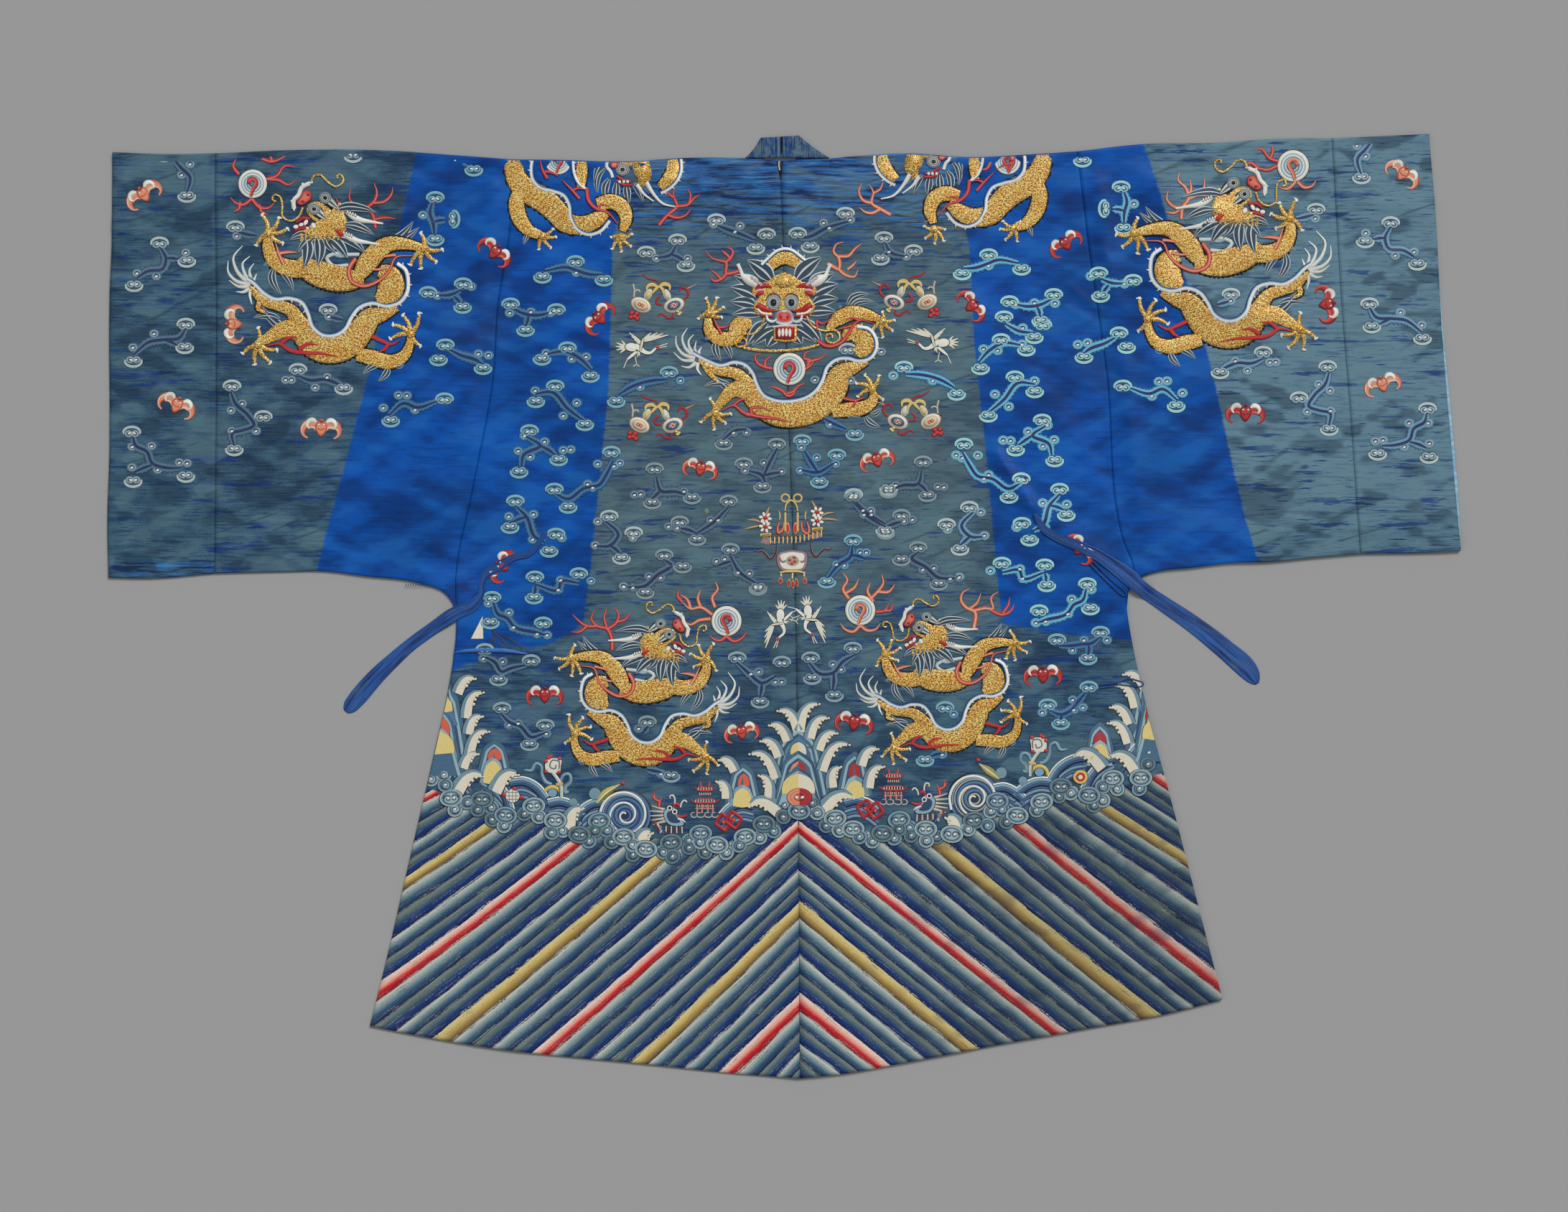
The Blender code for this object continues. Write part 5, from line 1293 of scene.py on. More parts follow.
def limb(work, table, lift=0.7, dome=0.8, rim=22, wavy=0.07):
    """A couched gold limb or body: x, y, width. A dark scalloped rim lies under it."""
    table = np.array(table, float)
    under = table.copy()
    under[:, 2] += rim
    work.ribbon(under, ((1, BLACK),), lift - 0.35, 0.1, pitch=2.6, wavy=wavy)
    # The lanes are darker at the edges and lightest just past the middle: painted shade and painted highlight
    # of the rounded body.
    lanes = ((-0.80, (176, 118, 38)), (-0.50, BODY_GOLD), (-0.15, (214, 160, 62)), (0.20, (222, 170, 70)),
             (0.55, (212, 158, 60)), (0.82, BODY_GOLD), (1, (172, 114, 36)))
    rows = SCALE_ROWS if table[:, 2].max() > SCALED_WIDTH else 0.0
    work.ribbon(table, lanes, lift, dome, pitch=2.8, gold=True, rows=rows)


def paw(work, centre, toes):
    """Five gold toes that end in white nails, round a palm."""
    lift, width = 1.0, 30
    cx, cy = centre
    for x, y in toes:
        away = np.array([x - cx, y - cy])
        side = np.array([-away[1], away[0]]) * 0.10
        middle = np.array([cx, cy]) + away * 0.55 + side
        end = np.array([cx, cy]) + away
        work.ribbon(((cx, cy, width * 1.25), (*middle, width), (*end, width * 0.72)),
                    ((1, (206, 154, 58)),), lift, 0.35, pitch=2.5, gold=True)
        tip = end + away / np.linalg.norm(away) * 20 + side * 1.2
        work.ribbon(((*(end - side * 0.6), width * 0.75), (*((end + tip) / 2 - side * 1.2), width * 0.8),
                     (*tip, 5)), ((1, WHITE),), lift + 0.3, 0.2, pitch=2.5)
    work.disc(cx, cy, width * 1.1, width * 1.1, ((1, (210, 158, 60)),), lift + 0.25, 0.5, gold=True)


def tuft(work, root, tip, width, bow, lift=0.45):
    """A leaf-shaped lock of hair: dark, with a pale outline and a pale midline."""
    root, tip = np.array(root, float), np.array(tip, float)
    run = tip - root
    side = np.array([-run[1], run[0]]) * bow
    table = [(*root, width * 0.45), (*(root + run * 0.3 + side * 0.8), width),
        (*(root + run * 0.65 + side * 0.7), width * 0.8), (*tip, width * 0.10)]
    work.ribbon(table, ((-0.80, LEAF_EDGE), (-0.12, LEAF_DARK), (0.12, LEAF_EDGE), (0.80, LEAF_DARK),
        (1, LEAF_EDGE)), lift, 0.2, pitch=3.2)


def thorns(work, points, side, every):
    """Small white thorns along one side of a line."""
    size, width = 34, 15
    line = hermite(points, samples=8)
    run = run_along(line)
    for at in np.arange(every * 0.6, run[-1] - every * 0.3, every):
        x, y = (np.interp(at, run, column) for column in line.T)
        ahead = np.array([np.interp(at + 5, run, column) for column in line.T]) - (x, y)
        ahead /= max(np.linalg.norm(ahead), 1e-9)
        out = np.array([-ahead[1], ahead[0]]) * side
        tip = np.array([x, y]) + out * size - ahead * size * 0.35
        work.ribbon(((x, y, width), (*((np.array([x, y]) + tip) / 2), width * 0.7), (*tip, 3)),
            ((1, WHITE),), 1.5, 0.1, pitch=3)


def spine(work, points, side, width=26, every=74):
    """The white line along a dragon's back, blue inside, with thorns."""
    table = np.column_stack([np.array(points, float), np.full(len(points), 1.35 * width)])
    lanes = ((0.15, SPINE_WHITE), (0.60, SPINE_BLUE), (1, NAVY))
    if side > 0:
        lanes = ((-0.60, NAVY), (-0.15, SPINE_BLUE), (1, SPINE_WHITE))
    work.ribbon(table, lanes, 1.35, 0.3, pitch=2.8)
    thorns(work, points, side, every)


# A dragon seen from its side, facing left, in its own drawing units
SIDE_REAR = ((1290, 905, 40), (1200, 965, 90), (1110, 1010, 150), (1062, 1100, 176), (1010, 1200, 190),
    (900, 1280, 200), (780, 1292, 196), (680, 1240, 176), (600, 1140, 128), (530, 1064, 92),
    (420, 1042, 80), (320, 1030, 70), (250, 985, 50), (200, 942, 20))
SIDE_BACK = ((1110, 660, 90), (1190, 682, 150), (1216, 760, 190), (1170, 850, 150), (1130, 880, 70))
SIDE_CHEST = ((520, 680, 70), (600, 740, 160), (720, 768, 190), (850, 772, 180), (950, 760, 130),
    (1010, 745, 70))
SIDE_ARM_LEFT = ((580, 748, 130), (440, 762, 124), (335, 722, 104), (282, 640, 84), (266, 560, 56))
SIDE_ARM_RIGHT = ((960, 750, 70), (1000, 650, 134), (1056, 545, 140), (1136, 462, 112), (1260, 436, 82),
    (1380, 440, 54))
SIDE_LEG_LEFT = ((640, 1200, 150), (510, 1205, 124), (425, 1270, 90), (352, 1335, 54))
SIDE_LEG_RIGHT = ((1060, 1290, 90), (1180, 1292, 112), (1300, 1300, 104), (1394, 1240, 82),
    (1424, 1140, 60), (1418, 1080, 48))
SIDE_SPINE = ((1225, 590), (1290, 622), (1325, 700), (1330, 790), (1290, 862), (1210, 902), (1100, 900),
    (1010, 952), (965, 1040), (940, 1120), (880, 1178), (790, 1194), (710, 1150), (660, 1060), (600, 990),
    (500, 975), (400, 1000), (310, 970), (230, 915), (175, 890))
SIDE_TAIL = (((205, 930), (90, 850), (48, 760), (98, 664)),
    ((210, 925), (150, 860), (122, 790), (165, 728)), ((215, 920), (192, 870), (180, 830), (203, 774)),
    ((222, 925), (226, 890), (236, 846)), ((200, 935), (90, 920), (30, 870), (14, 790)),
    ((200, 945), (120, 960), (46, 928)), ((210, 950), (160, 995), (112, 1000)),
    ((215, 945), (215, 1010), (242, 1070)))
SIDE_PAWS = (((265, 540), ((207, 425), (322, 428), (388, 492), (370, 592), (200, 632))),
    ((1400, 440), ((1362, 345), (1520, 432), (1492, 518), (1400, 578), (1326, 566))),
    ((340, 1350), ((324, 1240), (248, 1424), (340, 1484), (440, 1456), (470, 1366))),
    ((1415, 1072), ((1345, 955), (1452, 925), (1492, 1140), (1290, 1030), (1288, 1126))))
SIDE_TUFTS = (((1130, 430), (1285, 265), 60, 0.16), ((1150, 440), (1335, 300), 56, 0.12),
    ((350, 780), (440, 962), 56, 0.2), ((390, 790), (518, 918), 52, -0.14),
    ((350, 770), (270, 780), 40, 0.3), ((600, 1170), (310, 1068), 66, -0.22),
    ((460, 1140), (270, 1162), 50, 0.12), ((1240, 1330), (1128, 1420), 50, 0.14),
    ((1300, 1335), (1248, 1452), 50, -0.14), ((1350, 1310), (1405, 1290), 44, 0.3))
SIDE_MANE = (((700, 290), (1015, 250), 64, -0.12), ((800, 380), (1022, 412), 60, -0.10),
    ((560, 510), (432, 560), 56, 0.2), ((540, 520), (566, 742), 84, -0.10),
    ((620, 500), (662, 704), 84, -0.10), ((700, 490), (866, 614), 80, -0.10),
    ((760, 470), (985, 552), 74, -0.12), ((600, 505), (505, 640), 60, 0.10),
    ((680, 495), (770, 590), 56, 0.1))
SIDE_FLAMES = (((925, 605), (892, 690), (920, 768), (1010, 792), (1105, 745), (1180, 650), (1208, 548),
    (1340, 508)), ((1208, 528), (1150, 545), (1098, 572)), ((1160, 630), (1100, 655), (1030, 668)))
SIDE_RED = (((640, 1355), (560, 1345), (500, 1318), (400, 1350)), ((505, 1310), (545, 1265), (606, 1245)),
    ((600, 1352), (700, 1345), (800, 1330), (925, 1330)), ((640, 1330), (690, 1282), (770, 1272)),
    ((1140, 1140), (1220, 1160), (1290, 1172), (1352, 1128)), ((1270, 1175), (1250, 1215), (1212, 1244)))
SIDE_CORAL = (((415, 740), (372, 680), (330, 600)), ((375, 668), (430, 650), (500, 640)))


def side_face(work):
    """The dragon's head from its side: brow, ringed eyes, snout, lips, teeth, horns, whiskers and ear."""
    for root, tip, width, bow in SIDE_MANE:
        tuft(work, root, tip, width, bow, 1.7)
    for y0, y1 in ((288, 325), (440, 478)):
        work.ribbon(((795, y0, 22), (860, y0 + 26, 44), (900, y1 - 2, 40), (990, y1 - 2, 22),
            (1075, y1 - 4, 12)), ((1, WHITE),), 1.9, 0.4)
        for k in range(4):
            work.disc(805 + 20 * k, y0 - 6 + 4 * k, 8, 17, ((0.7, WHITE), (1, DARK)), 2.3, 0.2, turn=-12)
    work.line(((500, 128), (444, 170), (430, 230), (404, 270), (416, 332)), 30, WHITE, 1.5, 0.3)
    for x, y, tx, ty in ((490, 130, 520, 118), (448, 165, 445, 135), (420, 250, 385, 285),
            (412, 310, 420, 345)):
        work.line(((x, y), (tx, ty)), 14, WHITE, 1.6)
    for x, y, dx in ((455, 420, 0), (470, 470, 10)):
        work.ribbon(((452 + dx, y + 10, 14), (492 + dx, y - 32 + dx, 26), (545, y - 36 + 2 * dx, 20)),
                    ((1, (176, 34, 30)),), 1.7, 0.2)
    work.star((650, 350), ((512, 290), (560, 252), (640, 262), (702, 300), (722, 262), (738, 222),
        (775, 290), (812, 350), (818, 410), (788, 462), (700, 484), (622, 520), (500, 530), (470, 506),
        (560, 462), (628, 432), (596, 400), (545, 372), (508, 330)),
        ((0.88, (212, 160, 62)), (1, (120, 78, 30))), 1.5, 0.9, gold=True)
    for k in range(9):
        x = 500 + 33 * k
        work.ribbon(((x, 500 - 5 * k, 24), (x + 12, 536 - 6 * k, 16), (x + 4, 556 - 7 * k, 5)),
                    ((1, (214, 164, 70)),), 2.0, 0.2, gold=True)
    for x, y, reach in ((627, 214, 46), (562, 308, 46)):
        work.ribbon(((x, y, 84), (x + 60, y + 34, 70), (x + 106, y + 60, 20)),
            ((-0.7, DARK), (-0.2, (196, 202, 196)), (0.1, DARK), (0.5, (196, 202, 196)), (1, DARK)), 2.1,
            0.3)
        work.disc(x, y, reach, reach * 0.9, ((0.36, BLACK), (0.50, (206, 206, 196)), (0.62, BLACK),
            (0.76, (186, 196, 196)), (0.88, BLACK), (1, (150, 164, 170))), 2.5, 0.3, sides=18)
        work.disc(x - 4, y - 3, 12, 12, ((1, BLACK),), 2.9, 0.1)
    work.star((482, 240), ((470, 186), (506, 184), (528, 236), (500, 272), (452, 300), (430, 290),
        (446, 240)), ((0.55, (222, 112, 92)), (0.86, (206, 76, 60)), (1, (150, 30, 30))), 2.2, 0.7)
    work.disc(470, 268, 12, 10, ((1, (150, 24, 26)),), 2.8, 0.1)
    work.disc(500, 214, 12, 9, ((1, (150, 24, 26)),), 2.8, 0.1)
    for x, y, w, h, turn in ((455, 458, 22, 16, -20), (490, 436, 20, 14, -30), (520, 414, 16, 26, 20),
                             (580, 426, 18, 26, -40), (540, 452, 14, 10, 0)):
        work.disc(x, y, w, h, ((0.86, WHITE), (1, (120, 40, 40))), 2.3, 0.3, turn=turn, sides=10)
    work.line(((450, 488), (500, 462), (556, 446)), 18, (170, 30, 28), 2.3, 0.2)
    work.spiral(768, 396, 34, 1.3, 15, (216, 170, 78), start=120, lift=2.3, gold=True)
    work.disc(768, 400, 30, 26, ((0.4, (90, 60, 26)), (1, (204, 154, 60))), 2.1, 0.2, gold=True)
    work.star((780, 440), ((735, 430), (775, 425), (806, 450), (790, 472), (760, 450)),
        ((1, (200, 40, 36)),), 2.4, 0.2)
    gold_line = (206, 160, 70)
    work.line(((478, 308), (462, 380), (405, 424), (345, 402), (330, 330), (300, 264), (256, 258),
        (254, 300), (280, 302)), 14, gold_line, 2.0, 0.3, gold=True)
    work.line(((506, 122), (518, 74), (556, 56), (620, 94), (690, 120), (732, 84), (722, 34), (684, 30),
        (690, 58)), 14, gold_line, 1.6, 0.3, gold=True)


def side_dragon(work):
    """A whole dragon from its side. It lies in layers: rear, back, chest, limbs, ribbons, head."""
    for root, tip, width, bow in SIDE_TUFTS:
        tuft(work, root, tip, width, bow)
    work.line(((945, 572), (860, 588), (765, 600), (716, 640), (760, 682), (880, 664)), 26, (206, 214, 208),
        0.7, 0.3)
    work.line(((850, 600), (800, 614), (765, 606)), 20, (150, 176, 192), 1.0, 0.2)
    for path in SIDE_TAIL:
        points = np.array(path, float)
        size = np.linspace(36, 6, len(points))
        work.ribbon(np.column_stack([points, size]), ((0.55, WHITE), (1, (150, 172, 182))), 0.7, 0.2,
            pitch=2.6)
    limb(work, SIDE_LEG_RIGHT, 0.5, 0.7)
    limb(work, SIDE_ARM_LEFT, 0.5, 0.7)
    limb(work, SIDE_REAR, 0.6, 0.9, wavy=0.08)
    limb(work, ((300, 1040, 50), (290, 1090, 34), (350, 1114, 14)), 0.9, 0.3)
    limb(work, SIDE_BACK, 0.8, 0.9)
    limb(work, SIDE_LEG_LEFT, 0.9, 0.7, rim=0)
    limb(work, SIDE_CHEST, 0.9, 0.9, wavy=0.08)
    limb(work, SIDE_ARM_RIGHT, 1.1, 0.8)
    spine(work, SIDE_SPINE, -1)
    for centre, toes in SIDE_PAWS:
        paw(work, centre, toes)
    for k, path in enumerate(SIDE_FLAMES):
        flame(work, path, 34 if k == 0 else 24, CORAL_FLOSS if k else ((170, 38, 30), (206, 84, 58),
            (232, 150, 120)), 2.0)
    for path in SIDE_RED:
        flame(work, path, 30, ((160, 20, 26), (186, 26, 30), (200, 40, 40)), 1.8)
    for path in SIDE_CORAL:
        flame(work, path, 30, CORAL_FLOSS, 1.8)
    side_face(work)


# The dragon in the middle of the back, seen with its face to the front, in its own drawing units
FRONT_REAR = ((1360, 972, 30), (1260, 1010, 90), (1140, 1066, 160), (1104, 1160, 196), (1036, 1262, 210),
    (920, 1340, 216), (780, 1378, 214), (640, 1370, 206), (520, 1310, 184), (432, 1220, 150),
    (386, 1120, 110), (310, 1056, 90), (200, 1040, 80), (100, 1008, 60), (20, 950, 26))
FRONT_BACK = ((1170, 780, 60), (1215, 745, 130), (1310, 760, 160), (1338, 830, 160), (1270, 910, 90))
FRONT_LEG_LEFT = ((420, 1190, 160), (290, 1190, 120), (210, 1270, 84), (150, 1350, 50))
FRONT_LEG_RIGHT = ((1080, 1370, 80), (1200, 1345, 112), (1330, 1328, 104), (1402, 1270, 80),
    (1400, 1195, 46))
FRONT_ARM_LEFT = ((440, 660, 60), (350, 680, 150), (300, 770, 120), (180, 780, 112), (106, 720, 92),
    (92, 620, 54))
FRONT_ARM_RIGHT = ((1040, 710, 44), (1120, 630, 110), (1230, 580, 116), (1340, 590, 92), (1450, 628, 56))
FRONT_SPINE = ((1275, 690), (1370, 712), (1418, 780), (1424, 860), (1378, 934), (1290, 958), (1200, 936),
    (1110, 946), (1036, 1006), (998, 1110), (948, 1190), (870, 1246), (750, 1276), (620, 1268), (532, 1226),
    (486, 1150), (448, 1052), (392, 990), (310, 966), (190, 992), (90, 956), (-30, 892))
FRONT_PAWS = (((96, 582), ((82, 472), (162, 470), (206, 540), (190, 612), (26, 618))),
    ((1478, 642), ((1478, 580), (1560, 640), (1545, 712), (1476, 760), (1398, 718))),
    ((150, 1370), ((116, 1268), (46, 1436), (142, 1490), (222, 1446), (262, 1380))),
    ((1394, 1180), ((1344, 1080), (1446, 1088), (1470, 1260), (1278, 1138), (1290, 1236))))
FRONT_TUFTS = (((1220, 540), (1130, 520), 50, -0.4), ((1200, 520), (1372, 430), 56, -0.22),
    ((1230, 530), (1410, 492), 50, -0.16), ((160, 800), (196, 962), 60, 0.16),
    ((200, 810), (280, 944), 54, -0.14), ((110, 780), (70, 790), 40, 0.3),
    ((400, 1180), (140, 1072), 70, -0.2), ((270, 1150), (56, 1160), 50, 0.12),
    ((1300, 1400), (1200, 1410), 50, 0.3), ((1340, 1400), (1462, 1484), 56, 0.16),
    ((1380, 1380), (1466, 1330), 46, 0.2))
FRONT_LEAVES = ((600, 320, 404, 160, 130), (500, 390, 298, 284, 112), (470, 450, 268, 374, 108),
    (470, 520, 268, 490, 96), (510, 590, 286, 592, 90), (560, 650, 400, 838, 100),
    (640, 740, 560, 850, 110), (640, 700, 440, 840, 84))
FRONT_TAIL = (((-10, 930), (-90, 850), (-110, 770), (-70, 700)),
    ((0, 920), (-50, 860), (-60, 800), (-20, 750)), ((10, 915), (-10, 870), (0, 800)),
    ((20, 915), (24, 880), (44, 850)), ((-10, 940), (-110, 900), (-160, 820), (-160, 760)),
    ((-15, 955), (-110, 950), (-180, 890)), ((0, 970), (-60, 1010), (-120, 1000)),
    ((10, 970), (10, 1030), (40, 1070)))


def front_face(work):
    """The front-facing head: leafy mane, skull, ringed eyes, ears, cheeks, snout, mouth, horns, whiskers."""
    middle = 697.0

    def both(points):
        points = np.array(points, float)
        other = points.copy()
        other[:, 0] = 2 * middle - other[:, 0]
        return points, other

    for x0, y0, x1, y1, width in FRONT_LEAVES:
        tuft(work, (x0, y0), (x1, y1), width, 0.08, 1.2)
        tuft(work, (2 * middle - x0, y0 - 10), (2 * middle - x1, y1 - 22), width, -0.08, 1.2)
    for points in both(((520, 372, 20), (470, 346, 66), (400, 306, 70), (372, 290, 40), (352, 240, 26),
            (328, 190, 30))):
        work.ribbon(points, ((1, WHITE),), 1.9, 0.4)
    for x, y in ((510, 350), (488, 334), (466, 318), (444, 302)):
        for sx in (x, 2 * middle - x):
            work.disc(sx, y, 12, 20, ((0.62, (150, 170, 176)), (0.8, WHITE), (1, (160, 30, 34))), 2.4, 0.2,
                      turn=-40 if sx < middle else 40, sides=10)
    half = ((697, 258), (640, 278), (570, 322), (500, 352), (448, 376), (446, 430), (500, 452), (462, 500),
        (458, 560), (508, 604), (570, 592), (620, 566), (697, 556))
    outline = list(half) + [(2 * middle - x, y) for x, y in half[-2:0:-1]]
    work.star((697, 450), outline, ((0.93, (222, 172, 66)), (1, (150, 100, 36))), 1.6, 1.1, gold=True)
    work.star((697, 330), ((697, 262), (640, 300), (620, 350), (697, 384), (774, 350), (754, 300)),
              ((1, (228, 180, 74)),), 2.5, 0.5, gold=True)
    for stroke, lanes, lift, dome in ((((470, 400, 16), (500, 372, 44), (550, 362, 36), (600, 376, 12)),
            ((1, (176, 24, 28)),), 2.4, 0.3), (((462, 412, 10), (490, 400, 20), (540, 398, 16)),
            ((1, (226, 168, 168)),), 2.7, 0.2), (((470, 436, 12), (500, 428, 34), (535, 414, 14)),
            ((1, (176, 24, 28)),), 2.5, 0.3),
            (((482, 510, 40), (506, 530, 56), (560, 556, 34), (622, 562, 12)), ((1, (180, 22, 26)),), 2.5,
            0.3), (((484, 546, 14), (520, 580, 22), (600, 590, 14)), ((1, WHITE),), 2.7, 0.2),
            (((498, 582, 12), (540, 600, 22), (612, 604, 12)), ((1, (190, 36, 36)),), 2.7, 0.2),
            (((556, 596, 14), (566, 634, 24), (612, 648, 20), (640, 630, 14)),
            ((0.3, WHITE), (1, (160, 190, 206))), 2.8, 0.3)):
        for points in both(stroke):
            work.ribbon(points, lanes, lift, dome)
    for x in (612, 2 * middle - 640):
        work.disc(x, 494, 56, 58, ((0.46, BLACK), (0.56, (206, 212, 210)), (0.64, (40, 64, 90)),
            (0.74, (196, 208, 210)), (0.84, (40, 64, 90)), (0.93, (188, 202, 206)), (1, (40, 60, 80))), 2.5,
            0.5, sides=20)
        work.disc(x, 500, 25, 26, ((1, (20, 16, 16)),), 3.1, 0.2)
        work.arc(x, 490, 60, 64, -170, -10, 9, (30, 50, 80), 2.9)
    work.star((697, 620), ((632, 590), (660, 560), (697, 548), (740, 560), (766, 590), (768, 660),
        (740, 676), (655, 676), (628, 660)), ((0.84, (214, 222, 222)), (1, (120, 158, 186))), 2.6, 0.4)
    work.star((697, 606), ((640, 585), (664, 566), (697, 572), (730, 566), (756, 585), (752, 640),
        (697, 654), (644, 640)), ((0.5, (226, 96, 84)), (0.8, (206, 52, 48)), (1, (222, 130, 120))), 3.1,
        0.6)
    for x in (672, 722):
        work.disc(x, 612, 9, 14, ((1, (150, 20, 24)),), 3.7, 0.1)
    work.star((704, 742), ((610, 684), (704, 680), (800, 684), (798, 800), (704, 812), (612, 800)),
              ((0.80, (176, 28, 26)), (1, (214, 166, 66))), 2.4, 0.3, gold=True, smooth=False)
    work.star((703, 738), ((626, 694), (703, 690), (780, 694), (778, 786), (703, 794), (628, 786)),
        ((1, (170, 22, 26)),), 2.7, 0.2, smooth=False)
    for k, x in enumerate((658, 686, 714, 742)):
        work.disc(x, 734 + (k in (0, 3)) * 4, 12.5, 36, ((0.8, WHITE), (1, (190, 176, 170))), 3.0, 0.3,
            sides=12)
    work.line(((606, 690), (700, 680), (800, 678)), 15, (232, 214, 214), 3.0, 0.2)
    gold_line = (212, 162, 66)
    work.line(((540, 618), (500, 712), (440, 748), (350, 746), (300, 790), (330, 846), (398, 828),
        (384, 780), (344, 790), (350, 818)), 15, gold_line, 2.4, 0.3, gold=True)
    work.line(((868, 596), (930, 690), (1020, 722), (1110, 720), (1140, 772), (1090, 818), (1030, 796),
        (1034, 752), (1076, 752), (1080, 780)), 15, gold_line, 2.4, 0.3, gold=True)
    work.line(((372, 856), (480, 872), (700, 878), (880, 856), (975, 832)), 22, gold_line, 2.2, 0.4,
        gold=True)


def front_dragon(work):
    """The whole dragon with the front face: arch of its back over the head, coil of its body below."""
    for root, tip, width, bow in FRONT_TUFTS:
        tuft(work, root, tip, width, bow)
    for path in FRONT_TAIL:
        points = np.array(path, float)
        work.ribbon(np.column_stack([points, np.linspace(36, 6, len(points))]),
                    ((0.55, WHITE), (1, (150, 172, 182))), 0.7, 0.2, pitch=2.6)
    limb(work, ((570, 214, 90), (640, 158, 104), (700, 142, 104), (766, 160, 104), (836, 200, 80)), 0.5,
        0.6)
    spine(work, ((520, 200), (580, 140), (650, 86), (700, 74), (756, 84), (810, 122), (862, 164)), -1, 22,
        60)
    limb(work, FRONT_LEG_RIGHT, 0.5, 0.7)
    limb(work, FRONT_ARM_LEFT, 0.6, 0.7)
    limb(work, FRONT_REAR, 0.6, 1.0, wavy=0.04)
    limb(work, ((70, 990, 60), (110, 1060, 44), (176, 1130, 12)), 0.9, 0.3, rim=8)
    limb(work, FRONT_BACK, 0.8, 0.8)
    limb(work, FRONT_LEG_LEFT, 0.9, 0.7, rim=0)
    limb(work, FRONT_ARM_RIGHT, 1.1, 0.8)
    spine(work, FRONT_SPINE, -1)
    for centre, toes in FRONT_PAWS:
        paw(work, centre, toes)
    red = ((160, 20, 26), (190, 34, 34), (222, 110, 100))
    for path, width in ((((960, 798), (1040, 842), (1140, 818), (1210, 740), (1250, 670), (1292, 640),
            (1410, 662)), 32), (((1292, 640), (1240, 618), (1186, 628)), 24),
            (((1230, 684), (1180, 696), (1126, 712)), 22), (((200, 742), (165, 680), (135, 612)), 26),
            (((172, 690), (220, 692), (262, 680)), 24),
            (((420, 1392), (360, 1360), (300, 1312), (206, 1352)), 28),
            (((300, 1306), (350, 1268), (404, 1268)), 24),
            (((400, 1376), (500, 1400), (600, 1412), (735, 1440)), 34),
            (((440, 1380), (430, 1340), (500, 1326), (592, 1354)), 26),
            (((1170, 1256), (1262, 1272), (1340, 1246)), 26), (((1270, 1270), (1250, 1305), (1218, 1332)),
            24), (((964, 712), (956, 640), (990, 664), (1090, 600)), 24)):
        flame(work, path, width, red, 2.0)
    front_face(work)


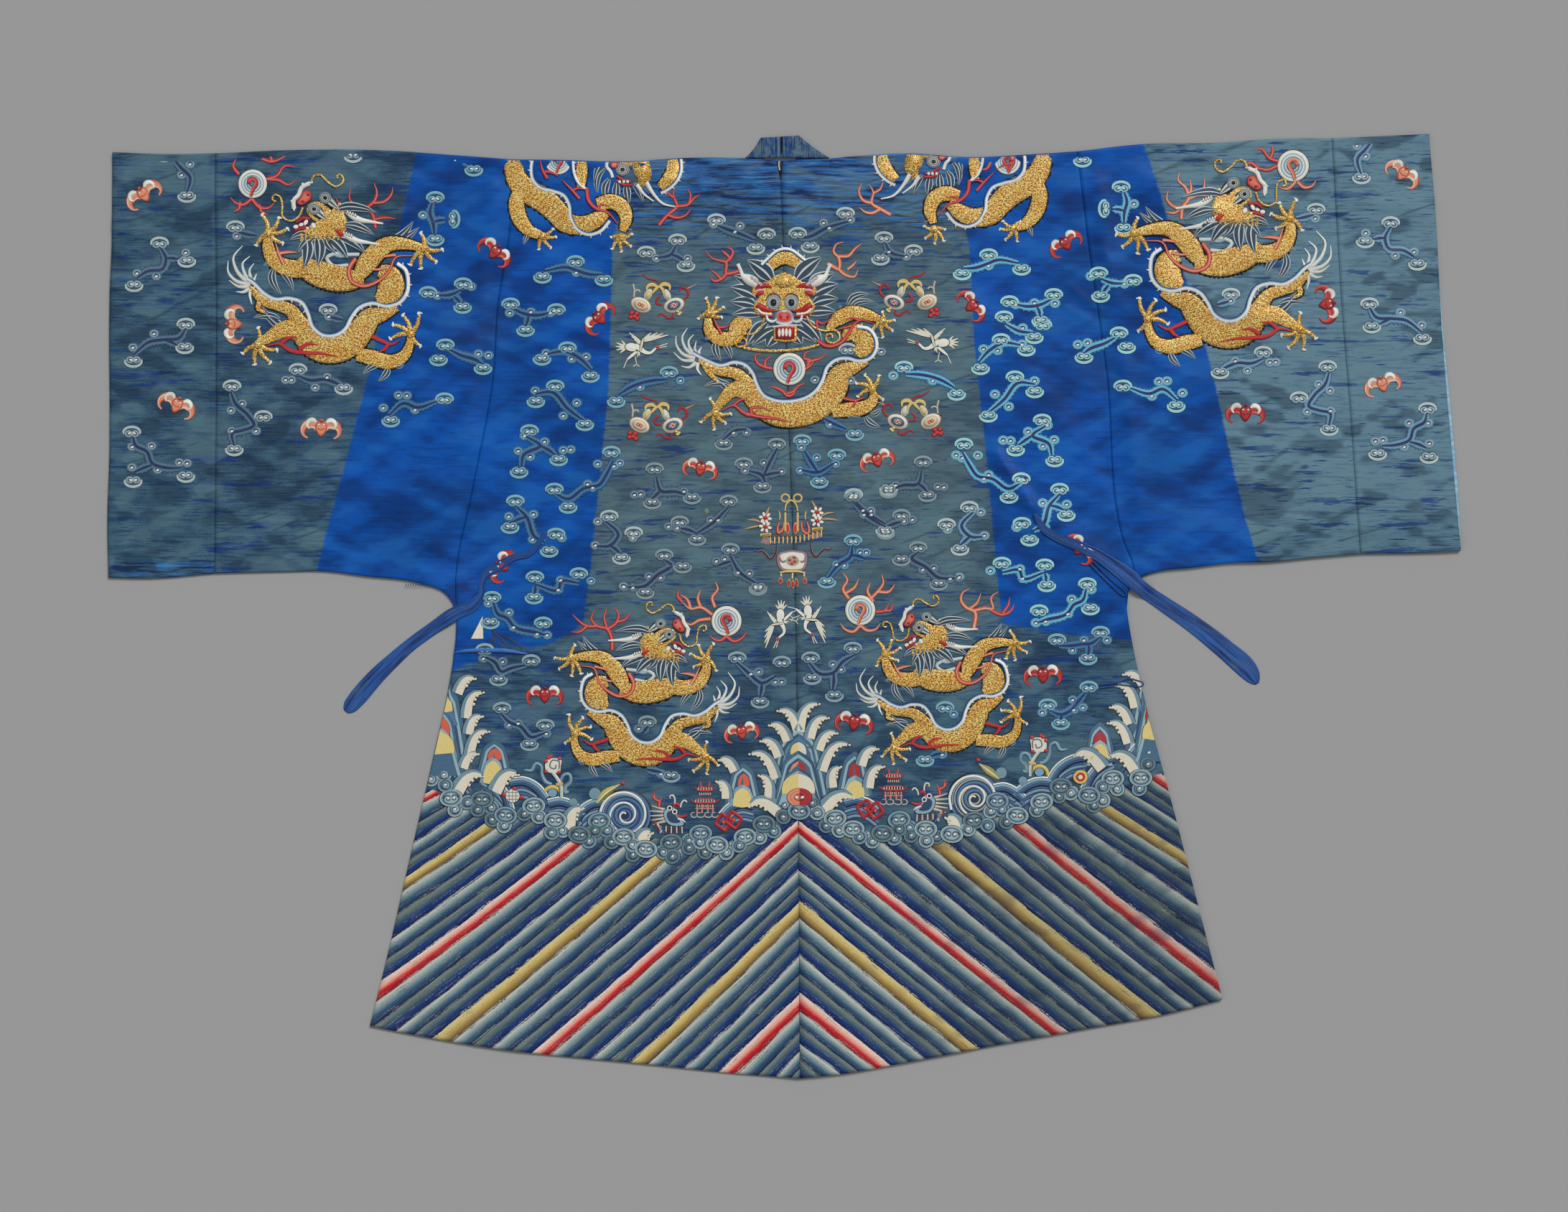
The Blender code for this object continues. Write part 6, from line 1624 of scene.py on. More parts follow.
# The dragon over each shoulder, cut off by the fold, in its own drawing units
def shoulder_dragon(work):
    """The lower part of a dragon whose upper part lies on the front of the robe."""
    for root, tip, width, bow in (((860, 120), (800, 330), 60, 0.2), ((900, 210), (870, 400), 66, 0.14),
            ((960, 240), (950, 420), 66, 0), ((1040, 260), (1060, 420), 66, 0),
            ((1100, 250), (1180, 400), 60, -0.1), ((1140, 220), (1240, 330), 50, -0.1),
            ((860, 60), (770, 240), 60, 0.1), ((250, 640), (180, 760), 50, 0.1),
            ((1000, 560), (1090, 640), 44, 0.2)):
        tuft(work, root, tip, width, bow, 0.5)
    limb(work, ((96, 50, 150), (100, 140, 160), (140, 240, 180), (232, 322, 200), (352, 392, 206),
        (446, 478, 190), (540, 580, 170), (680, 600, 150), (800, 550, 130), (880, 480, 80)), 0.6, 0.9)
    limb(work, ((1430, 50, 110), (1440, 130, 120), (1400, 220, 120), (1330, 290, 90)), 0.6, 0.9)
    limb(work, ((670, 60, 90), (668, 180, 90), (660, 280, 66)), 0.9, 0.6)
    limb(work, ((150, 300, 110), (120, 420, 130), (150, 550, 126), (220, 640, 100), (310, 690, 60)), 0.9,
        0.7)
    limb(work, ((800, 430, 110), (900, 400, 124), (1000, 440, 124), (1040, 540, 104), (1010, 650, 60)), 1.0,
        0.7)
    spine(work, ((262, 30), (248, 130), (262, 220), (320, 282), (420, 310), (520, 350), (566, 430),
        (580, 540), (640, 640), (720, 676), (820, 650), (900, 560)), 1, 26)
    spine(work, ((1496, 40), (1500, 140), (1470, 220), (1400, 292), (1330, 330)), -1, 24)
    spine(work, ((590, 40), (600, 160), (640, 250), (700, 300)), -1, 22)
    paw(work, (340, 690), ((420, 640), (440, 700), (400, 780), (310, 790), (290, 640)))
    paw(work, (1005, 700), ((1080, 680), (1070, 770), (1000, 810), (930, 790), (925, 700)))
    red = ((160, 20, 26), (190, 34, 34), (214, 96, 88))
    for path, width in ((((710, 290), (730, 400), (790, 460), (880, 490), (970, 590)), 34),
            (((790, 470), (830, 430), (900, 440)), 24), (((380, 210), (340, 140), (320, 60)), 28),
            (((360, 150), (420, 160), (470, 190)), 24), (((650, 380), (580, 300), (500, 220)), 26),
            (((590, 310), (640, 290), (690, 300)), 22)):
        flame(work, path, width, red, 2.0)
    work.ribbon(((1150, 40, 120), (1170, 120, 150), (1190, 200, 120), (1160, 270, 50)),
        ((1, (206, 154, 60)),), 1.3, 0.8, gold=True)
    work.ribbon(((900, 40, 60), (980, 60, 90), (1100, 70, 70)), ((1, (206, 154, 60)),), 1.3, 0.6, gold=True)
    work.disc(1010, 135, 58, 50, ((0.36, BLACK), (0.5, (206, 206, 196)), (0.62, BLACK),
        (0.76, (190, 200, 200)), (0.88, BLACK), (1, (160, 172, 176))), 1.9, 0.4, sides=18)
    work.disc(940, 96, 34, 28, ((0.6, (224, 130, 110)), (1, (190, 60, 50))), 2.2, 0.4)
    work.line(((888, 50), (876, 110), (910, 150), (926, 200)), 26, WHITE, 1.8, 0.3)
    for path in (((960, 186), (1010, 220), (1080, 236)), ((960, 226), (1020, 262), (1090, 262))):
        work.line(path, 20, (180, 28, 30), 1.9, 0.2)
    for x in (985, 1020, 1052):
        work.disc(x, 236, 12, 14, ((1, WHITE),), 2.1, 0.2)
    work.spiral(1180, 186, 34, 1.3, 14, (222, 178, 84), 0, lift=2.2, gold=True)
    for path in (((1210, 240), (1270, 340), (1350, 420), (1452, 446)),
            ((1130, 260), (1180, 330), (1270, 400))):
        work.ribbon(np.column_stack([np.array(path, float), np.linspace(34, 10, len(path))]), ((1, WHITE),),
            1.9, 0.3)


def pearl(work, x, y, radius, floss=RED_FLOSS, wind=1):
    """A flaming pearl: pale rings, and a curled comma of red or orange floss."""
    work.pose(x, y, radius / 100)
    rings = []
    for k, colour in enumerate(((92, 120, 138), (52, 78, 106), (170, 190, 194), (92, 128, 150),
            (204, 212, 208), (118, 150, 168), (226, 228, 218), (150, 176, 186), (238, 236, 224))):
        rings.append(((k + 1.5) / 10.5, colour))
    rings.append((1, (226, 224, 206)))
    work.disc(0, 0, 104, 104, ((1, DARK),), 0.3, 0.05, sides=28)
    work.disc(0, 0, 100, 100, rings, 0.5, 0.9, sides=28)
    dark, middle, pale = floss
    curl = np.array([(-34, -12), (-22, -34), (4, -38), (28, -18), (20, 14), (2, 44), (-12, 86)], float)
    curl[:, 0] *= wind
    work.ribbon(np.column_stack([curl, (14, 22, 26, 28, 26, 24, 20)]),
        ((-0.5, dark), (0.3, middle), (0.7, pale), (1, dark)), 1.7, 0.3)
    work.disc(-24 * wind, -12, 16, 15, ((1, middle),), 1.8, 0.3)


# Coral flames that stand on their own, sheet units: floss, width, branches from root to tip
CORALS = ((0, 6.2, ((1030, 378), (1020, 381), (1012, 382), (1011, 366), (1004, 364), (993, 361),
    (982, 349))),
    (0, 5.4, ((1011, 366), (1019, 358), (1021, 350), (1012, 345))),
    (0, 4.6, ((1017, 360), (1008, 352), (1005, 350))),
    (0, 5.6, ((1013, 381), (1004, 390), (994, 392), (989, 386))),
    (0, 4.8, ((1004, 389), (997, 382), (990, 376))),
    (1, 6.2, ((1152, 368), (1162, 373), (1167, 376), (1168, 360), (1161, 352), (1165, 341), (1175, 338))),
    (1, 5.6, ((1168, 358), (1182, 357), (1190, 348), (1200, 340))),
    (1, 5.6, ((1167, 375), (1178, 384), (1190, 386), (1195, 376))),
    (1, 4.8, ((1180, 376), (1188, 370), (1193, 364))),
    (0, 6.0, ((918, 314), (930, 300), (943, 288), (938, 272), (940, 262))),
    (0, 5.2, ((943, 288), (958, 286), (968, 276), (976, 272))),
    (0, 5.2, ((930, 300), (944, 304), (956, 300), (962, 292))),
    (0, 4.6, ((938, 276), (930, 270), (922, 262))), (0, 4.6, ((960, 284), (962, 272), (958, 264))),
    (1, 6.0, ((1240, 300), (1226, 292), (1214, 284), (1216, 268), (1210, 258))),
    (1, 5.2, ((1214, 284), (1202, 280), (1196, 268), (1200, 256))),
    (1, 5.2, ((1226, 292), (1214, 298), (1204, 296), (1197, 290))),
    (1, 4.6, ((1216, 270), (1226, 264), (1230, 254))),
    (0, 6.4, ((853, 905), (852, 888), (846, 876), (832, 872), (824, 862), (828, 850))),
    (0, 5.4, ((832, 872), (818, 872), (808, 866), (798, 856))),
    (0, 5.4, ((846, 876), (858, 868), (862, 856), (856, 846))),
    (0, 4.8, ((860, 866), (872, 862), (878, 852))), (0, 4.8, ((818, 872), (808, 880), (796, 880))),
    (0, 4.8, ((846, 876), (842, 860), (846, 846))),
    (1, 6.4, ((1356, 875), (1357, 852), (1345, 846), (1338, 836), (1340, 826), (1350, 820))),
    (1, 5.4, ((1357, 850), (1372, 847), (1382, 848), (1380, 832), (1390, 824))),
    (1, 5.0, ((1350, 848), (1360, 840), (1366, 826))),
    (0, 5.4, ((1380, 850), (1396, 856), (1408, 850), (1412, 842))),
    (0, 4.8, ((1396, 854), (1404, 842), (1406, 832))),
    (0, 6.4, ((524, 318), (520, 300), (512, 290), (498, 288), (488, 278), (490, 264))),
    (0, 5.6, ((512, 290), (522, 282), (526, 270), (522, 256))),
    (0, 5.4, ((498, 288), (484, 290), (474, 286), (468, 276))),
    (0, 5.0, ((522, 284), (536, 282), (546, 272), (548, 262))),
    (0, 5.0, ((524, 306), (538, 304), (552, 306))), (0, 5.0, ((488, 290), (478, 298), (470, 298))),
    (1, 6.4, ((1644, 306), (1646, 290), (1654, 278), (1650, 262), (1640, 252), (1642, 240))),
    (1, 5.6, ((1654, 278), (1668, 272), (1676, 262), (1676, 248))),
    (1, 5.4, ((1646, 292), (1632, 288), (1624, 278), (1626, 266))),
    (1, 5.0, ((1654, 278), (1658, 262), (1656, 250))), (1, 5.0, ((1646, 290), (1634, 298), (1622, 296))),
    (1, 5.0, ((1668, 272), (1680, 274), (1690, 268))))
# Pearls, sheet units: x, y, radius, floss (0 red, 1 orange), way of the curl, and the flames round them
PEARLS = ((353, 257, 20, 0, 1), (1800, 232, 22, 1, -1), (1012, 865, 21, 0, -1), (1198, 850, 21, 1, 1),
    (1099.5, 514.5, 22.5, 0, 1), (778, 226, 18, 0, 1), (1403, 226, 18, 0, -1))
PEARL_FLAMES = ((0, ((352, 278), (340, 286), (330, 284), (322, 276))),
    (0, ((352, 278), (364, 290), (376, 290), (384, 282))), (0, ((336, 282), (334, 292), (326, 296))),
    (0, ((362, 286), (366, 296), (374, 300))), (0, ((372, 250), (386, 246), (398, 232), (412, 234))),
    (0, ((372, 250), (390, 252), (402, 258), (414, 252))),
    (0, ((366, 222), (380, 226), (392, 222), (404, 214))), (0, ((380, 226), (376, 216), (368, 212))),
    (0, ((334, 244), (326, 232), (330, 222))), (1, ((1806, 254), (1816, 262), (1826, 260), (1832, 252))),
    (1, ((1804, 254), (1792, 264), (1780, 262))), (0, ((1780, 226), (1768, 222), (1754, 208), (1746, 210))),
    (0, ((1778, 232), (1764, 238), (1752, 236), (1742, 240))), (0, ((1768, 222), (1772, 210), (1768, 200))),
    (0, ((1752, 236), (1740, 228), (1732, 232))), (0, ((1012, 886), (1004, 892), (994, 890), (988, 884))),
    (0, ((1012, 886), (1022, 893), (1034, 888), (1040, 880))),
    (1, ((992, 856), (976, 846), (962, 848), (950, 838))), (1, ((976, 846), (972, 832), (976, 822))),
    (1, ((990, 862), (974, 864), (962, 870), (950, 864))), (1, ((962, 848), (958, 836), (948, 828))),
    (1, ((996, 846), (992, 832), (1000, 820), (996, 810))), (0, ((950, 838), (944, 830), (946, 820))),
    (1, ((1198, 871), (1208, 878), (1220, 876), (1226, 868))),
    (1, ((1198, 871), (1188, 880), (1176, 876), (1170, 868))),
    (1, ((1182, 834), (1174, 820), (1180, 808), (1174, 798))),
    (1, ((1212, 834), (1222, 824), (1230, 812), (1228, 800))), (1, ((1178, 826), (1190, 818), (1196, 806))),
    (1, ((1222, 824), (1238, 824), (1246, 814))), (0, ((1220, 852), (1232, 850), (1238, 840))),
    (0, ((1232, 850), (1240, 850), (1243, 840))), (1, ((1216, 838), (1208, 822), (1212, 812))),
    (0, ((1091, 546), (1082, 541), (1073, 539))), (0, ((1096, 548), (1104, 546), (1112, 538), (1122, 534))),
    (0, ((1091, 546), (1098, 552), (1106, 548), (1106, 540))),
    (0, ((1076, 514), (1066, 512), (1054, 505), (1052, 496), (1060, 492))),
    (0, ((1066, 513), (1066, 503), (1076, 496))),
    (0, ((1124, 510), (1128, 502), (1120, 500), (1122, 492), (1128, 490))),
    (0, ((1124, 504), (1134, 502), (1142, 500), (1152, 492))), (0, ((1122, 514), (1128, 510), (1134, 502))),
    (0, ((800, 226), (806, 236), (816, 238))), (0, ((1380, 226), (1374, 236), (1364, 238))))


def bat(work, x, y, size, turn, floss):
    """A bat with spread wings: curled wing tips, a round body and a pale head."""
    dark, middle, pale = floss
    work.pose(x, y, size / 52, turn)
    for side in (-1, 1):
        work.ribbon(((side * 4, 0, 9), (side * 11, -5, 14), (side * 19, -4, 13), (side * 25, 3, 8),
            (side * 24, 11, 4), (side * 18, 15, 2.5)), ((-0.5, dark), (0.35, middle), (0.8, pale),
            (1, dark)), 0.6, 0.4, pitch=2.2)
        work.ribbon(((side * 7, -7, 3), (side * 11, -10, 7), (side * 17, -9, 6.5), (side * 20, -3, 4),
            (side * 17, 1, 1.5)), ((0.5, WHITE), (1, (206, 196, 184))), 1.1, 0.25, pitch=2.0)
        work.arc(side * 13, 5, 6, 5, 180 if side > 0 else 0, 330 if side > 0 else -150, 3.0, pale, 0.9,
            pitch=2.2)
    work.star((0, 2), ((-8, -5), (-4, -9), (0, -7), (4, -9), (8, -5), (7, 5), (0, 13), (-7, 5)),
        ((0.72, middle), (1, dark)), 0.9, 0.6)
    work.ribbon(((-5, 1, 1.2), (0, 3, 1.6), (5, 1, 1.2)), ((1, dark),), 1.6, 0.1, pitch=2.0)
    work.disc(0, -10, 2.6, 2.2, ((1, dark),), 1.4, 0.1, sides=8)
    for side in (-1, 1):
        work.disc(side * 3.6, -4, 1.5, 1.3, ((1, WHITE),), 1.7, 0.1, sides=8)


# Bats, sheet units: x, y, span, clockwise tilt, floss (0 coral, 1 red, 2 salmon)
BATS = ((200.7, 271, 50, -35, 2), (326, 452, 50, -88, 2), (248, 564, 50, 24, 2), (448.5, 596, 52, 2, 2),
    (690.5, 351, 48, 40, 1), (834.5, 443, 48, -50, 1), (976, 652, 46, 12, 0), (1221, 640, 46, -16, 0),
    (699, 788, 46, -60, 1), (759.5, 967, 48, 0, 1), (1033, 1018.6, 46, -10, 0), (1190, 1005, 50, 10, 1),
    (1354, 426, 46, 52, 1), (1483, 339, 46, -34, 1), (1848, 424, 50, 80, 1), (1924, 535, 48, -18, 2),
    (1953, 242, 48, 36, 2), (1734, 575, 50, 2, 1), (1505, 764, 46, 50, 1), (1452, 939, 50, -2, 1))
WAVE_PALE = (148, 178, 186)
WAVE_MIST = (108, 142, 156)
WAVE_BLUE = (72, 118, 156)
WAVE_DEEP = (30, 60, 112)
HILL = (62, 102, 130)
HILL_DEEP = (42, 78, 110)
FOAM = (226, 218, 196)
# Shades of the curled waves: outer ring, inner ring, core
SWELLS = (((150, 176, 182), (88, 120, 136), (22, 42, 74)), ((124, 156, 168), (70, 106, 130), (18, 38, 74)),
    ((98, 128, 138), (62, 94, 112), (22, 42, 68)))


def wave_head(work, x, y, shades, lift, turn):
    """Two curls in one oval, ringed twice, each wound round a white dot."""
    work.pose(x, y, 1.0, turn)
    outer, inner, core = shades
    work.disc(0, 0, 17, 12.8, ((0.60, outer), (0.66, DARK), (0.78, inner), (0.94, outer), (1, DARK)), lift,
        0.45, sides=22)
    for side in (-1, 1):
        work.spiral(side * 4.7, 0.3, 5.2, 1.25, 1.6, core, 90 - 90 * side, lift + 0.42, -side, 0.25, 1.8,
            0.95)
        work.disc(side * 4.2, 0.2, 2.3, 1.5, ((1, WHITE),), lift + 0.66, 0.12, turn=-20 * side, sides=8)


def wave_curl(work, x, y, shades, lift, turn):
    """One curl, ringed twice, wound round a white dot."""
    work.pose(x, y, 1.0, turn)
    outer, inner, core = shades
    work.disc(0, 0, 11.6, 10.8, ((0.52, outer), (0.58, DARK), (0.74, inner), (0.93, outer), (1, DARK)),
        lift, 0.45, sides=18)
    work.spiral(0, 0, 5.8, 1.3, 1.6, core, 60, lift + 0.40, 1, 0.2, 1.8)
    work.disc(0.4, -0.2, 2.4, 1.5, ((1, WHITE),), lift + 0.64, 0.12, turn=-24, sides=8)


def foam(work, root, tip, side, width):
    """A curling comb of foam: teal on its outer edge, cream within, round drops along its inner edge."""
    lift = 0.8
    root, tip = np.array(root, float), np.array(tip, float)
    run = 1.2 * (tip - root)
    root = tip - run
    out = np.array([run[1], -run[0]]) * side
    share = np.array([0.0, 0.3, 0.6, 0.85, 1.0])
    size = width * np.array([1.0, 1.0, 0.80, 0.52, 0.30])
    path = root + share[:, None] * run + np.array([0.0, 0.14, 0.22, 0.17, 0.0])[:, None] * out
    tones = (DARK, WAVE_MIST, FOAM, DARK) if side > 0 else (DARK, FOAM, WAVE_MIST, DARK)
    reach = (-0.88, -0.30, 0.88, 1) if side > 0 else (-0.88, 0.30, 0.88, 1)
    inward = -out / np.linalg.norm(out)
    ahead = run / np.linalg.norm(run)
    for at, r in ((0.50, 2.4), (0.66, 2.3), (0.80, 2.1), (0.93, 1.9), (1.04, 1.9)):
        spot = np.array([np.interp(at, share, path[:, k]) for k in range(2)])
        spot = spot + inward * (np.interp(at, share, size) * 0.5 + 0.7) + ahead * 1.2
        work.disc(*spot, r + 0.7, r + 0.7, ((1, DARK),), lift - 0.1, 0.1, sides=8)
        work.disc(*spot, r, r, ((1, FOAM),), lift + 0.15, 0.35, sides=8)
    work.ribbon(np.column_stack([path, size + 1.4]), tuple(zip(reach, tones)), lift, 0.45, pitch=2.2)


ARCH = np.array(((0, 0.03), (0.05, 0.22), (0.12, 0.42), (0.20, 0.56), (0.48, 0.72), (0.81, 0.89), (1, 1)))
LOBE = np.array(((0, 0.10), (0.08, 0.45), (0.20, 0.70), (0.45, 0.92), (0.75, 1.0), (1, 1)))


def hill(work, rows, lift=0.3):
    """Nested arches of a mountain: middle x, top, base, half-width, and its two sides' floss."""
    for k, (x, top, base, half, floss) in enumerate(rows):
        lobe = floss[0] in "ysrc"
        profile = LOBE if lobe else ARCH
        half_at = (half * profile[:, 1])[:, None]
        rim = 0.9
        across = np.column_stack([-half_at - rim, -half_at, -half_at * 0.999, 0 * half_at, half_at * 0.999,
            half_at, half_at + rim])
        down = top + (base - top) * profile[:, 0][:, None] + 0 * across
        down[0] -= 0.6
        if lobe:
            down[-1] += 2.5 * (1 - np.abs(across[-1]) / half)
        dark, shades = np.array(DARK), np.zeros((len(profile) - 1, 6, 3))
        shades[:] = dark
        shades[:, 1:3], shades[:, 3:5] = HILL_FLOSS[floss[0]], HILL_FLOSS[floss[1]]
        height = np.full(across.shape, lift + 0.10 * k)
        height[:, [0, -1]] = SKIRT + 0.10 * k
        height[:, 3] += 0.12
        work.patch(x + across, down, height, shades, np.repeat(down[:, :1] * 1.0, 7, 1) + across * 0.2)
        if floss[0] == "d" and half > 14:
            hill(work, ((x, top + 4.5, base, half - 4.6, "ip"), (x, top + 8, base, half - 8.2, "hh")),
                lift + 0.10 * k + 0.02)


def wave_arc(work, points):
    """A breaking wave's back: white, pale blue, blue and navy stripes along an arc."""
    lanes = ((-0.74, WHITE), (-0.64, DARK), (-0.18, (128, 166, 188)), (-0.06, DARK), (0.22, WAVE_BLUE),
        (0.32, DARK), (0.62, (50, 88, 128)), (1, (20, 36, 78)))
    points = np.array(points, float)
    deep = ((-0.7, (20, 36, 78)), (-0.1, (64, 106, 150)), (0.1, DARK), (0.6, (118, 152, 176)), (0.7, DARK),
        (1, (46, 82, 128)))
    for shift, low in ((19, 0.06), (9.5, 0.14)):
        work.ribbon(np.column_stack([points + (0, shift), np.full(len(points), 13.0)]), deep, low, 0.15,
            pitch=3.2)
    work.ribbon(np.column_stack([points, np.full(len(points), 14.0)]), lanes, 0.5, 0.3, pitch=2.6)


def big_spiral(work, x, y, radius, streak):
    """A great rolled wave: white lines wound over blue stripes."""
    work.pose(x, y)
    work.disc(0, 0, radius + 2, radius + 1, ((0.16, NAVY), (0.22, streak), (0.28, NAVY), (0.38, WAVE_BLUE),
        (0.43, NAVY), (0.48, streak), (0.58, WAVE_DEEP), (0.66, WAVE_BLUE), (0.71, NAVY), (0.75, streak),
        (0.85, WAVE_DEEP), (0.93, WAVE_BLUE), (1, DARK)), 0.45, 0.3, sides=40)
    work.spiral(0, 0, radius, 2.4, 3.6, WHITE, start=155, lift=0.85, inner=0.06, pitch=2.2)
    work.spiral(0, 0, radius - 4.5, 1.0, 1.5, WAVE_PALE, start=165, lift=0.85, inner=0.70, pitch=2.2)


# Curled waves, sheet units
WAVE_HEADS = ((629, 1111), (672, 1113), (705, 1135), (744, 1122), (774, 1142), (807.5, 1162), (835, 1143),
    (869, 1165), (900, 1182), (935, 1173), (976, 1160), (999, 1176), (1038, 1165), (1064, 1147),
    (1113, 1129), (1163, 1139), (1188, 1154), (1229, 1160), (1252, 1141), (1289, 1154), (1325, 1161),
    (1356, 1142), (1388.5, 1115), (1416, 1135), (1450, 1116), (1477, 1095), (1516, 1107), (1549, 1084),
    (1588, 1083))
WAVE_CURLS = ((634.5, 1127), (652, 1117), (666, 1127), (685, 1124), (686, 1141), (703, 1149.5), (731, 1133),
    (751, 1137), (769, 1159), (784, 1156), (821, 1171), (829, 1156), (846, 1156), (852, 1172), (881, 1176),
    (882, 1190), (619, 1079), (621, 1093), (601, 1085), (924, 1186), (937, 1192.5), (960, 1170),
    (960, 1180), (975, 1172), (982, 1186), (1012, 1187), (1030, 1177), (1058, 1166), (1077.5, 1157),
    (1091, 1137), (1093, 1121), (1131.5, 1118), (1138, 1131.5), (1150.5, 1149.5), (1168.5, 1156),
    (1197, 1165), (1215, 1171), (1245, 1167), (1252, 1154), (1267, 1152), (1269, 1163), (1290, 1170),
    (1304, 1165), (1348, 1154), (1375, 1149), (1379.5, 1129), (1395, 1127), (1401.5, 1144), (1443, 1128),
    (1474, 1108), (1491, 1104), (1523, 1121), (1535, 1114), (1535, 1095), (1555, 1098), (1586, 1098),
    (1598, 1064), (1599, 1048))
SEA_FOAMS = 9
# Combs of foam, those on the waves first: root, tip, side of the outer edge
FOAMS = (((640, 1102), (671, 1079), 1), ((694, 1098), (719.5, 1077), 1), ((794, 1150), (809, 1125), 1),
    ((893, 1170), (906, 1158), 1), ((1082, 1130), (1046, 1120), -1), ((1149, 1130), (1186, 1109), 1),
    ((1332, 1152), (1320, 1137), -1), ((1530, 1066), (1498, 1050), -1), ((1580, 1076), (1547, 1052), -1),
    ((1108, 1013), (1086, 989), -1), ((1094, 1028), (1074, 1009), -1), ((1082, 1050), (1062, 1031), -1),
    ((1076, 1078), (1047, 1049), -1), ((1070, 1106), (1060, 1080), -1), ((1117, 1012), (1138, 980), 1),
    ((1131, 1023), (1151, 999), 1), ((1143, 1040), (1163, 1020), 1), ((1150, 1067), (1180, 1036), 1),
    ((1160, 1092), (1168, 1068), 1), ((1021, 1071), (1004, 1057), -1), ((1011, 1108), (1001, 1088), -1),
    ((1202, 1062), (1220, 1042), 1), ((1212, 1092), (1228, 1067), 1), ((641, 962), (660, 944), 1),
    ((653, 994), (671, 964), 1), ((655, 1018), (670, 997), 1), ((658, 1045), (679, 1018), 1),
    ((648, 1066), (664, 1049), 1), ((1590, 955), (1566, 938), -1), ((1577, 980), (1556, 954), -1),
    ((1569, 1004), (1548, 984), -1), ((1567, 1030), (1545, 1006), -1))
# Floss of the hills by its letter
HILL_FLOSS = {"h": HILL, "d": HILL_DEEP, "p": WAVE_PALE, "b": WAVE_BLUE, "y": YELLOW, "f": FOAM, "c": CORAL,
    "r": RED, "s": SALMON, "m": (120, 158, 174), "g": (116, 148, 166), "i": WAVE_MIST}
# Nested arches of each mountain: middle x, top, base, half-width, floss of its left and right side
HILLS = (((1112, 1011, 1120, 48, "hh"), (1112, 1017, 1120, 42, "pp"), (1112, 1022, 1120, 37.5, "dh"),
    (1112, 1027, 1066, 19, "bb"), (1112, 1034, 1050, 11, "yf"), (1112, 1046, 1120, 36, "hd"),
    (1112, 1051, 1120, 32, "pp"), (1112, 1056, 1120, 27.5, "dh"), (1112, 1061, 1077, 11, "sr"),
    (1112, 1070, 1120, 31, "hd"), (1112, 1073.5, 1120, 27.5, "pg"), (1112, 1078, 1104, 23, "yf")),
    ((1035, 1063, 1118, 26, "hh"), (1035, 1070, 1118, 21, "pp"), (1035, 1074, 1110, 15, "dd"),
    (1036, 1078, 1094, 8, "cc"), (1034, 1093, 1118, 18.5, "mp"), (1034, 1098, 1122, 13, "yy")),
    ((1190, 1047, 1108, 26, "hh"), (1190, 1054, 1108, 21, "pp"), (1190, 1058, 1100, 15, "dd"),
    (1190, 1063, 1080, 8, "rr"), (1191, 1080, 1106, 18.5, "pg"), (1191, 1087, 1109, 13, "yy")),
    ((689, 1031, 1082, 26, "hh"), (689, 1037, 1082, 21, "pp"), (689, 1040, 1082, 16, "dd"),
    (689.5, 1043, 1057, 9.5, "cc"), (687, 1055, 1090, 19, "mp"), (687, 1060, 1090, 13, "yy")),
    ((1531, 1006, 1066, 24, "hh"), (1531, 1012, 1066, 19.5, "pp"), (1531, 1016, 1066, 15, "dd"),
    (1531, 1020, 1034, 8.5, "rr"), (1531, 1031, 1066, 18, "pp"), (1531, 1036, 1060, 12, "yy")),
    ((611, 945, 1080, 49, "hh"), (611, 952, 1080, 42, "pp"), (611, 957, 1080, 37, "dd"),
    (611, 963, 1010, 27, "bb"), (611, 968, 990, 20, "yy"), (611, 985, 1080, 36, "hh"),
    (611, 989, 1080, 31, "pp"), (611, 993, 1080, 26, "dd"), (611, 998, 1022, 16, "cc"),
    (606, 1010, 1080, 37, "pp"), (606, 1014, 1080, 32, "hh"), (606, 1018, 1048, 28, "yy")),
    ((1612, 925, 1060, 50, "hh"), (1612, 932, 1060, 43, "pp"), (1612, 937, 1060, 38, "dd"),
    (1612, 943, 990, 28, "bb"), (1612, 948, 970, 20, "yy"), (1612, 965, 1060, 37, "hh"),
    (1612, 969, 1060, 32, "pp"), (1612, 973, 1060, 27, "dd"), (1612, 978, 1002, 18, "rr"),
    (1618, 990, 1060, 38, "pp"), (1618, 994, 1060, 33, "hh"), (1618, 998, 1028, 28, "yy")))
WAVE_ARCS = (((600, 1046), (622, 1050), (640, 1064), (655, 1084)),
    ((672, 1079), (690, 1090), (704, 1107), (711, 1128)),
    ((710, 1090), (730, 1088), (748, 1097), (760, 1112)),
    ((764, 1119), (780, 1116), (798, 1122), (812, 1136)),
    ((804, 1140), (812, 1128), (826, 1119), (842, 1117)), ((1618, 1026), (1598, 1030), (1582, 1042),
    (1568, 1060)), ((1550, 1056), (1532, 1066), (1518, 1082), (1510, 1100)),
    ((1512, 1054), (1492, 1058), (1474, 1070), (1463, 1086)), ((1465, 1090), (1448, 1088), (1430, 1094),
    (1412, 1108)), ((1424, 1112), (1412, 1102), (1398, 1096), (1384, 1098)),
    ((1006, 1136), (1018, 1124), (1034, 1119), (1050, 1122)), ((1222, 1128), (1208, 1118), (1192, 1114),
    (1176, 1118)))


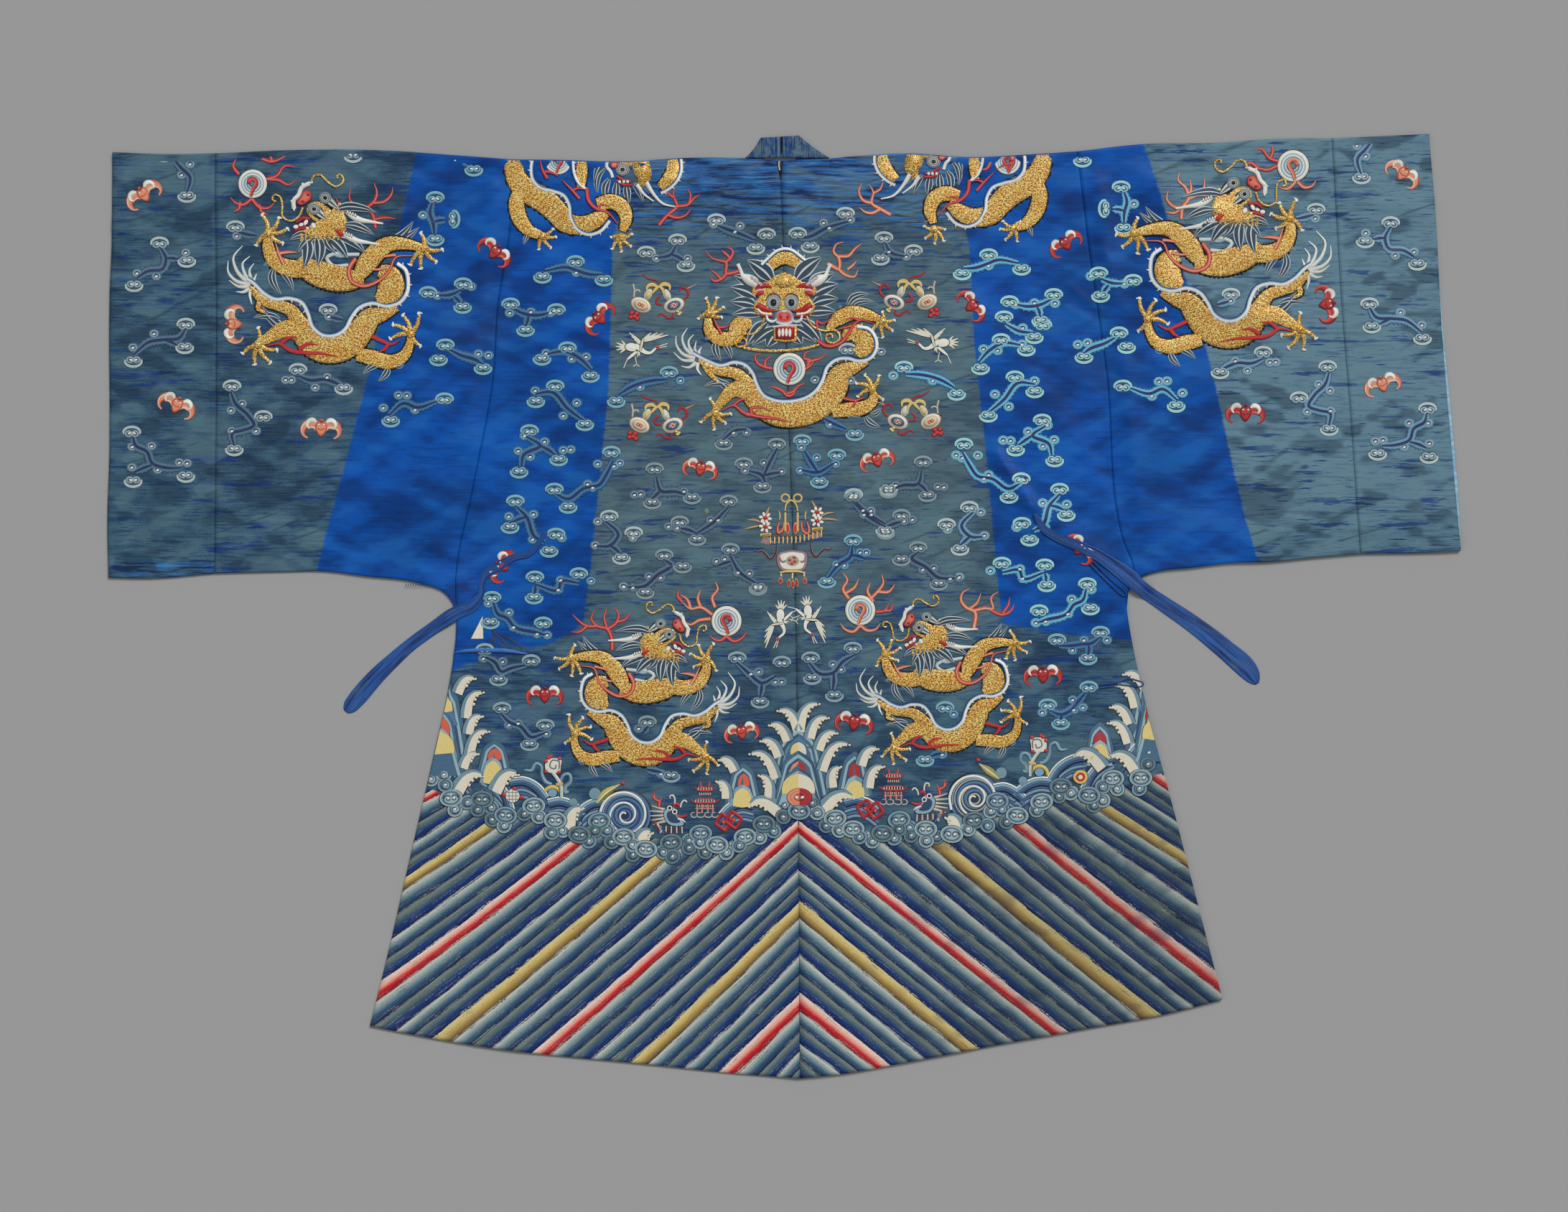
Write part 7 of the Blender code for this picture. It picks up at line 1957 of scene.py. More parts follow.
def pavilion(work, x, y, mirror=False):
    """A two-storeyed pavilion on curled clouds: red roofs, pale railings and pink pillars."""
    work.pose(x, y, 1.0, 0, mirror)
    line = ((196, 66, 58), (214, 196, 172), (206, 134, 122))
    work.ribbon(((-6, -22, 2), (-6, -16, 3), (0, -13.5, 3), (6, -16, 3), (6, -22, 2)), ((1, line[0]),), 0.6,
        0.15, 1.8)
    for rise, half in ((-9, 14), (8, 20)):
        work.ribbon(((-half, rise - 5, 1.6), (-half * 0.7, rise - 1, 3), (0, rise, 3.4),
            (half * 0.7, rise - 1, 3), (half, rise - 5, 1.6)), ((1, (170, 34, 40)),), 0.7, 0.2, 2.4)
        work.ribbon(((-half * 0.55, rise - 5.5, 1.8), (half * 0.55, rise - 5.5, 1.8)), ((1, line[0]),), 0.6,
            0.1, 4)
        for k in np.linspace(-0.72, 0.72, 8 if half > 14 else 6):
            work.line(((k * half * 0.86, rise - 5), (k * half * 0.94, rise - 1)), 1.5, line[1], 0.9,
                pitch=3)
            work.line(((k * half * 0.72, rise + 2.5), (k * half * 0.72, rise + 6)), 1.3, line[1], 0.6,
                pitch=3)
    for k in (-11, -4, 4, 11):
        work.line(((k, 10), (k, 22)), 2.4, line[2], 0.6, pitch=3)
    work.line(((-13, 16), (13, 16)), 1.6, line[2], 0.7, pitch=4)
    for k, wide in ((-15, 4.5), (-6, 5.5), (5, 5.5), (14, 4.5)):
        work.arc(k, 24.5, wide, 3.6, -10, 290, 1.6, (196, 186, 172), 0.6, pitch=1.8)


def fish_head(work, x, y, mirror=False):
    """A sea creature's head rising from the waves: round eyes, red mouth, pale mane, hooked whiskers."""
    work.pose(x, y, 1.0, 0, mirror)
    for tip_x, tip_y, root_y in ((-30, -14, -8), (-33, -7, -5), (-33, 0, -1), (-31, 6, 3), (-28, 12, 7)):
        work.line(((-10, root_y), (-20, (tip_y + root_y) / 2), (tip_x, tip_y)), 4.2, (206, 196, 172), 0.5,
            pitch=2.2, taper=True)
    for k in range(9):
        work.line(((-17 + 3.6 * k, 14), (-18 + 3.8 * k, 24)), 2.0, ((206, 196, 172), (92, 50, 48))[k % 2],
            0.5, pitch=3)
    for k, shade in enumerate(((150, 40, 44), (206, 196, 172), WAVE_BLUE, NAVY)):
        work.line(((-26 + 3.5 * k, 8 + 3 * k), (-19 + 3.5 * k, 20 + 2.4 * k)), 3.2, shade, 0.55, pitch=3)
    work.star((-1, 2), ((-13, -8), (-6, -13), (4, -11), (6, -3), (13, 6), (16, 12), (4, 15), (-8, 11)),
              ((0.62, (34, 64, 98)), (0.92, (140, 172, 190)), (1, DARK)), 0.7, 0.5)
    work.ribbon(((5, -2, 2), (10, 1, 3.5), (16, 0, 3), (20, -2, 1.5)), ((1, (186, 30, 38)),), 1.1, 0.2, 2)
    work.ribbon(((6, 4, 1.5), (12, 5, 2.5), (17, 9, 1.2)), ((1, WHITE),), 1.2, 0.2, 2)
    for ex, ey in ((-5, -11), (2, -6)):
        work.disc(ex, ey, 4.2, 4.0, ((0.55, BLACK), (0.9, WHITE), (1, DARK)), 1.2, 0.3, sides=12)
    work.ribbon(((0, -12, 3), (4, -17, 5), (9, -14, 3)), ((1, (176, 34, 38)),), 1.0, 0.2, 2)
    work.ribbon(((2, -17, 2), (2, -24, 2.2), (-1, -29, 2.2), (-5, -27, 1.8), (-4, -24, 1.4)), ((1, FOAM),),
        1.0, 0.1, 1.8)
    work.ribbon(((10, -12, 2), (12, -19, 2.2), (16, -22, 2.2), (19, -19, 1.8)), ((1, FOAM),), 1.0, 0.1, 1.8)
    coral(work, (((-20, -12), (-19, -20), (-15, -27)), ((-19, -20), (-26, -24), (-30, -30)),
        ((-26, -24), (-27, -34))), 3.2)


def linked_lozenges(work, x, y, size=1.0, turn=0.0):
    """Two lozenges linked side by side, a plain sign of good fortune, each round a small coral disc."""
    work.pose(x, y, size, turn)
    for side in (-1, 1):
        points = ((side * 8 - 13, 0), (side * 8, -14), (side * 8 + 13, 0), (side * 8, 14),
            (side * 8 - 13, 0))
        for k in range(4):
            work.line(points[k:k + 2], 5.0, (174, 24, 32), 1.0 + 0.12 * side + 0.02 * k, 0.25, pitch=3)
        work.disc(side * 8, 0, 3.2, 3.6, ((0.6, CORAL), (1, (174, 24, 32))), 1.0, 0.3, sides=10)


def ruyi(work, x, y, mirror=False):
    """A sceptre head, coiled and white, with coral, red beads, a gold collar and pale ribbons."""
    work.pose(x, y, 1.0, 0, mirror)
    ribbon_floss = (124, 160, 174)
    work.ribbon(((-40, 6, 2), (-30, 7, 5), (-23, -3, 5), (-17, 0, 4), (-16, 12, 5), (-9, 24, 6),
        (-2, 26, 4)), ((0.2, ribbon_floss), (1, (78, 116, 138))), 0.45, 0.2, 2.6)
    work.ribbon(((9, 26, 4), (17, 12, 5), (22, 12, 5), (24, 22, 5), (16, 30, 7), (17, 38, 7), (22, 36, 3)),
                ((0.2, ribbon_floss), (1, (78, 116, 138))), 0.45, 0.2, 2.6)
    work.arc(-1, 42, 12, 12.5, 180, 360, 5, (216, 190, 96), 0.6, 0.3, taper=0.2)
    work.disc(-1, 38, 8, 7, ((0.8, (116, 160, 190)), (1, DARK)), 0.5, 0.2)
    work.ribbon(((-2, 9, 5), (5, 18, 6), (10, 28, 6), (11, 44, 5)),
        ((-0.2, FOAM), (0.6, (150, 176, 188)), (1, DARK)), 0.8, 0.25, 2.4)
    work.ribbon(((4, 27, 5), (14, 25, 5)), ((1, (206, 170, 80)),), 1.0, 0.2, 2.4)
    work.star((1, 0), ((-9, -9), (2, -11), (12, -9), (11, 1), (10, 9), (-1, 11), (-10, 8), (-12, 0)),
              ((0.94, (226, 222, 206)), (1, DARK)), 0.8, 0.4)
    work.ribbon(((8, 5, 1.8), (8, -6, 1.8), (-2, -7, 1.8), (-4, 2, 1.8), (3, 4, 1.8), (4, -1, 1.8)),
        ((1, (96, 116, 124)),), 1.2, 0.1, 1.8)
    for bead_x, bead_y, r in ((9, -10, 3), (8, 9, 2.8), (-10, 8, 2.8), (-6, -11, 3), (-10, -6, 3),
            (-3, -13, 2.6)):
        work.disc(bead_x, bead_y, r, r * 0.9, ((1, (204, 60, 54)),), 1.2, 0.3, sides=8)


def sew_waves(work):
    """The sea along the hem: hills, rolled waves, foam, treasures and the curled swell in front."""
    work.pose(0, 0)
    for rows in HILLS:
        hill(work, rows)
    for path in WAVE_ARCS:
        middle = np.array(path, float)
        facing = 1 if middle[-1][0] > middle[0][0] else -1
        wave_arc(work, middle if facing > 0 else middle[::-1])
    for k, (root, tip, side) in enumerate(FOAMS):
        foam(work, root, tip, side, 22.0 if k < SEA_FOAMS else 16.0)
    big_spiral(work, 871, 1135, 36, (74, 116, 158))
    big_spiral(work, 1357, 1112, 36, (178, 180, 128))
    pavilion(work, 982, 1110)
    pavilion(work, 1244, 1092, mirror=True)
    fish_head(work, 938, 1136)
    fish_head(work, 1289, 1119, mirror=True)
    linked_lozenges(work, 1015, 1143, 0.9, -12)
    linked_lozenges(work, 1212, 1127, 0.9, 12)
    ruyi(work, 771, 1066)
    ruyi(work, 1446, 1037, mirror=True)
    work.pose(0, 0)
    for edge_x, edge_y in ((605, 1066), (1605, 1036)):
        work.disc(edge_x, edge_y, 14, 14, ((0.25, DEEP_RED), (0.55, CORAL), (0.62, DEEP_RED),
            (0.94, SALMON), (1, DARK)), 1.0, 0.3)
    work.disc(714.5, 1108, 10.5, 10, ((0.93, (222, 222, 210)), (1, DARK)), 1.2, 0.4)
    for k in (-5, 0, 5):
        work.line(((714.5 + k, 1100), (714.5 + k * 0.9, 1116)), 0.9, (130, 126, 116), 1.6, pitch=4)
        work.line(((706, 1108 + k), (723, 1108 + k * 0.9)), 0.9, (130, 126, 116), 1.6, pitch=4)
    work.star((1504, 1082), ((1493, 1082), (1500, 1072), (1511, 1073), (1515, 1082), (1509, 1091),
        (1498, 1090)), ((0.3, CREAM), (0.6, RED), (0.92, (216, 190, 96)), (1, DARK)), 1.1, 0.4)
    for bead_x, bead_y in ((717, 1098), (703, 1107), (727, 1110), (868, 1090.5), (1362, 1058)):
        work.disc(bead_x, bead_y, 3, 2.8, ((1, (204, 44, 46)),), 1.4, 0.3, sides=8)
    for root, tip in (((832, 1118), (864, 1092)), ((1391, 1084), (1363, 1063))):
        (x0, y0), (x1, y1) = root, tip
        work.ribbon(((x0, y0, 4), (x0 * 0.6 + x1 * 0.4 - 2, y0 * 0.6 + y1 * 0.4 - 2, 11), (x1, y1, 1.5)),
                    ((-0.1, (196, 182, 96)), (0.16, WHITE), (1, (140, 134, 62))), 0.8, 0.3, 2.6)
    for moon_x, moon_y, r in ((829, 1105, 9), (1394, 1076, 8.5), (799, 1117, 6.5), (1424, 1087, 6.5)):
        work.disc(moon_x, moon_y, r, r, ((0.92, (112, 148, 162)), (1, DARK)), 0.7, 0.3)
    for k, (x, y) in enumerate(WAVE_CURLS):
        wave_curl(work, x, y, SWELLS[(k * 7 + k // 3) % 3], 0.9 + 0.15 * (k % 3), 17 * (k % 5) - 34)
    for k, (x, y) in enumerate(WAVE_HEADS):
        wave_head(work, x, y, SWELLS[(k * 5 + k // 4) % 3], 1.15 + 0.15 * (k % 3), 5 * (k % 3) - 5)
    work.pose(0, 0)
    for side, shades in ((-1, (SALMON, CORAL)), (1, (RED, DEEP_RED))):
        angle = np.radians(np.linspace(90, 270, 13) if side < 0 else np.linspace(-90, 90, 13))
        rim = np.column_stack([1113.5 + 18 * np.cos(angle), 1110 + 13 * np.sin(angle)])
        out = np.array([0, 0.36, 0.42, 0.66, 0.72, 0.95, 1.0])
        tones = np.array([shades[1], DARK, shades[0], shades[1], shades[0], DARK], float)
        x = 1113.5 + (rim[:, :1] - 1113.5) * out
        y = 1110 + (rim[:, 1:] - 1110) * out
        work.patch(x, y, np.broadcast_to(1.6 + 0.4 * (1 - out**2), x.shape),
                   np.broadcast_to(tones, (len(rim) - 1, 6, 3)), np.arange(len(rim))[:, None] * 3.0 + 0 * x)
    for side in (-1, 1):
        work.disc(1113.5 + side * 4, 1110, 3, 2, ((1, WHITE),), 2.15, 0.15, turn=-20 * side, sides=8)


TAN = (176, 156, 118)
MAUVE = (150, 118, 124)


def feather(work, root, tip, width, lift=0.5):
    """One long feather: cream with a dark outline, pointed at its end."""
    (x0, y0), (x1, y1) = root, tip
    work.ribbon(((x0, y0, width * 0.8), ((x0 + x1) / 2, (y0 + y1) / 2, width), (x1, y1, width * 0.35)),
                ((-0.72, DARK), (0.30, CREAM), (0.72, WHITE), (1, DARK)), lift, 0.2, pitch=3.0)


def crane(work, x, y, size=1.0, turn=0.0, mirror=False):
    """A crane in flight, seen from its side: two fanned wings, an oval body, a bent neck and thin legs."""
    work.pose(x, y, size, turn, mirror)
    for tip in ((-34, -2), (-35, 3), (-34, 8), (-29, 12), (-27, -5)):
        feather(work, (-19, 4), tip, 4.0, 0.35)
    for tip in ((-16, -16), (-13, -11), (-9, -6), (-6, -2)):
        feather(work, (2, -1), tip, 4.4, 0.5)
    for tip in ((38, -13), (31, -15), (23, -16), (14, -16), (25, -9)):
        feather(work, (1, -4), tip, 4.6, 0.55)
    for tip in ((-5, 18), (-9, 16), (-2, 16)):
        feather(work, (-2, 8), tip, 3.0, 0.45)
    work.ribbon(((-6, 10, 5), (-13, 16, 5.5), (-19, 21, 3)), ((-0.7, DARK), (0.7, WHITE), (1, DARK)), 0.6,
        0.3, pitch=2.5)
    for leg in (((-19, 21), (-24, 33)), ((-8, 17), (-6, 28)), ((-6, 28), (-11, 31)), ((-6, 28), (-2, 31))):
        work.line(leg, 1.3, CREAM, 0.5, 0.05)
    work.disc(-13, 4, 10, 6.6, ((0.80, WHITE), (0.90, CREAM), (1, DARK)), 0.75, 0.6, turn=6, sides=14)
    work.ribbon(((-8, 2, 9), (-1, 6, 9), (6, 11, 6.4), (13, 12, 4.6), (18, 8, 4), (21, 5, 3.4)),
                ((-0.78, DARK), (0.78, WHITE), (1, DARK)), 0.9, 0.4, pitch=2.5)
    work.ribbon(((3, -7, 4), (1, 1, 5), (-1, 9, 3)), ((-0.6, DARK), (0.6, CREAM), (1, DARK)), 1.2, 0.2,
        pitch=2.5)
    work.disc(23, 4, 3.4, 3.2, ((0.36, DARK), (0.9, (182, 92, 96)), (1, DARK)), 1.0, 0.3, sides=10)
    work.line(((25, 3), (37, -1)), 1.5, CREAM, 0.9, 0.05)
    work.line(((25, 5), (36, 3)), 1.4, CREAM, 0.9, 0.05)
    work.pose(0, 0)


# Cranes: sheet place, size, turn and whether mirrored
CRANES = ((893, 480, 1.0, 0, False), (1300, 474, 1.0, 0, True), (1082, 868, 0.94, -84, True),
    (1131, 862, 0.94, 80, False))


def gourd(work, x, y, tilt, body, heart):
    """A gourd with its small upper bulb at one end and a coin in its middle."""
    c, s = math.cos(math.radians(tilt)), math.sin(math.radians(tilt))
    side = 1 if tilt > 0 else -1
    top_x, top_y = x + side * 10, y - 14.5
    for wide, colour, lift in ((1.0, (176, 132, 60), 0.30), (0.92, WHITE, 0.42), (0.72, body, 0.55)):
        work.disc(top_x, top_y, 5.4 * wide, 9.0 * wide, ((1, colour),), lift, 0.3, turn=side * 26, sides=14)
        work.disc(x, y, 15.4 * wide, 10.6 * wide, ((1, colour),), lift, 0.35, turn=tilt, sides=20)
    work.disc(x, y, 9.6, 6.0, ((0.55, body), (1, heart)), 0.8, 0.2, turn=tilt, sides=16)
    for shift in (-2.2, 2.2):
        middle_x, middle_y = x + c * shift, y + s * shift
        work.star((middle_x, middle_y), ((middle_x - 3, middle_y), (middle_x, middle_y - 3),
            (middle_x + 3, middle_y), (middle_x, middle_y + 3)), ((0.46, body), (1, RED)), 1.0, 0.1,
            smooth=False)


def gourds(work, x, y, mirror=False):
    """Two gourds hung from a gold bow, with red vines and flowers."""
    work.pose(x, y, 1.0, 0.0, mirror)
    red = ((-0.3, DEEP_RED), (1, RED))
    work.ribbon(((-22, -34, 1.6), (-15, -29, 2.4), (-9, -27, 2.6), (-3, -26, 2.4), (3, -21, 2)), red, 0.5,
        0.2)
    work.ribbon(((29, -10, 2.4), (33, -16, 3.4), (40, -13, 3.6), (42, -7, 3.6), (36, 1, 2.6)), red, 0.5,
        0.2, pitch=2.0)
    work.line(((39, -14), (53, -20)), 2.4, (224, 150, 92), 0.5, 0.1, taper=True)
    work.ribbon(((3, -4, 2.6), (-2, 0, 3.4), (-2, 6, 3.6), (6, 8, 3)), red, 0.5, 0.2, pitch=2.0)
    work.ribbon(((-1, 25, 1.8), (3, 21, 2.4), (9, 23, 3), (15, 27, 3.4), (21, 24, 3), (20, 19, 2)), red,
        0.5, 0.2, pitch=2.0)
    work.line(((-35, -21), (-33, -12), (-34, -3)), 2.4, (206, 186, 170), 0.5, 0.1)
    work.line(((-32, -11), (-28, -13), (-25, -10)), 2.2, (206, 186, 170), 0.5, 0.1)
    for petal in ((-37, 19), (-33, 24), (-29, 27), (-30, 20), (-38, 25)):
        work.disc(*petal, 3.8, 3.4, ((0.6, (214, 46, 44)), (1, DEEP_RED)), 0.6, 0.3, sides=9)
    for petal in ((27, 17), (31, 19), (29, 21)):
        work.disc(*petal, 3.2, 2.4, ((0.7, YELLOW), (1, (120, 90, 40))), 0.6, 0.3, sides=8)
    gourd(work, -24, 8.4, 25, (216, 196, 140), (222, 196, 176))
    gourd(work, 22, 8.8, -20, (214, 214, 196), (64, 84, 112))
    for leaf in (((0, -16, 3), (-8, -20, 6.5), (-15, -17, 5), (-16, -12, 2)),
            ((0, -16, 3), (8, -21, 7), (16, -18, 5), (16, -12, 2)),
            ((2, -18, 3), (-4, -13, 5), (-8, -8, 2.5)), ((2, -18, 4), (7, -12, 5), (8, -7, 3))):
        work.ribbon(leaf, ((-0.75, (116, 84, 40)), (0.2, (212, 186, 112)), (0.75, YELLOW),
            (1, (116, 84, 40))), 0.8, 0.4, pitch=2.2, wavy=0.25)
    work.pose(0, 0)


def flower(work, x, y):
    """A six-petalled flower with a red heart."""
    radius = 10.2
    for angle in np.radians(np.arange(0, 360, 60) + 12):
        work.disc(x + 0.60 * radius * math.cos(angle), y + 0.52 * radius * math.sin(angle), radius * 0.42,
            radius * 0.26, ((0.72, WHITE), (1, (110, 96, 84))), 0.6, 0.3, turn=math.degrees(angle),
            sides=10)
    work.disc(x, y, 3.5, 2.8, ((1, (196, 34, 34)),), 1.0, 0.2, sides=8)


def vase(work, x, y):
    """A vase hung with flowers, red drops, a fringe and two waving cords."""
    work.pose(x, y)
    brown = (92, 62, 40)
    gold = ((-0.7, brown), (0.7, (222, 190, 112)), (1, brown))
    cord = ((23.5, -20, 2.4), (25, -8, 4), (32, 0, 4.2), (38, -6, 3.8), (44, -11, 3.6), (49, -10, 3),
        (54, -13, 1.6))
    ear = ((19, -52, 2), (22, -42, 4), (20.5, -36, 4.6), (15, -39, 4.4), (12, -52, 2.4))
    for side in (-1, 1):
        lean = 3 if side > 0 else 0
        work.ribbon([(side * px + 1, py - lean, w) for px, py, w in cord],
                    ((-0.62, MAUVE), (0.62, (34, 20, 28)), (1, MAUVE)), 0.5, 0.2, pitch=2.4)
        work.ribbon([(side * px + 0.5, py, w) for px, py, w in ear],
                    ((-0.5, CORAL), (0.2, SALMON), (1, RED)), 0.7, 0.3, pitch=2.2)
        work.disc(side * 5.6 - 1.6, -43, 3.4, 8.6, ((0.7, (206, 38, 36)), (1, SALMON)), 0.7, 0.4, sides=12)
        work.line(((side * 8.6 - 1.6, -65), (side * 8.6 - 1.6, -39)), 3.0, (222, 190, 112), 1.0, 0.3)
        work.arc(side * 8.6 - 1.6, -85, 5.6, 5.2, 0, 360, 2.6, (214, 184, 120), 0.7, taper=0.0, pitch=2.0)
        work.ribbon(((side * 19, -67, 1.4), (side * 17.5, -61, 2.6), (side * 18, -55, 1.6)), gold, 0.6, 0.2,
            pitch=2.2)
        base_x, base_y = 36 * side - 2, -43 - 8 * (side > 0) + 3
        for k in range(6):
            lean_x = (k - 2.5) * 2.6 - side * 2
            work.line(((base_x, base_y + 8), (base_x + lean_x * 1.3, base_y + 20 - abs(k - 2.5))), 2.4,
                (170, 134, 134), 0.5, 0.1)
        work.line(((base_x - 7, base_y + 6.5), (base_x + 8, base_y + 5.5)), 4.2, (220, 190, 96), 0.9, 0.3)
        work.line(((base_x - 5, base_y + 6.5), (base_x + 6, base_y + 5.5)), 1.0, brown, 1.3, 0.05)
        for reach_x, reach_y in ((-25, -9), (-29, 4), (6, -27)) if side < 0 else ((24, -11), (30, 0),
                (-8, -28)):
            work.ribbon(((base_x, base_y - 8, 1.6), (base_x + reach_x * 0.6, base_y - 8 + reach_y * 0.75,
                4.4), (base_x + reach_x, base_y - 6 + reach_y, 1.2)),
                ((-0.6, brown), (0.6, TAN), (1, brown)), 0.45, 0.2)
        flower(work, base_x, base_y - 5)
        flower(work, base_x, base_y - 17.5)
    work.ribbon(((-10.5, -67, 2.4), (-9, -76, 2.8), (-2, -82, 3), (5, -76, 2.8), (7, -67, 2.4)), gold, 0.8,
        0.2, pitch=2.2)
    work.line(((-33, -31), (-14, -32), (6, -32), (22, -35), (42, -41)), 1.4, brown, 0.6, 0.1)
    for k in range(13):
        top_x = -31 + k * 5.9
        top_y = np.interp(top_x, (-33, 6, 42), (-31, -32, -41))
        work.ribbon(((top_x, top_y, 2.6), (top_x + 0.3, top_y + 5, 3), (top_x, top_y + 9.5, 2)), gold, 0.5,
            0.2, pitch=3.0)
    body = ((-21, -8), (-22.6, 2), (-16.5, 15), (-8, 17), (8, 17), (16, 15), (21, 2), (19, -9.5), (8, -12),
        (0, -13), (-9, -12))
    work.star((0, 2), body, ((0.55, WHITE), (0.80, (232, 226, 210)), (0.97, MAUVE), (1, DARK)), 0.7, 0.7)
    for side in (-1, 1):
        work.arc(side * 13, -1, 4.2, 4.6, 90 - side * 120, 90 + side * 110, 3.0, MAUVE, 1.2, pitch=2.0)
        work.line(((side * 16, 17), (side * 16, 24)), 2.6, (226, 206, 160), 0.8, 0.2)
        work.disc(side * 17, 30, 3.4, 4.6, ((0.72, (186, 26, 34)), (1, TAN)), 0.8, 0.3, sides=10)
    work.disc(0, 2, 10, 8, ((0.9, (158, 168, 140)), (1, (220, 214, 196))), 1.35, 0.2, sides=12)
    for petal in ((-4, 1), (2.5, -2.5), (3, 3), (-1, 6)):
        work.disc(*petal, 2.9, 2.5, ((0.4, DEEP_RED), (1, (206, 84, 80))), 1.6, 0.15, sides=8)
    work.ribbon(((-18, 18.5, 2.6), (-8, 16.6, 4.2), (0, 16.6, 4.4), (8, 16.6, 4.2), (16, 18.5, 2.6)), gold,
        1.2, 0.3)
    work.line(((0, 19), (-0.5, 27)), 2.4, (226, 206, 160), 0.9, 0.2)
    for drop_x, lean in ((-5.5, 8), (0.3, 0), (5.6, -14)):
        work.disc(drop_x, 35 - abs(lean) * 0.2, 2.7, 6.4, ((0.72, (176, 22, 32)), (1, TAN)), 0.9, 0.3,
            turn=lean, sides=10)
    work.pose(0, 0)


def sew_marks(work):
    """The slit at the nape in painted shadow, the seam's stitches, a patch, and a pucker and its folds at the
    left side in painted shade and painted highlight.
    """
    # The slit: a painted shadow.
    work.star((1086, 233), ((1081, 222), (1091, 222), (1087.5, 252)), ((1, (10, 18, 44)),), 0.10, 0.02,
        smooth=False)
    work.line(((1085.4, 224), (1084.8, 232), (1086.2, 238)), 2.0, (186, 196, 176), 0.30, 0.1)
    work.star((667, 879), ((673, 857), (656, 890), (674, 890)),
        ((0.9, (226, 224, 206)), (1, (170, 174, 166))), 0.25, 0.1, smooth=False)
    # The pucker's folds: painted shade with a painted highlight along one edge.
    for fold in (((684, 866, 1.5), (688, 884, 4), (692, 906, 2)),
            ((688, 880, 1.5), (700, 892, 4.5), (714, 905, 2)),
            ((692, 881, 1.5), (710, 890, 4), (728, 903, 2)), ((680, 884, 1), (684, 896, 3), (684, 906, 2))):
        work.ribbon(fold, ((-0.4, (12, 34, 84)), (0.4, (10, 26, 66)), (1, (24, 74, 140))), 0.15, 0.3)
    # The pucker: a painted highlight on one side and painted shade on the other.
    work.ribbon(((633, 909, 2), (648, 907, 5), (680, 906, 6.5), (708, 907, 6), (735, 911, 2)),
        ((-0.62, (40, 120, 176)), (0.1, (14, 98, 182)), (0.62, (8, 70, 160)), (1, (10, 24, 66))), 0.4, 0.7,
        wavy=0.15)
    work.ribbon(((984, 708, 2), (984, 713, 9), (984, 719, 2)), ((1, (104, 122, 112)),), 0.02, 0.02)
    for k in range(46):
        y = 262 + k * 19.5
        x = np.interp(SHEET_Y * UNIT - y * UNIT, *(np.array(CENTRE_SEAM).T[::-1] * MM)) / UNIT + SHEET_X
        work.line(((x + 0.6, y), (x + 0.6, y + 9)), 1.3, (12, 22, 56), 0.14, 0.04, pitch=9.0)
    for k in range(30):
        x = 566 + k * 3.4
        y = 815 - max(0, (x - 620) / 46) * 2
        work.line(((x, y - 1.5), (x + 0.6, y + 1.5)), 1.1, (20, 40, 96), 0.2, 0.05, pitch=9.0)


def sew_emblems(work):
    for place in CRANES:
        crane(work, *place)
    for x, y, mirror in ((917, 417, False), (1267, 413, True), (915, 584, False), (1272, 579, True)):
        gourds(work, x, y, mirror)
    vase(work, 1104, 779)


# Ties from their sewn end to the tip: sheet x, y and width
TIE_LEFT_ROUTE = ((761, 741, 7), (750, 757.4, 7), (739, 770.6, 8), (716, 776.5, 10), (693, 790.5, 14),
    (678, 800, 12), (672.2, 812, 8), (671.3, 827, 9), (659, 843, 15), (636.5, 853.4, 19), (600.7, 877, 18),
    (572.5, 897.6, 18), (550, 917.4, 20), (523.5, 942.8, 23), (499, 971, 24), (482, 990.8, 19))
TIE_RIGHT_ROUTE = ((1441, 715, 6), (1446, 726.4, 9), (1454.4, 737.6, 10), (1469.4, 747, 12),
    (1498.6, 759.3, 14), (1526.8, 772.5, 16), (1549.4, 787.5, 19), (1570, 802.6, 23), (1590.8, 820.5, 20),
    (1619, 840.2, 21), (1663.3, 870.4, 24), (1703.8, 902.4, 27), (1739.5, 935.3, 26), (1750.8, 952.2, 15))
# Cord loops, from one sewn end out to the eye and back: sheet x, y
LOOP_WAIST_ROUTE = ((1530.6, 953.6), (1543.8, 952.2), (1558.8, 949.9), (1569.2, 945.6), (1579.5, 946.6),
    (1586.4, 948.6), (1590.4, 950.4), (1591.6, 952.8), (1590.2, 955.2), (1586.2, 956.2), (1578.6, 955.8),
    (1568.2, 954.6), (1557.9, 953.5), (1543.8, 956.2), (1530.6, 957.9))
LOOP_ARM_ROUTE = ((1517.4, 785.6), (1528.7, 797.9), (1541, 810), (1552.2, 820.5), (1560.7, 828),
    (1565.4, 829.9), (1567.8, 827.5), (1565.4, 823.3), (1557, 816.2), (1545.6, 806.4), (1533.4, 794),
    (1522, 782))
TIE_THICKNESS = 0.0007
CORD_RADIUS = 0.0011
NEAR = 0.009  # a tie or cord clears the silk this far round each of its points


def resting_z(plan, half, relief):
    """Heights at which a strip of half-thickness half lies on the robe, and past its edge on the table."""
    around = NEAR * np.array([[0, 0], [1, 0], [-1, 0], [0, 1], [0, -1]])
    far = plan + around[:, None, None]
    top = relief(far[..., 0], far[..., 1]).max(axis=0)
    past = -to_outline(plan[..., 0].ravel(), plan[..., 1].ravel(), robe_outline()).reshape(plan.shape[:2])
    drop = smoothstep((past - NEAR) / EDGE_DROP)
    return half + (top + LAY) * (1 - drop)


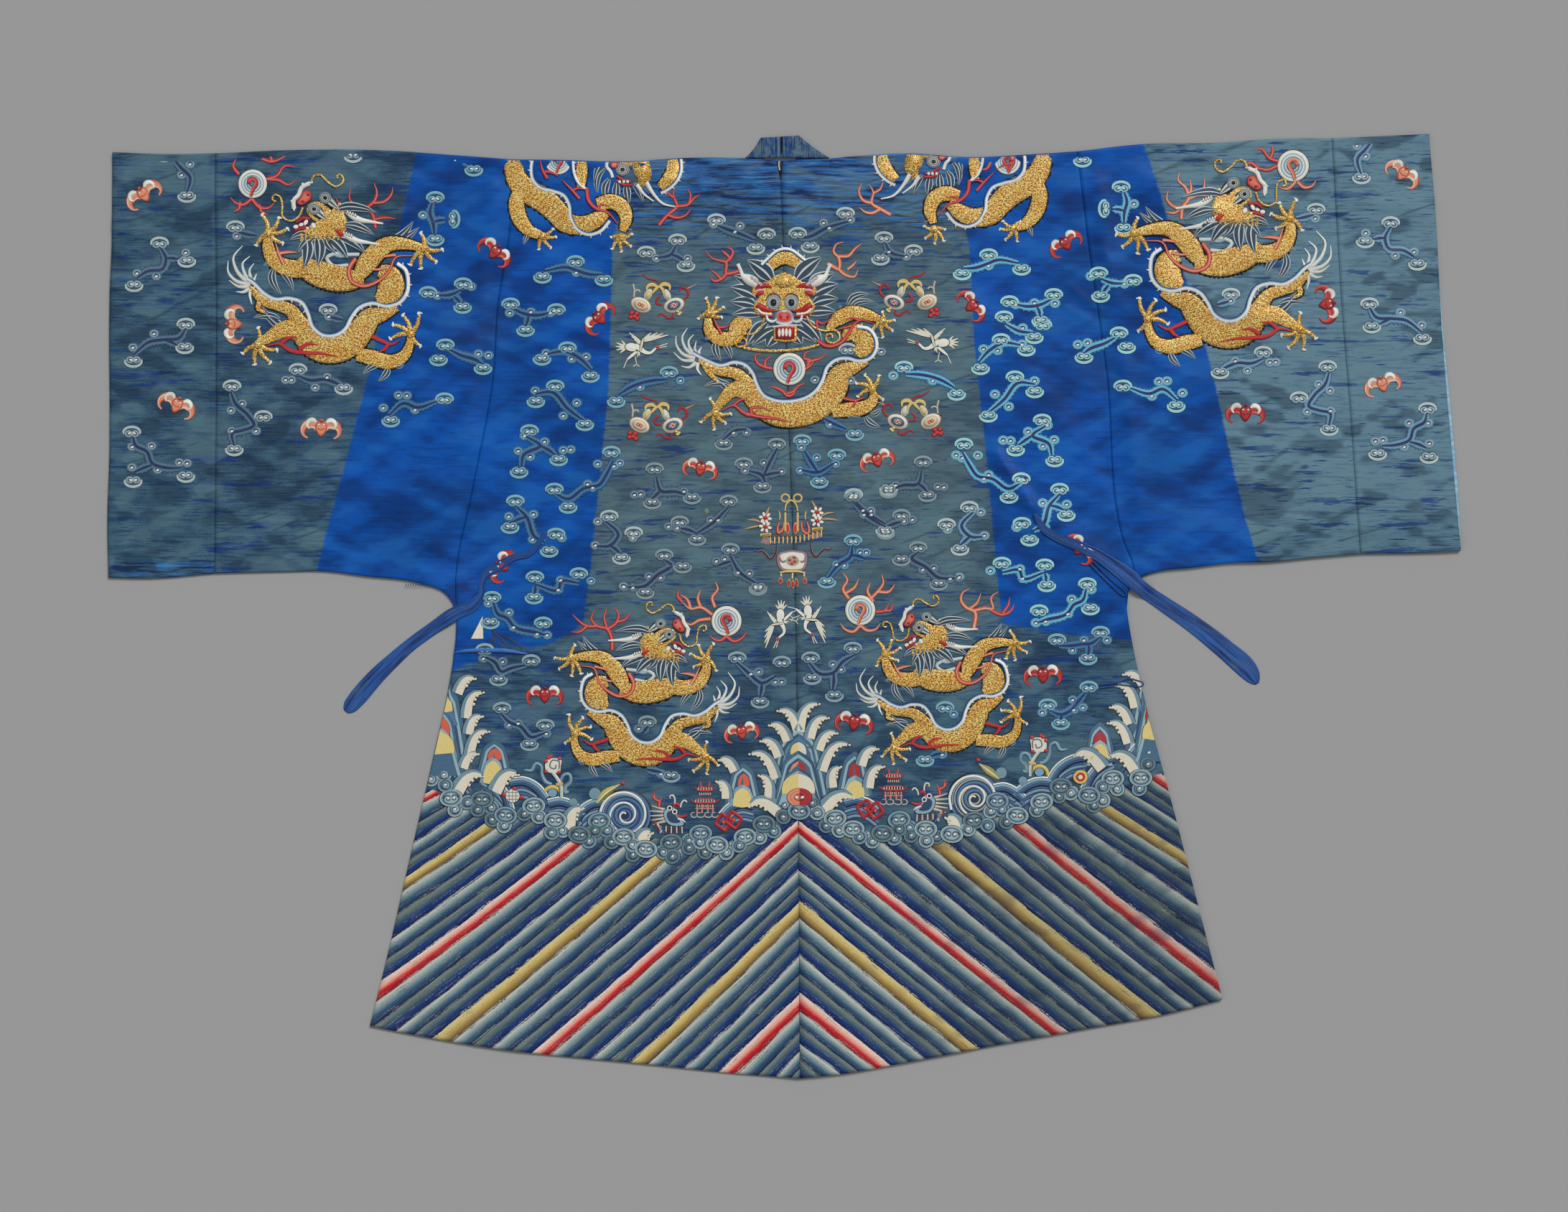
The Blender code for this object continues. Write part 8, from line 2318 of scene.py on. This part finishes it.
def write_strip_maps(mesh, shape, along):
    """Stores how far along and across the strip each point lies."""
    across = np.broadcast_to(np.linspace(-1, 1, shape[1]), shape)
    store(mesh, {"along": np.broadcast_to(along[:, None], shape), "across": across})


def tie(name, route, relief, folds, reach):
    """A folded strap along a route s -> (x, y, width).

    Its height across t in -1..1 is the silk's height plus reach (0.5 + 0.5 cos(pi (2.2 t + lean(s)))),
    where the wave fades to both edges, so that it shows lengthwise pleats.
    """
    table = np.array(route, float)
    line = hermite(np.column_stack([*on_sheet(table[:, 0], table[:, 1]), table[:, 2] * UNIT]), samples=14)
    run = run_along(line[:, :2])
    at = np.linspace(0, run[-1], steps(run[-1], 0.0028) + 1)
    x, y, width = (np.interp(at, run, column) for column in line.T)
    ahead = np.column_stack([np.gradient(x, at), np.gradient(y, at)])
    ahead /= np.linalg.norm(ahead, axis=1)[:, None]
    t = np.linspace(-1, 1, 15)
    tip = np.sqrt(np.clip(1 - np.clip((at - at[-1] + 0.014) / 0.015, 0, 1) ** 2, 0.04, 1))
    half = width / 2 * tip
    side_x, side_y = ahead[:, 1:] * half[:, None] * t, ahead[:, :1] * half[:, None] * t
    plan = np.dstack([x[:, None] - side_x, y[:, None] + side_y])
    lean = np.interp(at, np.linspace(0, at[-1], len(folds)), folds)[:, None]
    rise = 0.5 + 0.5 * np.cos(math.pi * (2.2 * t + lean)) * (1 - t**6)
    z = resting_z(plan, TIE_THICKNESS / 2 + 0.0001, relief) + reach * rise
    mesh = grid_mesh(name + "_strap", np.dstack([plan, z]))
    write_strip_maps(mesh, z.shape, at)
    piece = add_piece(name + "_strap", mesh, "Tie Silk")
    add_wall(piece, TIE_THICKNESS)
    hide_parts(name)


def cord_loop(name, route, relief):
    """A cord sewn on by both ends: a tube of CORD_RADIUS, wound with a twist, round its route."""
    line = hermite(np.column_stack(on_sheet(*np.array(route, float).T)), samples=10)
    run = run_along(line)
    at = np.linspace(0, run[-1], steps(run[-1], 0.0011) + 1)
    x, y = (np.interp(at, run, column) for column in line.T)
    z = resting_z(np.dstack([x, y]), CORD_RADIUS, relief)[0]
    path = np.column_stack([x, y, z])
    ahead = np.gradient(path, axis=0)
    ahead /= np.linalg.norm(ahead, axis=1)[:, None]
    side = np.cross(ahead, (0, 0, 1))
    side /= np.linalg.norm(side, axis=1)[:, None]
    up = np.cross(side, ahead)
    turn = np.linspace(0, 2 * math.pi, 13)
    twist = 1 - 0.10 * (0.5 + 0.5 * np.cos(2 * turn[None] + at[:, None] * 2400))
    grid = (path[:, None] + CORD_RADIUS * twist[..., None] * (np.cos(turn)[None, :, None] * side[:, None]
                                                              + np.sin(turn)[None, :, None] * up[:, None]))
    caps = [np.broadcast_to(end, grid[:1].shape) for end in (path[:1, None], path[-1:, None])]
    grid = np.concatenate([caps[0], grid, caps[1]])
    mesh = grid_mesh(name + "_cord", grid)
    write_strip_maps(mesh, grid.shape[:2], np.concatenate([at[:1], at, at[-1:]]))
    work = bmesh.new()
    work.from_mesh(mesh)
    bmesh.ops.remove_doubles(work, verts=work.verts[:], dist=1e-7)
    bmesh.ops.recalc_face_normals(work, faces=work.faces[:])
    work.to_mesh(mesh)
    work.free()
    piece = add_piece(name + "_cord", mesh, "Tie Silk")
    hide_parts(name)


NECK_BAND_HEIGHT = 0.031
NECK_BAND_THICKNESS = 0.0010
NECK_FREE_WIDTH = 0.0553
NECK_FREE_MIDDLE = -0.0063
NECK_TILT = 0.0016
NECK_FREE_Z = 0.0042
BAND_END_ANGLE = 0.03
BAND_STEPS = 90
SLIT_X = 1086  # the slit at the nape, sheet units


def neck_band():
    """The band round the neck, from the centre front over a fold to the back and down again.

    Its back part is gathered: z(x) falls by a deep slit and two pleats beside the centre seam.
    """
    middle, half = neck_hole()
    room = 3 * SEAM
    free_half, free_middle = NECK_FREE_WIDTH / 2, NECK_FREE_MIDDLE
    quarter = np.linspace(math.pi / 2 - BAND_END_ANGLE, 0, 24)
    share = np.linspace(-1, 1, BAND_STEPS + 1)
    columns = []
    for k in np.linspace(0, 1, 13):
        mid = middle + (free_middle - middle) * k
        wide = half - room + (free_half - half + room) * k ** 0.82
        line_y = NECK_LINE_Y + room + (NECK_BAND_HEIGHT + NECK_TILT * share) * k
        drop = NECK_DROP - room - (NECK_DROP - NECK_BAND_HEIGHT) * k + NECK_BAND_HEIGHT * k
        back = np.column_stack([mid + wide * share, line_y])
        low_z = NECK_BAND_THICKNESS / 2 + 0.0001
        z_seam = back_z(back[:, 0], np.full(len(share), NECK_LINE_Y))
        z_back = z_seam + (NECK_FREE_Z - z_seam) * k
        at = (back[:, 0] / UNIT + SHEET_X) - SLIT_X
        pleat = (0.7 * np.exp(-((at + 2.6) / 2.0) ** 2) - 1.5 * np.exp(-((at - 2.4) / 1.7) ** 2)
                 + 0.8 * np.exp(-((at - 7.4) / 2.4) ** 2) - 0.6 * np.exp(-((at + 6.4) / 1.6) ** 2)
                 + 0.16 * np.sin(at * 1.5) + 0.10 * np.sin(at * 2.7 + 1))
        z_back += 0.0008 * pleat * smoothstep(k * 6) * smoothstep((1 - np.abs(share)) * 8)
        right_x, left_x = mid + wide * np.cos(quarter), mid - wide * np.cos(quarter[::-1])
        right_y = line_y[-1] - drop * np.sin(quarter)
        left_y = line_y[0] - drop * np.sin(quarter[::-1])
        first = np.column_stack([right_x, right_y, np.full(len(quarter), low_z)])
        last = np.column_stack([left_x, left_y, np.full(len(quarter), low_z)])
        right_fold = bend(back[-1:], np.array([low_z]), z_back[-1:], np.array([[1.0, 0.0]]))[:, 0]
        left_fold = bend(back[:1], np.array([low_z]), z_back[:1], np.array([[-1.0, 0.0]]))[::-1, 0]
        upper = np.column_stack([back, z_back])[::-1]
        columns.append(np.concatenate([first[:-1], right_fold, upper[1:-1], left_fold, last[1:]]))
    mesh = grid_mesh("neck_band_silk", np.array(columns))
    piece = add_piece("neck_band_silk", mesh, "Collar Silk")
    add_wall(piece, NECK_BAND_THICKNESS)
    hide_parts("neck_band")


LINING_STEPS = 181


def cuff_lining():
    """The lining's pale edge in the right sleeve's mouth: z is even, with soft waves along it."""
    outer = cut_line(LINING_EDGE)(np.linspace(0.03, 0.93, LINING_STEPS))
    outer = outer[:, :2] if outer.ndim > 1 else outer
    inner = outer - [0.022, 0]
    at = np.linspace(0, 1, LINING_STEPS)
    z = WALL + LAY + LINING_WALL / 2
    rows = [np.column_stack([inner + (outer - inner) * k, z + 0.0001 * k * np.sin(at * 60)])
        for k in np.linspace(0, 1, 9)]
    mesh = grid_mesh("cuff_lining_silk", np.array(rows))
    piece = add_piece("cuff_lining_silk", mesh, "Lining Silk")
    add_wall(piece, LINING_WALL * 0.8)
    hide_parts("cuff_lining_right")


def front_overlap():
    """The outer front: lies flat on the table below the right half, from the centre to the side."""
    top, side, centre = hermite(OVERLAP_TOP) * MM, hermite(SIDE_RIGHT) * MM, hermite(CENTRE_SEAM) * MM
    u, v = np.linspace(0, 1, 41), np.linspace(0, 1, 61)
    hem_y = cut_line(HEM_RIGHT)(u)[:, 1]
    top_y = np.interp(top[0, 0] + (top[-1, 0] - top[0, 0]) * u, top[:, 0], top[:, 1])
    y = hem_y + (top_y - hem_y) * v[:, None]
    x_side = np.interp(y[:, -1], side[:, 1], side[:, 0])
    x_centre = np.interp(y[:, 0], centre[:, 1], centre[:, 0]) + SEAM / 2
    x = x_centre[:, None] + (x_side - x_centre)[:, None] * u
    return silk_panel("front_overlap", np.dstack([x, y, np.full(x.shape, WALL / 2)]))


class RobeCloth(bpy.types.PropertyGroup):
    """Sizes and colours of the cloth."""

    silk_thickness: FloatProperty(name="Silk thickness",
        description="Thickness of the silk with its lining", default=0.0013, min=0.0004, max=0.002,
        unit="LENGTH")
    bright_blue: FloatVectorProperty(name="Bright blue",
        description="Silk that kept its dye, in full light", subtype="COLOR", size=3,
        default=linear((0, 84, 180)))
    deep_blue: FloatVectorProperty(name="Deep blue",
        description="Silk that kept its dye, in its darker parts", subtype="COLOR", size=3,
        default=linear((0, 66, 142)))
    faded_grey: FloatVectorProperty(name="Faded grey", description="Silk that faded, in its darker parts",
                                    subtype="COLOR", size=3, default=linear((42, 72, 98)))
    faded_teal: FloatVectorProperty(name="Faded teal", description="Silk that faded, in its lighter parts",
                                    subtype="COLOR", size=3, default=linear((64, 102, 122)))


class RobeStage(bpy.types.PropertyGroup):
    """The table, the camera and the light."""

    camera_height: FloatProperty(name="Camera height", description="Height of the camera over the table",
                                 default=4.51, min=2.0, max=10.0, unit="LENGTH")
    lens: FloatProperty(name="Lens", description="Focal length of the camera", default=70.0, min=20.0,
        max=200.0)
    light_strength: FloatProperty(name="Light strength",
        description="Strength of the main light, watts a square metre", default=2.06, min=0.0)


def add_light(name, place, softness, strength):
    """A broad even light that shines from a place towards the middle; softness is its width in degrees."""
    data = bpy.data.lights.new(name, "SUN")
    data.energy, data.angle = strength, math.radians(softness)
    light = bpy.data.objects.new(name, data)
    light.rotation_euler = Vector(place).to_track_quat("Z", "Y").to_euler()
    bpy.context.scene.collection.objects.link(light)


# Lights: name, place, width in degrees, share of the main strength
LIGHTS = (("main_light", (0.9, 1.5, 1.9), 24, 1.0), ("fill_light", (-1.5, -0.6, 1.6), 60, 0.16))
STUDIO_GREY, STUDIO_STRENGTH = (0.80, 0.80, 0.80, 1), 0.31
SENSOR, FAR = 36.0, 50.0
TABLE_REACH = 6


class ROBE_OT_stage(bpy.types.Operator):
    """Lays the table, hangs the soft lights and sets the camera over the robe"""

    bl_idname = "robe.stage"
    bl_label = "Stage"

    def execute(self, context):
        settings = context.scene.robe_stage
        for finish in (stage_finish, floss_finish, gold_finish, tie_finish, collar_finish, lining_finish):
            finish()
        spots = np.linspace(-TABLE_REACH, TABLE_REACH, 5)
        x, y = np.meshgrid(spots, spots)
        mesh = grid_mesh("table", np.dstack([x, y, np.zeros_like(x)]))
        table = bpy.data.objects.new("table", mesh)
        mesh.materials.append(bpy.data.materials["Floor Paper"])
        context.scene.collection.objects.link(table)
        for name, place, softness, share in LIGHTS:
            add_light(name, place, softness, settings.light_strength * share)
        data = bpy.data.cameras.new("overhead")
        data.lens, data.sensor_width, data.clip_end = settings.lens, SENSOR, FAR
        camera = bpy.data.objects.new("overhead", data)
        camera.location = (0, 0, settings.camera_height)
        context.scene.collection.objects.link(camera)
        context.scene.camera = camera
        world = bpy.data.worlds.new("studio")
        world.use_nodes = True
        background = world.node_tree.nodes["Background"].inputs
        background["Color"].default_value = STUDIO_GREY
        background["Strength"].default_value = STUDIO_STRENGTH
        context.scene.world = world
        context.scene.view_settings.view_transform = "Standard"
        return {"FINISHED"}


class ROBE_OT_cloth(bpy.types.Operator):
    """Builds the body, the sleeves and the cuffs over their cuts"""

    bl_idname = "robe.cloth"
    bl_label = "Silk Panels"

    def execute(self, context):
        silk_finish(context.scene.robe_cloth)
        body_half("body_left", SIDE_LEFT, ARMHOLE_LEFT, SEAM / 2,
            cut_line(HEM_LEFT), SHOULDER_LEFT, NECK_BACK_LEFT, True, left_front_z)
        body_half("body_right", SIDE_RIGHT, ARMHOLE_RIGHT, -SEAM / 2,
                  cut_line(HEM_RIGHT), SHOULDER_RIGHT, NECK_BACK_RIGHT, False, right_front_z)
        sleeve_tube("sleeve_left", cut_line(CUFF_SEAM_LEFT, shift=SEAM / 2),
                    cut_line(ARMHOLE_LEFT, shift=-SEAM / 2), cut_line(UNDERARM_LEFT),
                    cut_line(SHOULDER_LEFT_SLEEVE), 0.40, left_front_z, flat_end=1)
        sleeve_tube("sleeve_right", cut_line(ARMHOLE_RIGHT, shift=SEAM / 2),
                    cut_line(CUFF_SEAM_RIGHT, shift=-SEAM / 2), cut_line(UNDERARM_RIGHT[::-1]),
                    cut_line(SHOULDER_RIGHT_SLEEVE), 0.36, right_front_z, flat_end=0)
        sleeve_tube("cuff_panel_left", cut_line(MOUTH_LEFT),
                    cut_line(CUFF_SEAM_LEFT, shift=-SEAM / 2), cut_line(UNDERARM_LEFT_CUFF),
                    cut_line(SHOULDER_LEFT_CUFF), 0.16, left_front_z)
        sleeve_tube("cuff_panel_right",
            cut_line(CUFF_SEAM_RIGHT, shift=SEAM / 2), cut_line(MOUTH_RIGHT),
            cut_line(UNDERARM_RIGHT_CUFF[::-1]), cut_line(SHOULDER_RIGHT_CUFF), 0.15, left_front_z,
            cuff_back_z)
        return {"FINISHED"}


class ROBE_OT_clouds(bpy.types.Operator):
    """Sews the clouds: curled heads joined by stems"""

    bl_idname = "robe.clouds"
    bl_label = "Clouds"

    def execute(self, context):
        relief = Relief()
        left = Needlework("clouds_left")
        sew_clouds(left, CLOUDS_LEFT)
        left.finish(relief)
        middle = Needlework("clouds_middle")
        sew_clouds(middle, CLOUDS_MIDDLE)
        sew_clouds(middle, [CLOUDS_MIDDLE[k] for k in TWINS_MIDDLE], True)
        middle.finish(relief)
        right = Needlework("clouds_right")
        sew_clouds(right, [CLOUDS_LEFT[k] for k in TWINS], True, {"v": CLOUD_BRIGHT, "f": CLOUD_RIGHT})
        sew_clouds(right, SPOTS_RIGHT)
        right.finish(relief)
        return {"FINISHED"}


# Middle of the side dragon's own drawing, and how many sheet units its drawing units are
SIDE_MIDDLE = (784, 784)
SIDE_UNIT, FRONT_UNIT, SHOULDER_UNIT = 1 / 6.272, 1 / 5.7, 1 / 6.03
FRONT_PLACE, SHOULDER_PLACE = (970, 335), (700, 215)
# Dragons from their side: name, sheet place, size, tilt and whether mirrored
SIDE_DRAGONS = (("dragon_lower_right", 1315, 950, 1.0, 0, False),
    ("dragon_lower_left", 901.9, 965.2, 1.0435, -4.5, True), ("dragon_sleeve_left", 463.9, 389.5, 1.2, 10.5,
    False), ("dragon_sleeve_right", 1707, 368.7, 1.2, -10.5, True))


class ROBE_OT_dragons(bpy.types.Operator):
    """Sews the dragons in couched gold thread"""

    bl_idname = "robe.dragons"
    bl_label = "Dragons"

    def execute(self, context):
        relief = Relief()
        for name, x, y, size, turn, mirror in SIDE_DRAGONS:
            work = Needlework(name)
            work.pose(x, y, size * SIDE_UNIT, turn, mirror, SIDE_MIDDLE)
            side_dragon(work)
            work.finish(relief)
        work = Needlework("dragon_middle")
        work.pose(*FRONT_PLACE, FRONT_UNIT)
        front_dragon(work)
        work.finish(relief)
        work = Needlework("dragons_shoulder")
        work.pose(*SHOULDER_PLACE, SHOULDER_UNIT)
        shoulder_dragon(work)
        work.pose(*twin(*SHOULDER_PLACE), SHOULDER_UNIT, 0, True)
        shoulder_dragon(work)
        work.finish(relief)
        return {"FINISHED"}


class ROBE_OT_pearls(bpy.types.Operator):
    """Sews the pearls, their flames, the corals and the bats"""

    bl_idname = "robe.pearls"
    bl_label = "Pearls and Bats"

    def execute(self, context):
        relief = Relief()
        work = Needlework("pearls")
        for floss, width, path in CORALS:
            flame(work, path, width, (RED_FLOSS, CORAL_FLOSS)[floss], 0.5)
        for floss, path in PEARL_FLAMES:
            flame(work, path, 5.4, (RED_FLOSS, CORAL_FLOSS)[floss], 0.5)
        for x, y, radius, floss, wind in PEARLS:
            pearl(work, x, y, radius, (RED_FLOSS, CORAL_FLOSS)[floss], wind)
        work.finish(relief)
        work = Needlework("bats")
        flosses = (((150, 34, 30), (206, 66, 48), (230, 150, 124)),
            ((132, 18, 26), (184, 30, 34), (206, 84, 72)),
            ((196, 92, 62), (224, 142, 108), (236, 190, 166)))
        for x, y, span, turn, floss in BATS:
            bat(work, x, y, span, turn, flosses[floss])
        work.finish(relief)
        return {"FINISHED"}


class ROBE_OT_emblems(bpy.types.Operator):
    """Sews the cranes, the gourds and the hanging vase, and the small marks of wear, with painted shadow in
    the slit and painted shade and highlight on the pucker
    """

    bl_idname = "robe.emblems"
    bl_label = "Cranes, Gourds and Vase"

    def execute(self, context):
        relief = Relief()
        for name, sew in (("emblems", sew_emblems), ("marks", sew_marks)):
            work = Needlework(name)
            sew(work)
            work.finish(relief)
        return {"FINISHED"}


class ROBE_OT_trims(bpy.types.Operator):
    """Adds the neck band, the lining's edge, the outer front, the ties and the cord loops over their cuts"""

    bl_idname = "robe.trims"
    bl_label = "Band, Ties and Loops"

    def execute(self, context):
        relief = Relief()
        neck_band()
        cuff_lining()
        front_overlap()
        tie("tie_left", TIE_LEFT_ROUTE, relief, (0.2, 0.9, 0.1, 1.1, 0.6, 0.6), 0.0006)
        tie("tie_right", TIE_RIGHT_ROUTE, relief, (0.6, 0.1, 0.8, 0.2, 1.0, 0.5), 0.0006)
        cord_loop("loop_waist", LOOP_WAIST_ROUTE, relief)
        cord_loop("loop_arm", LOOP_ARM_ROUTE, relief)
        return {"FINISHED"}


class ROBE_OT_waves(bpy.types.Operator):
    """Sews the sea along the hem, its hills and its treasures"""

    bl_idname = "robe.waves"
    bl_label = "Sea"

    def execute(self, context):
        work = Needlework("waves")
        sew_waves(work)
        work.finish(Relief())
        return {"FINISHED"}


SETTINGS = {"robe_cloth": RobeCloth, "robe_stage": RobeStage}
STEPS = (ROBE_OT_stage, ROBE_OT_cloth, ROBE_OT_clouds, ROBE_OT_dragons, ROBE_OT_pearls, ROBE_OT_waves,
    ROBE_OT_emblems, ROBE_OT_trims)


class ROBE_PT_panel(bpy.types.Panel):
    """Lists the robe's settings and the operators in the order in which they build it"""

    bl_idname = "ROBE_PT_panel"
    bl_label = "Dragon Robe"
    bl_space_type = "VIEW_3D"
    bl_region_type = "UI"
    bl_category = "Robe"

    def draw(self, context):
        for name, group in SETTINGS.items():
            box = self.layout.box()
            for setting in group.__annotations__:
                box.prop(getattr(context.scene, name), setting)
        for step in STEPS:
            self.layout.operator(step.bl_idname)


def register():
    for group in (*SETTINGS.values(), *STEPS, ROBE_PT_panel):
        bpy.utils.register_class(group)
    for name, group in SETTINGS.items():
        setattr(bpy.types.Scene, name, PointerProperty(type=group))


def unregister():
    for name in SETTINGS:
        delattr(bpy.types.Scene, name)
    for group in (ROBE_PT_panel, *STEPS[::-1], *SETTINGS.values()):
        bpy.utils.unregister_class(group)


def main():
    register()
    for step in STEPS:
        module, name = step.bl_idname.split(".")
        getattr(getattr(bpy.ops, module), name)()


if __name__ == "__main__":
    main()
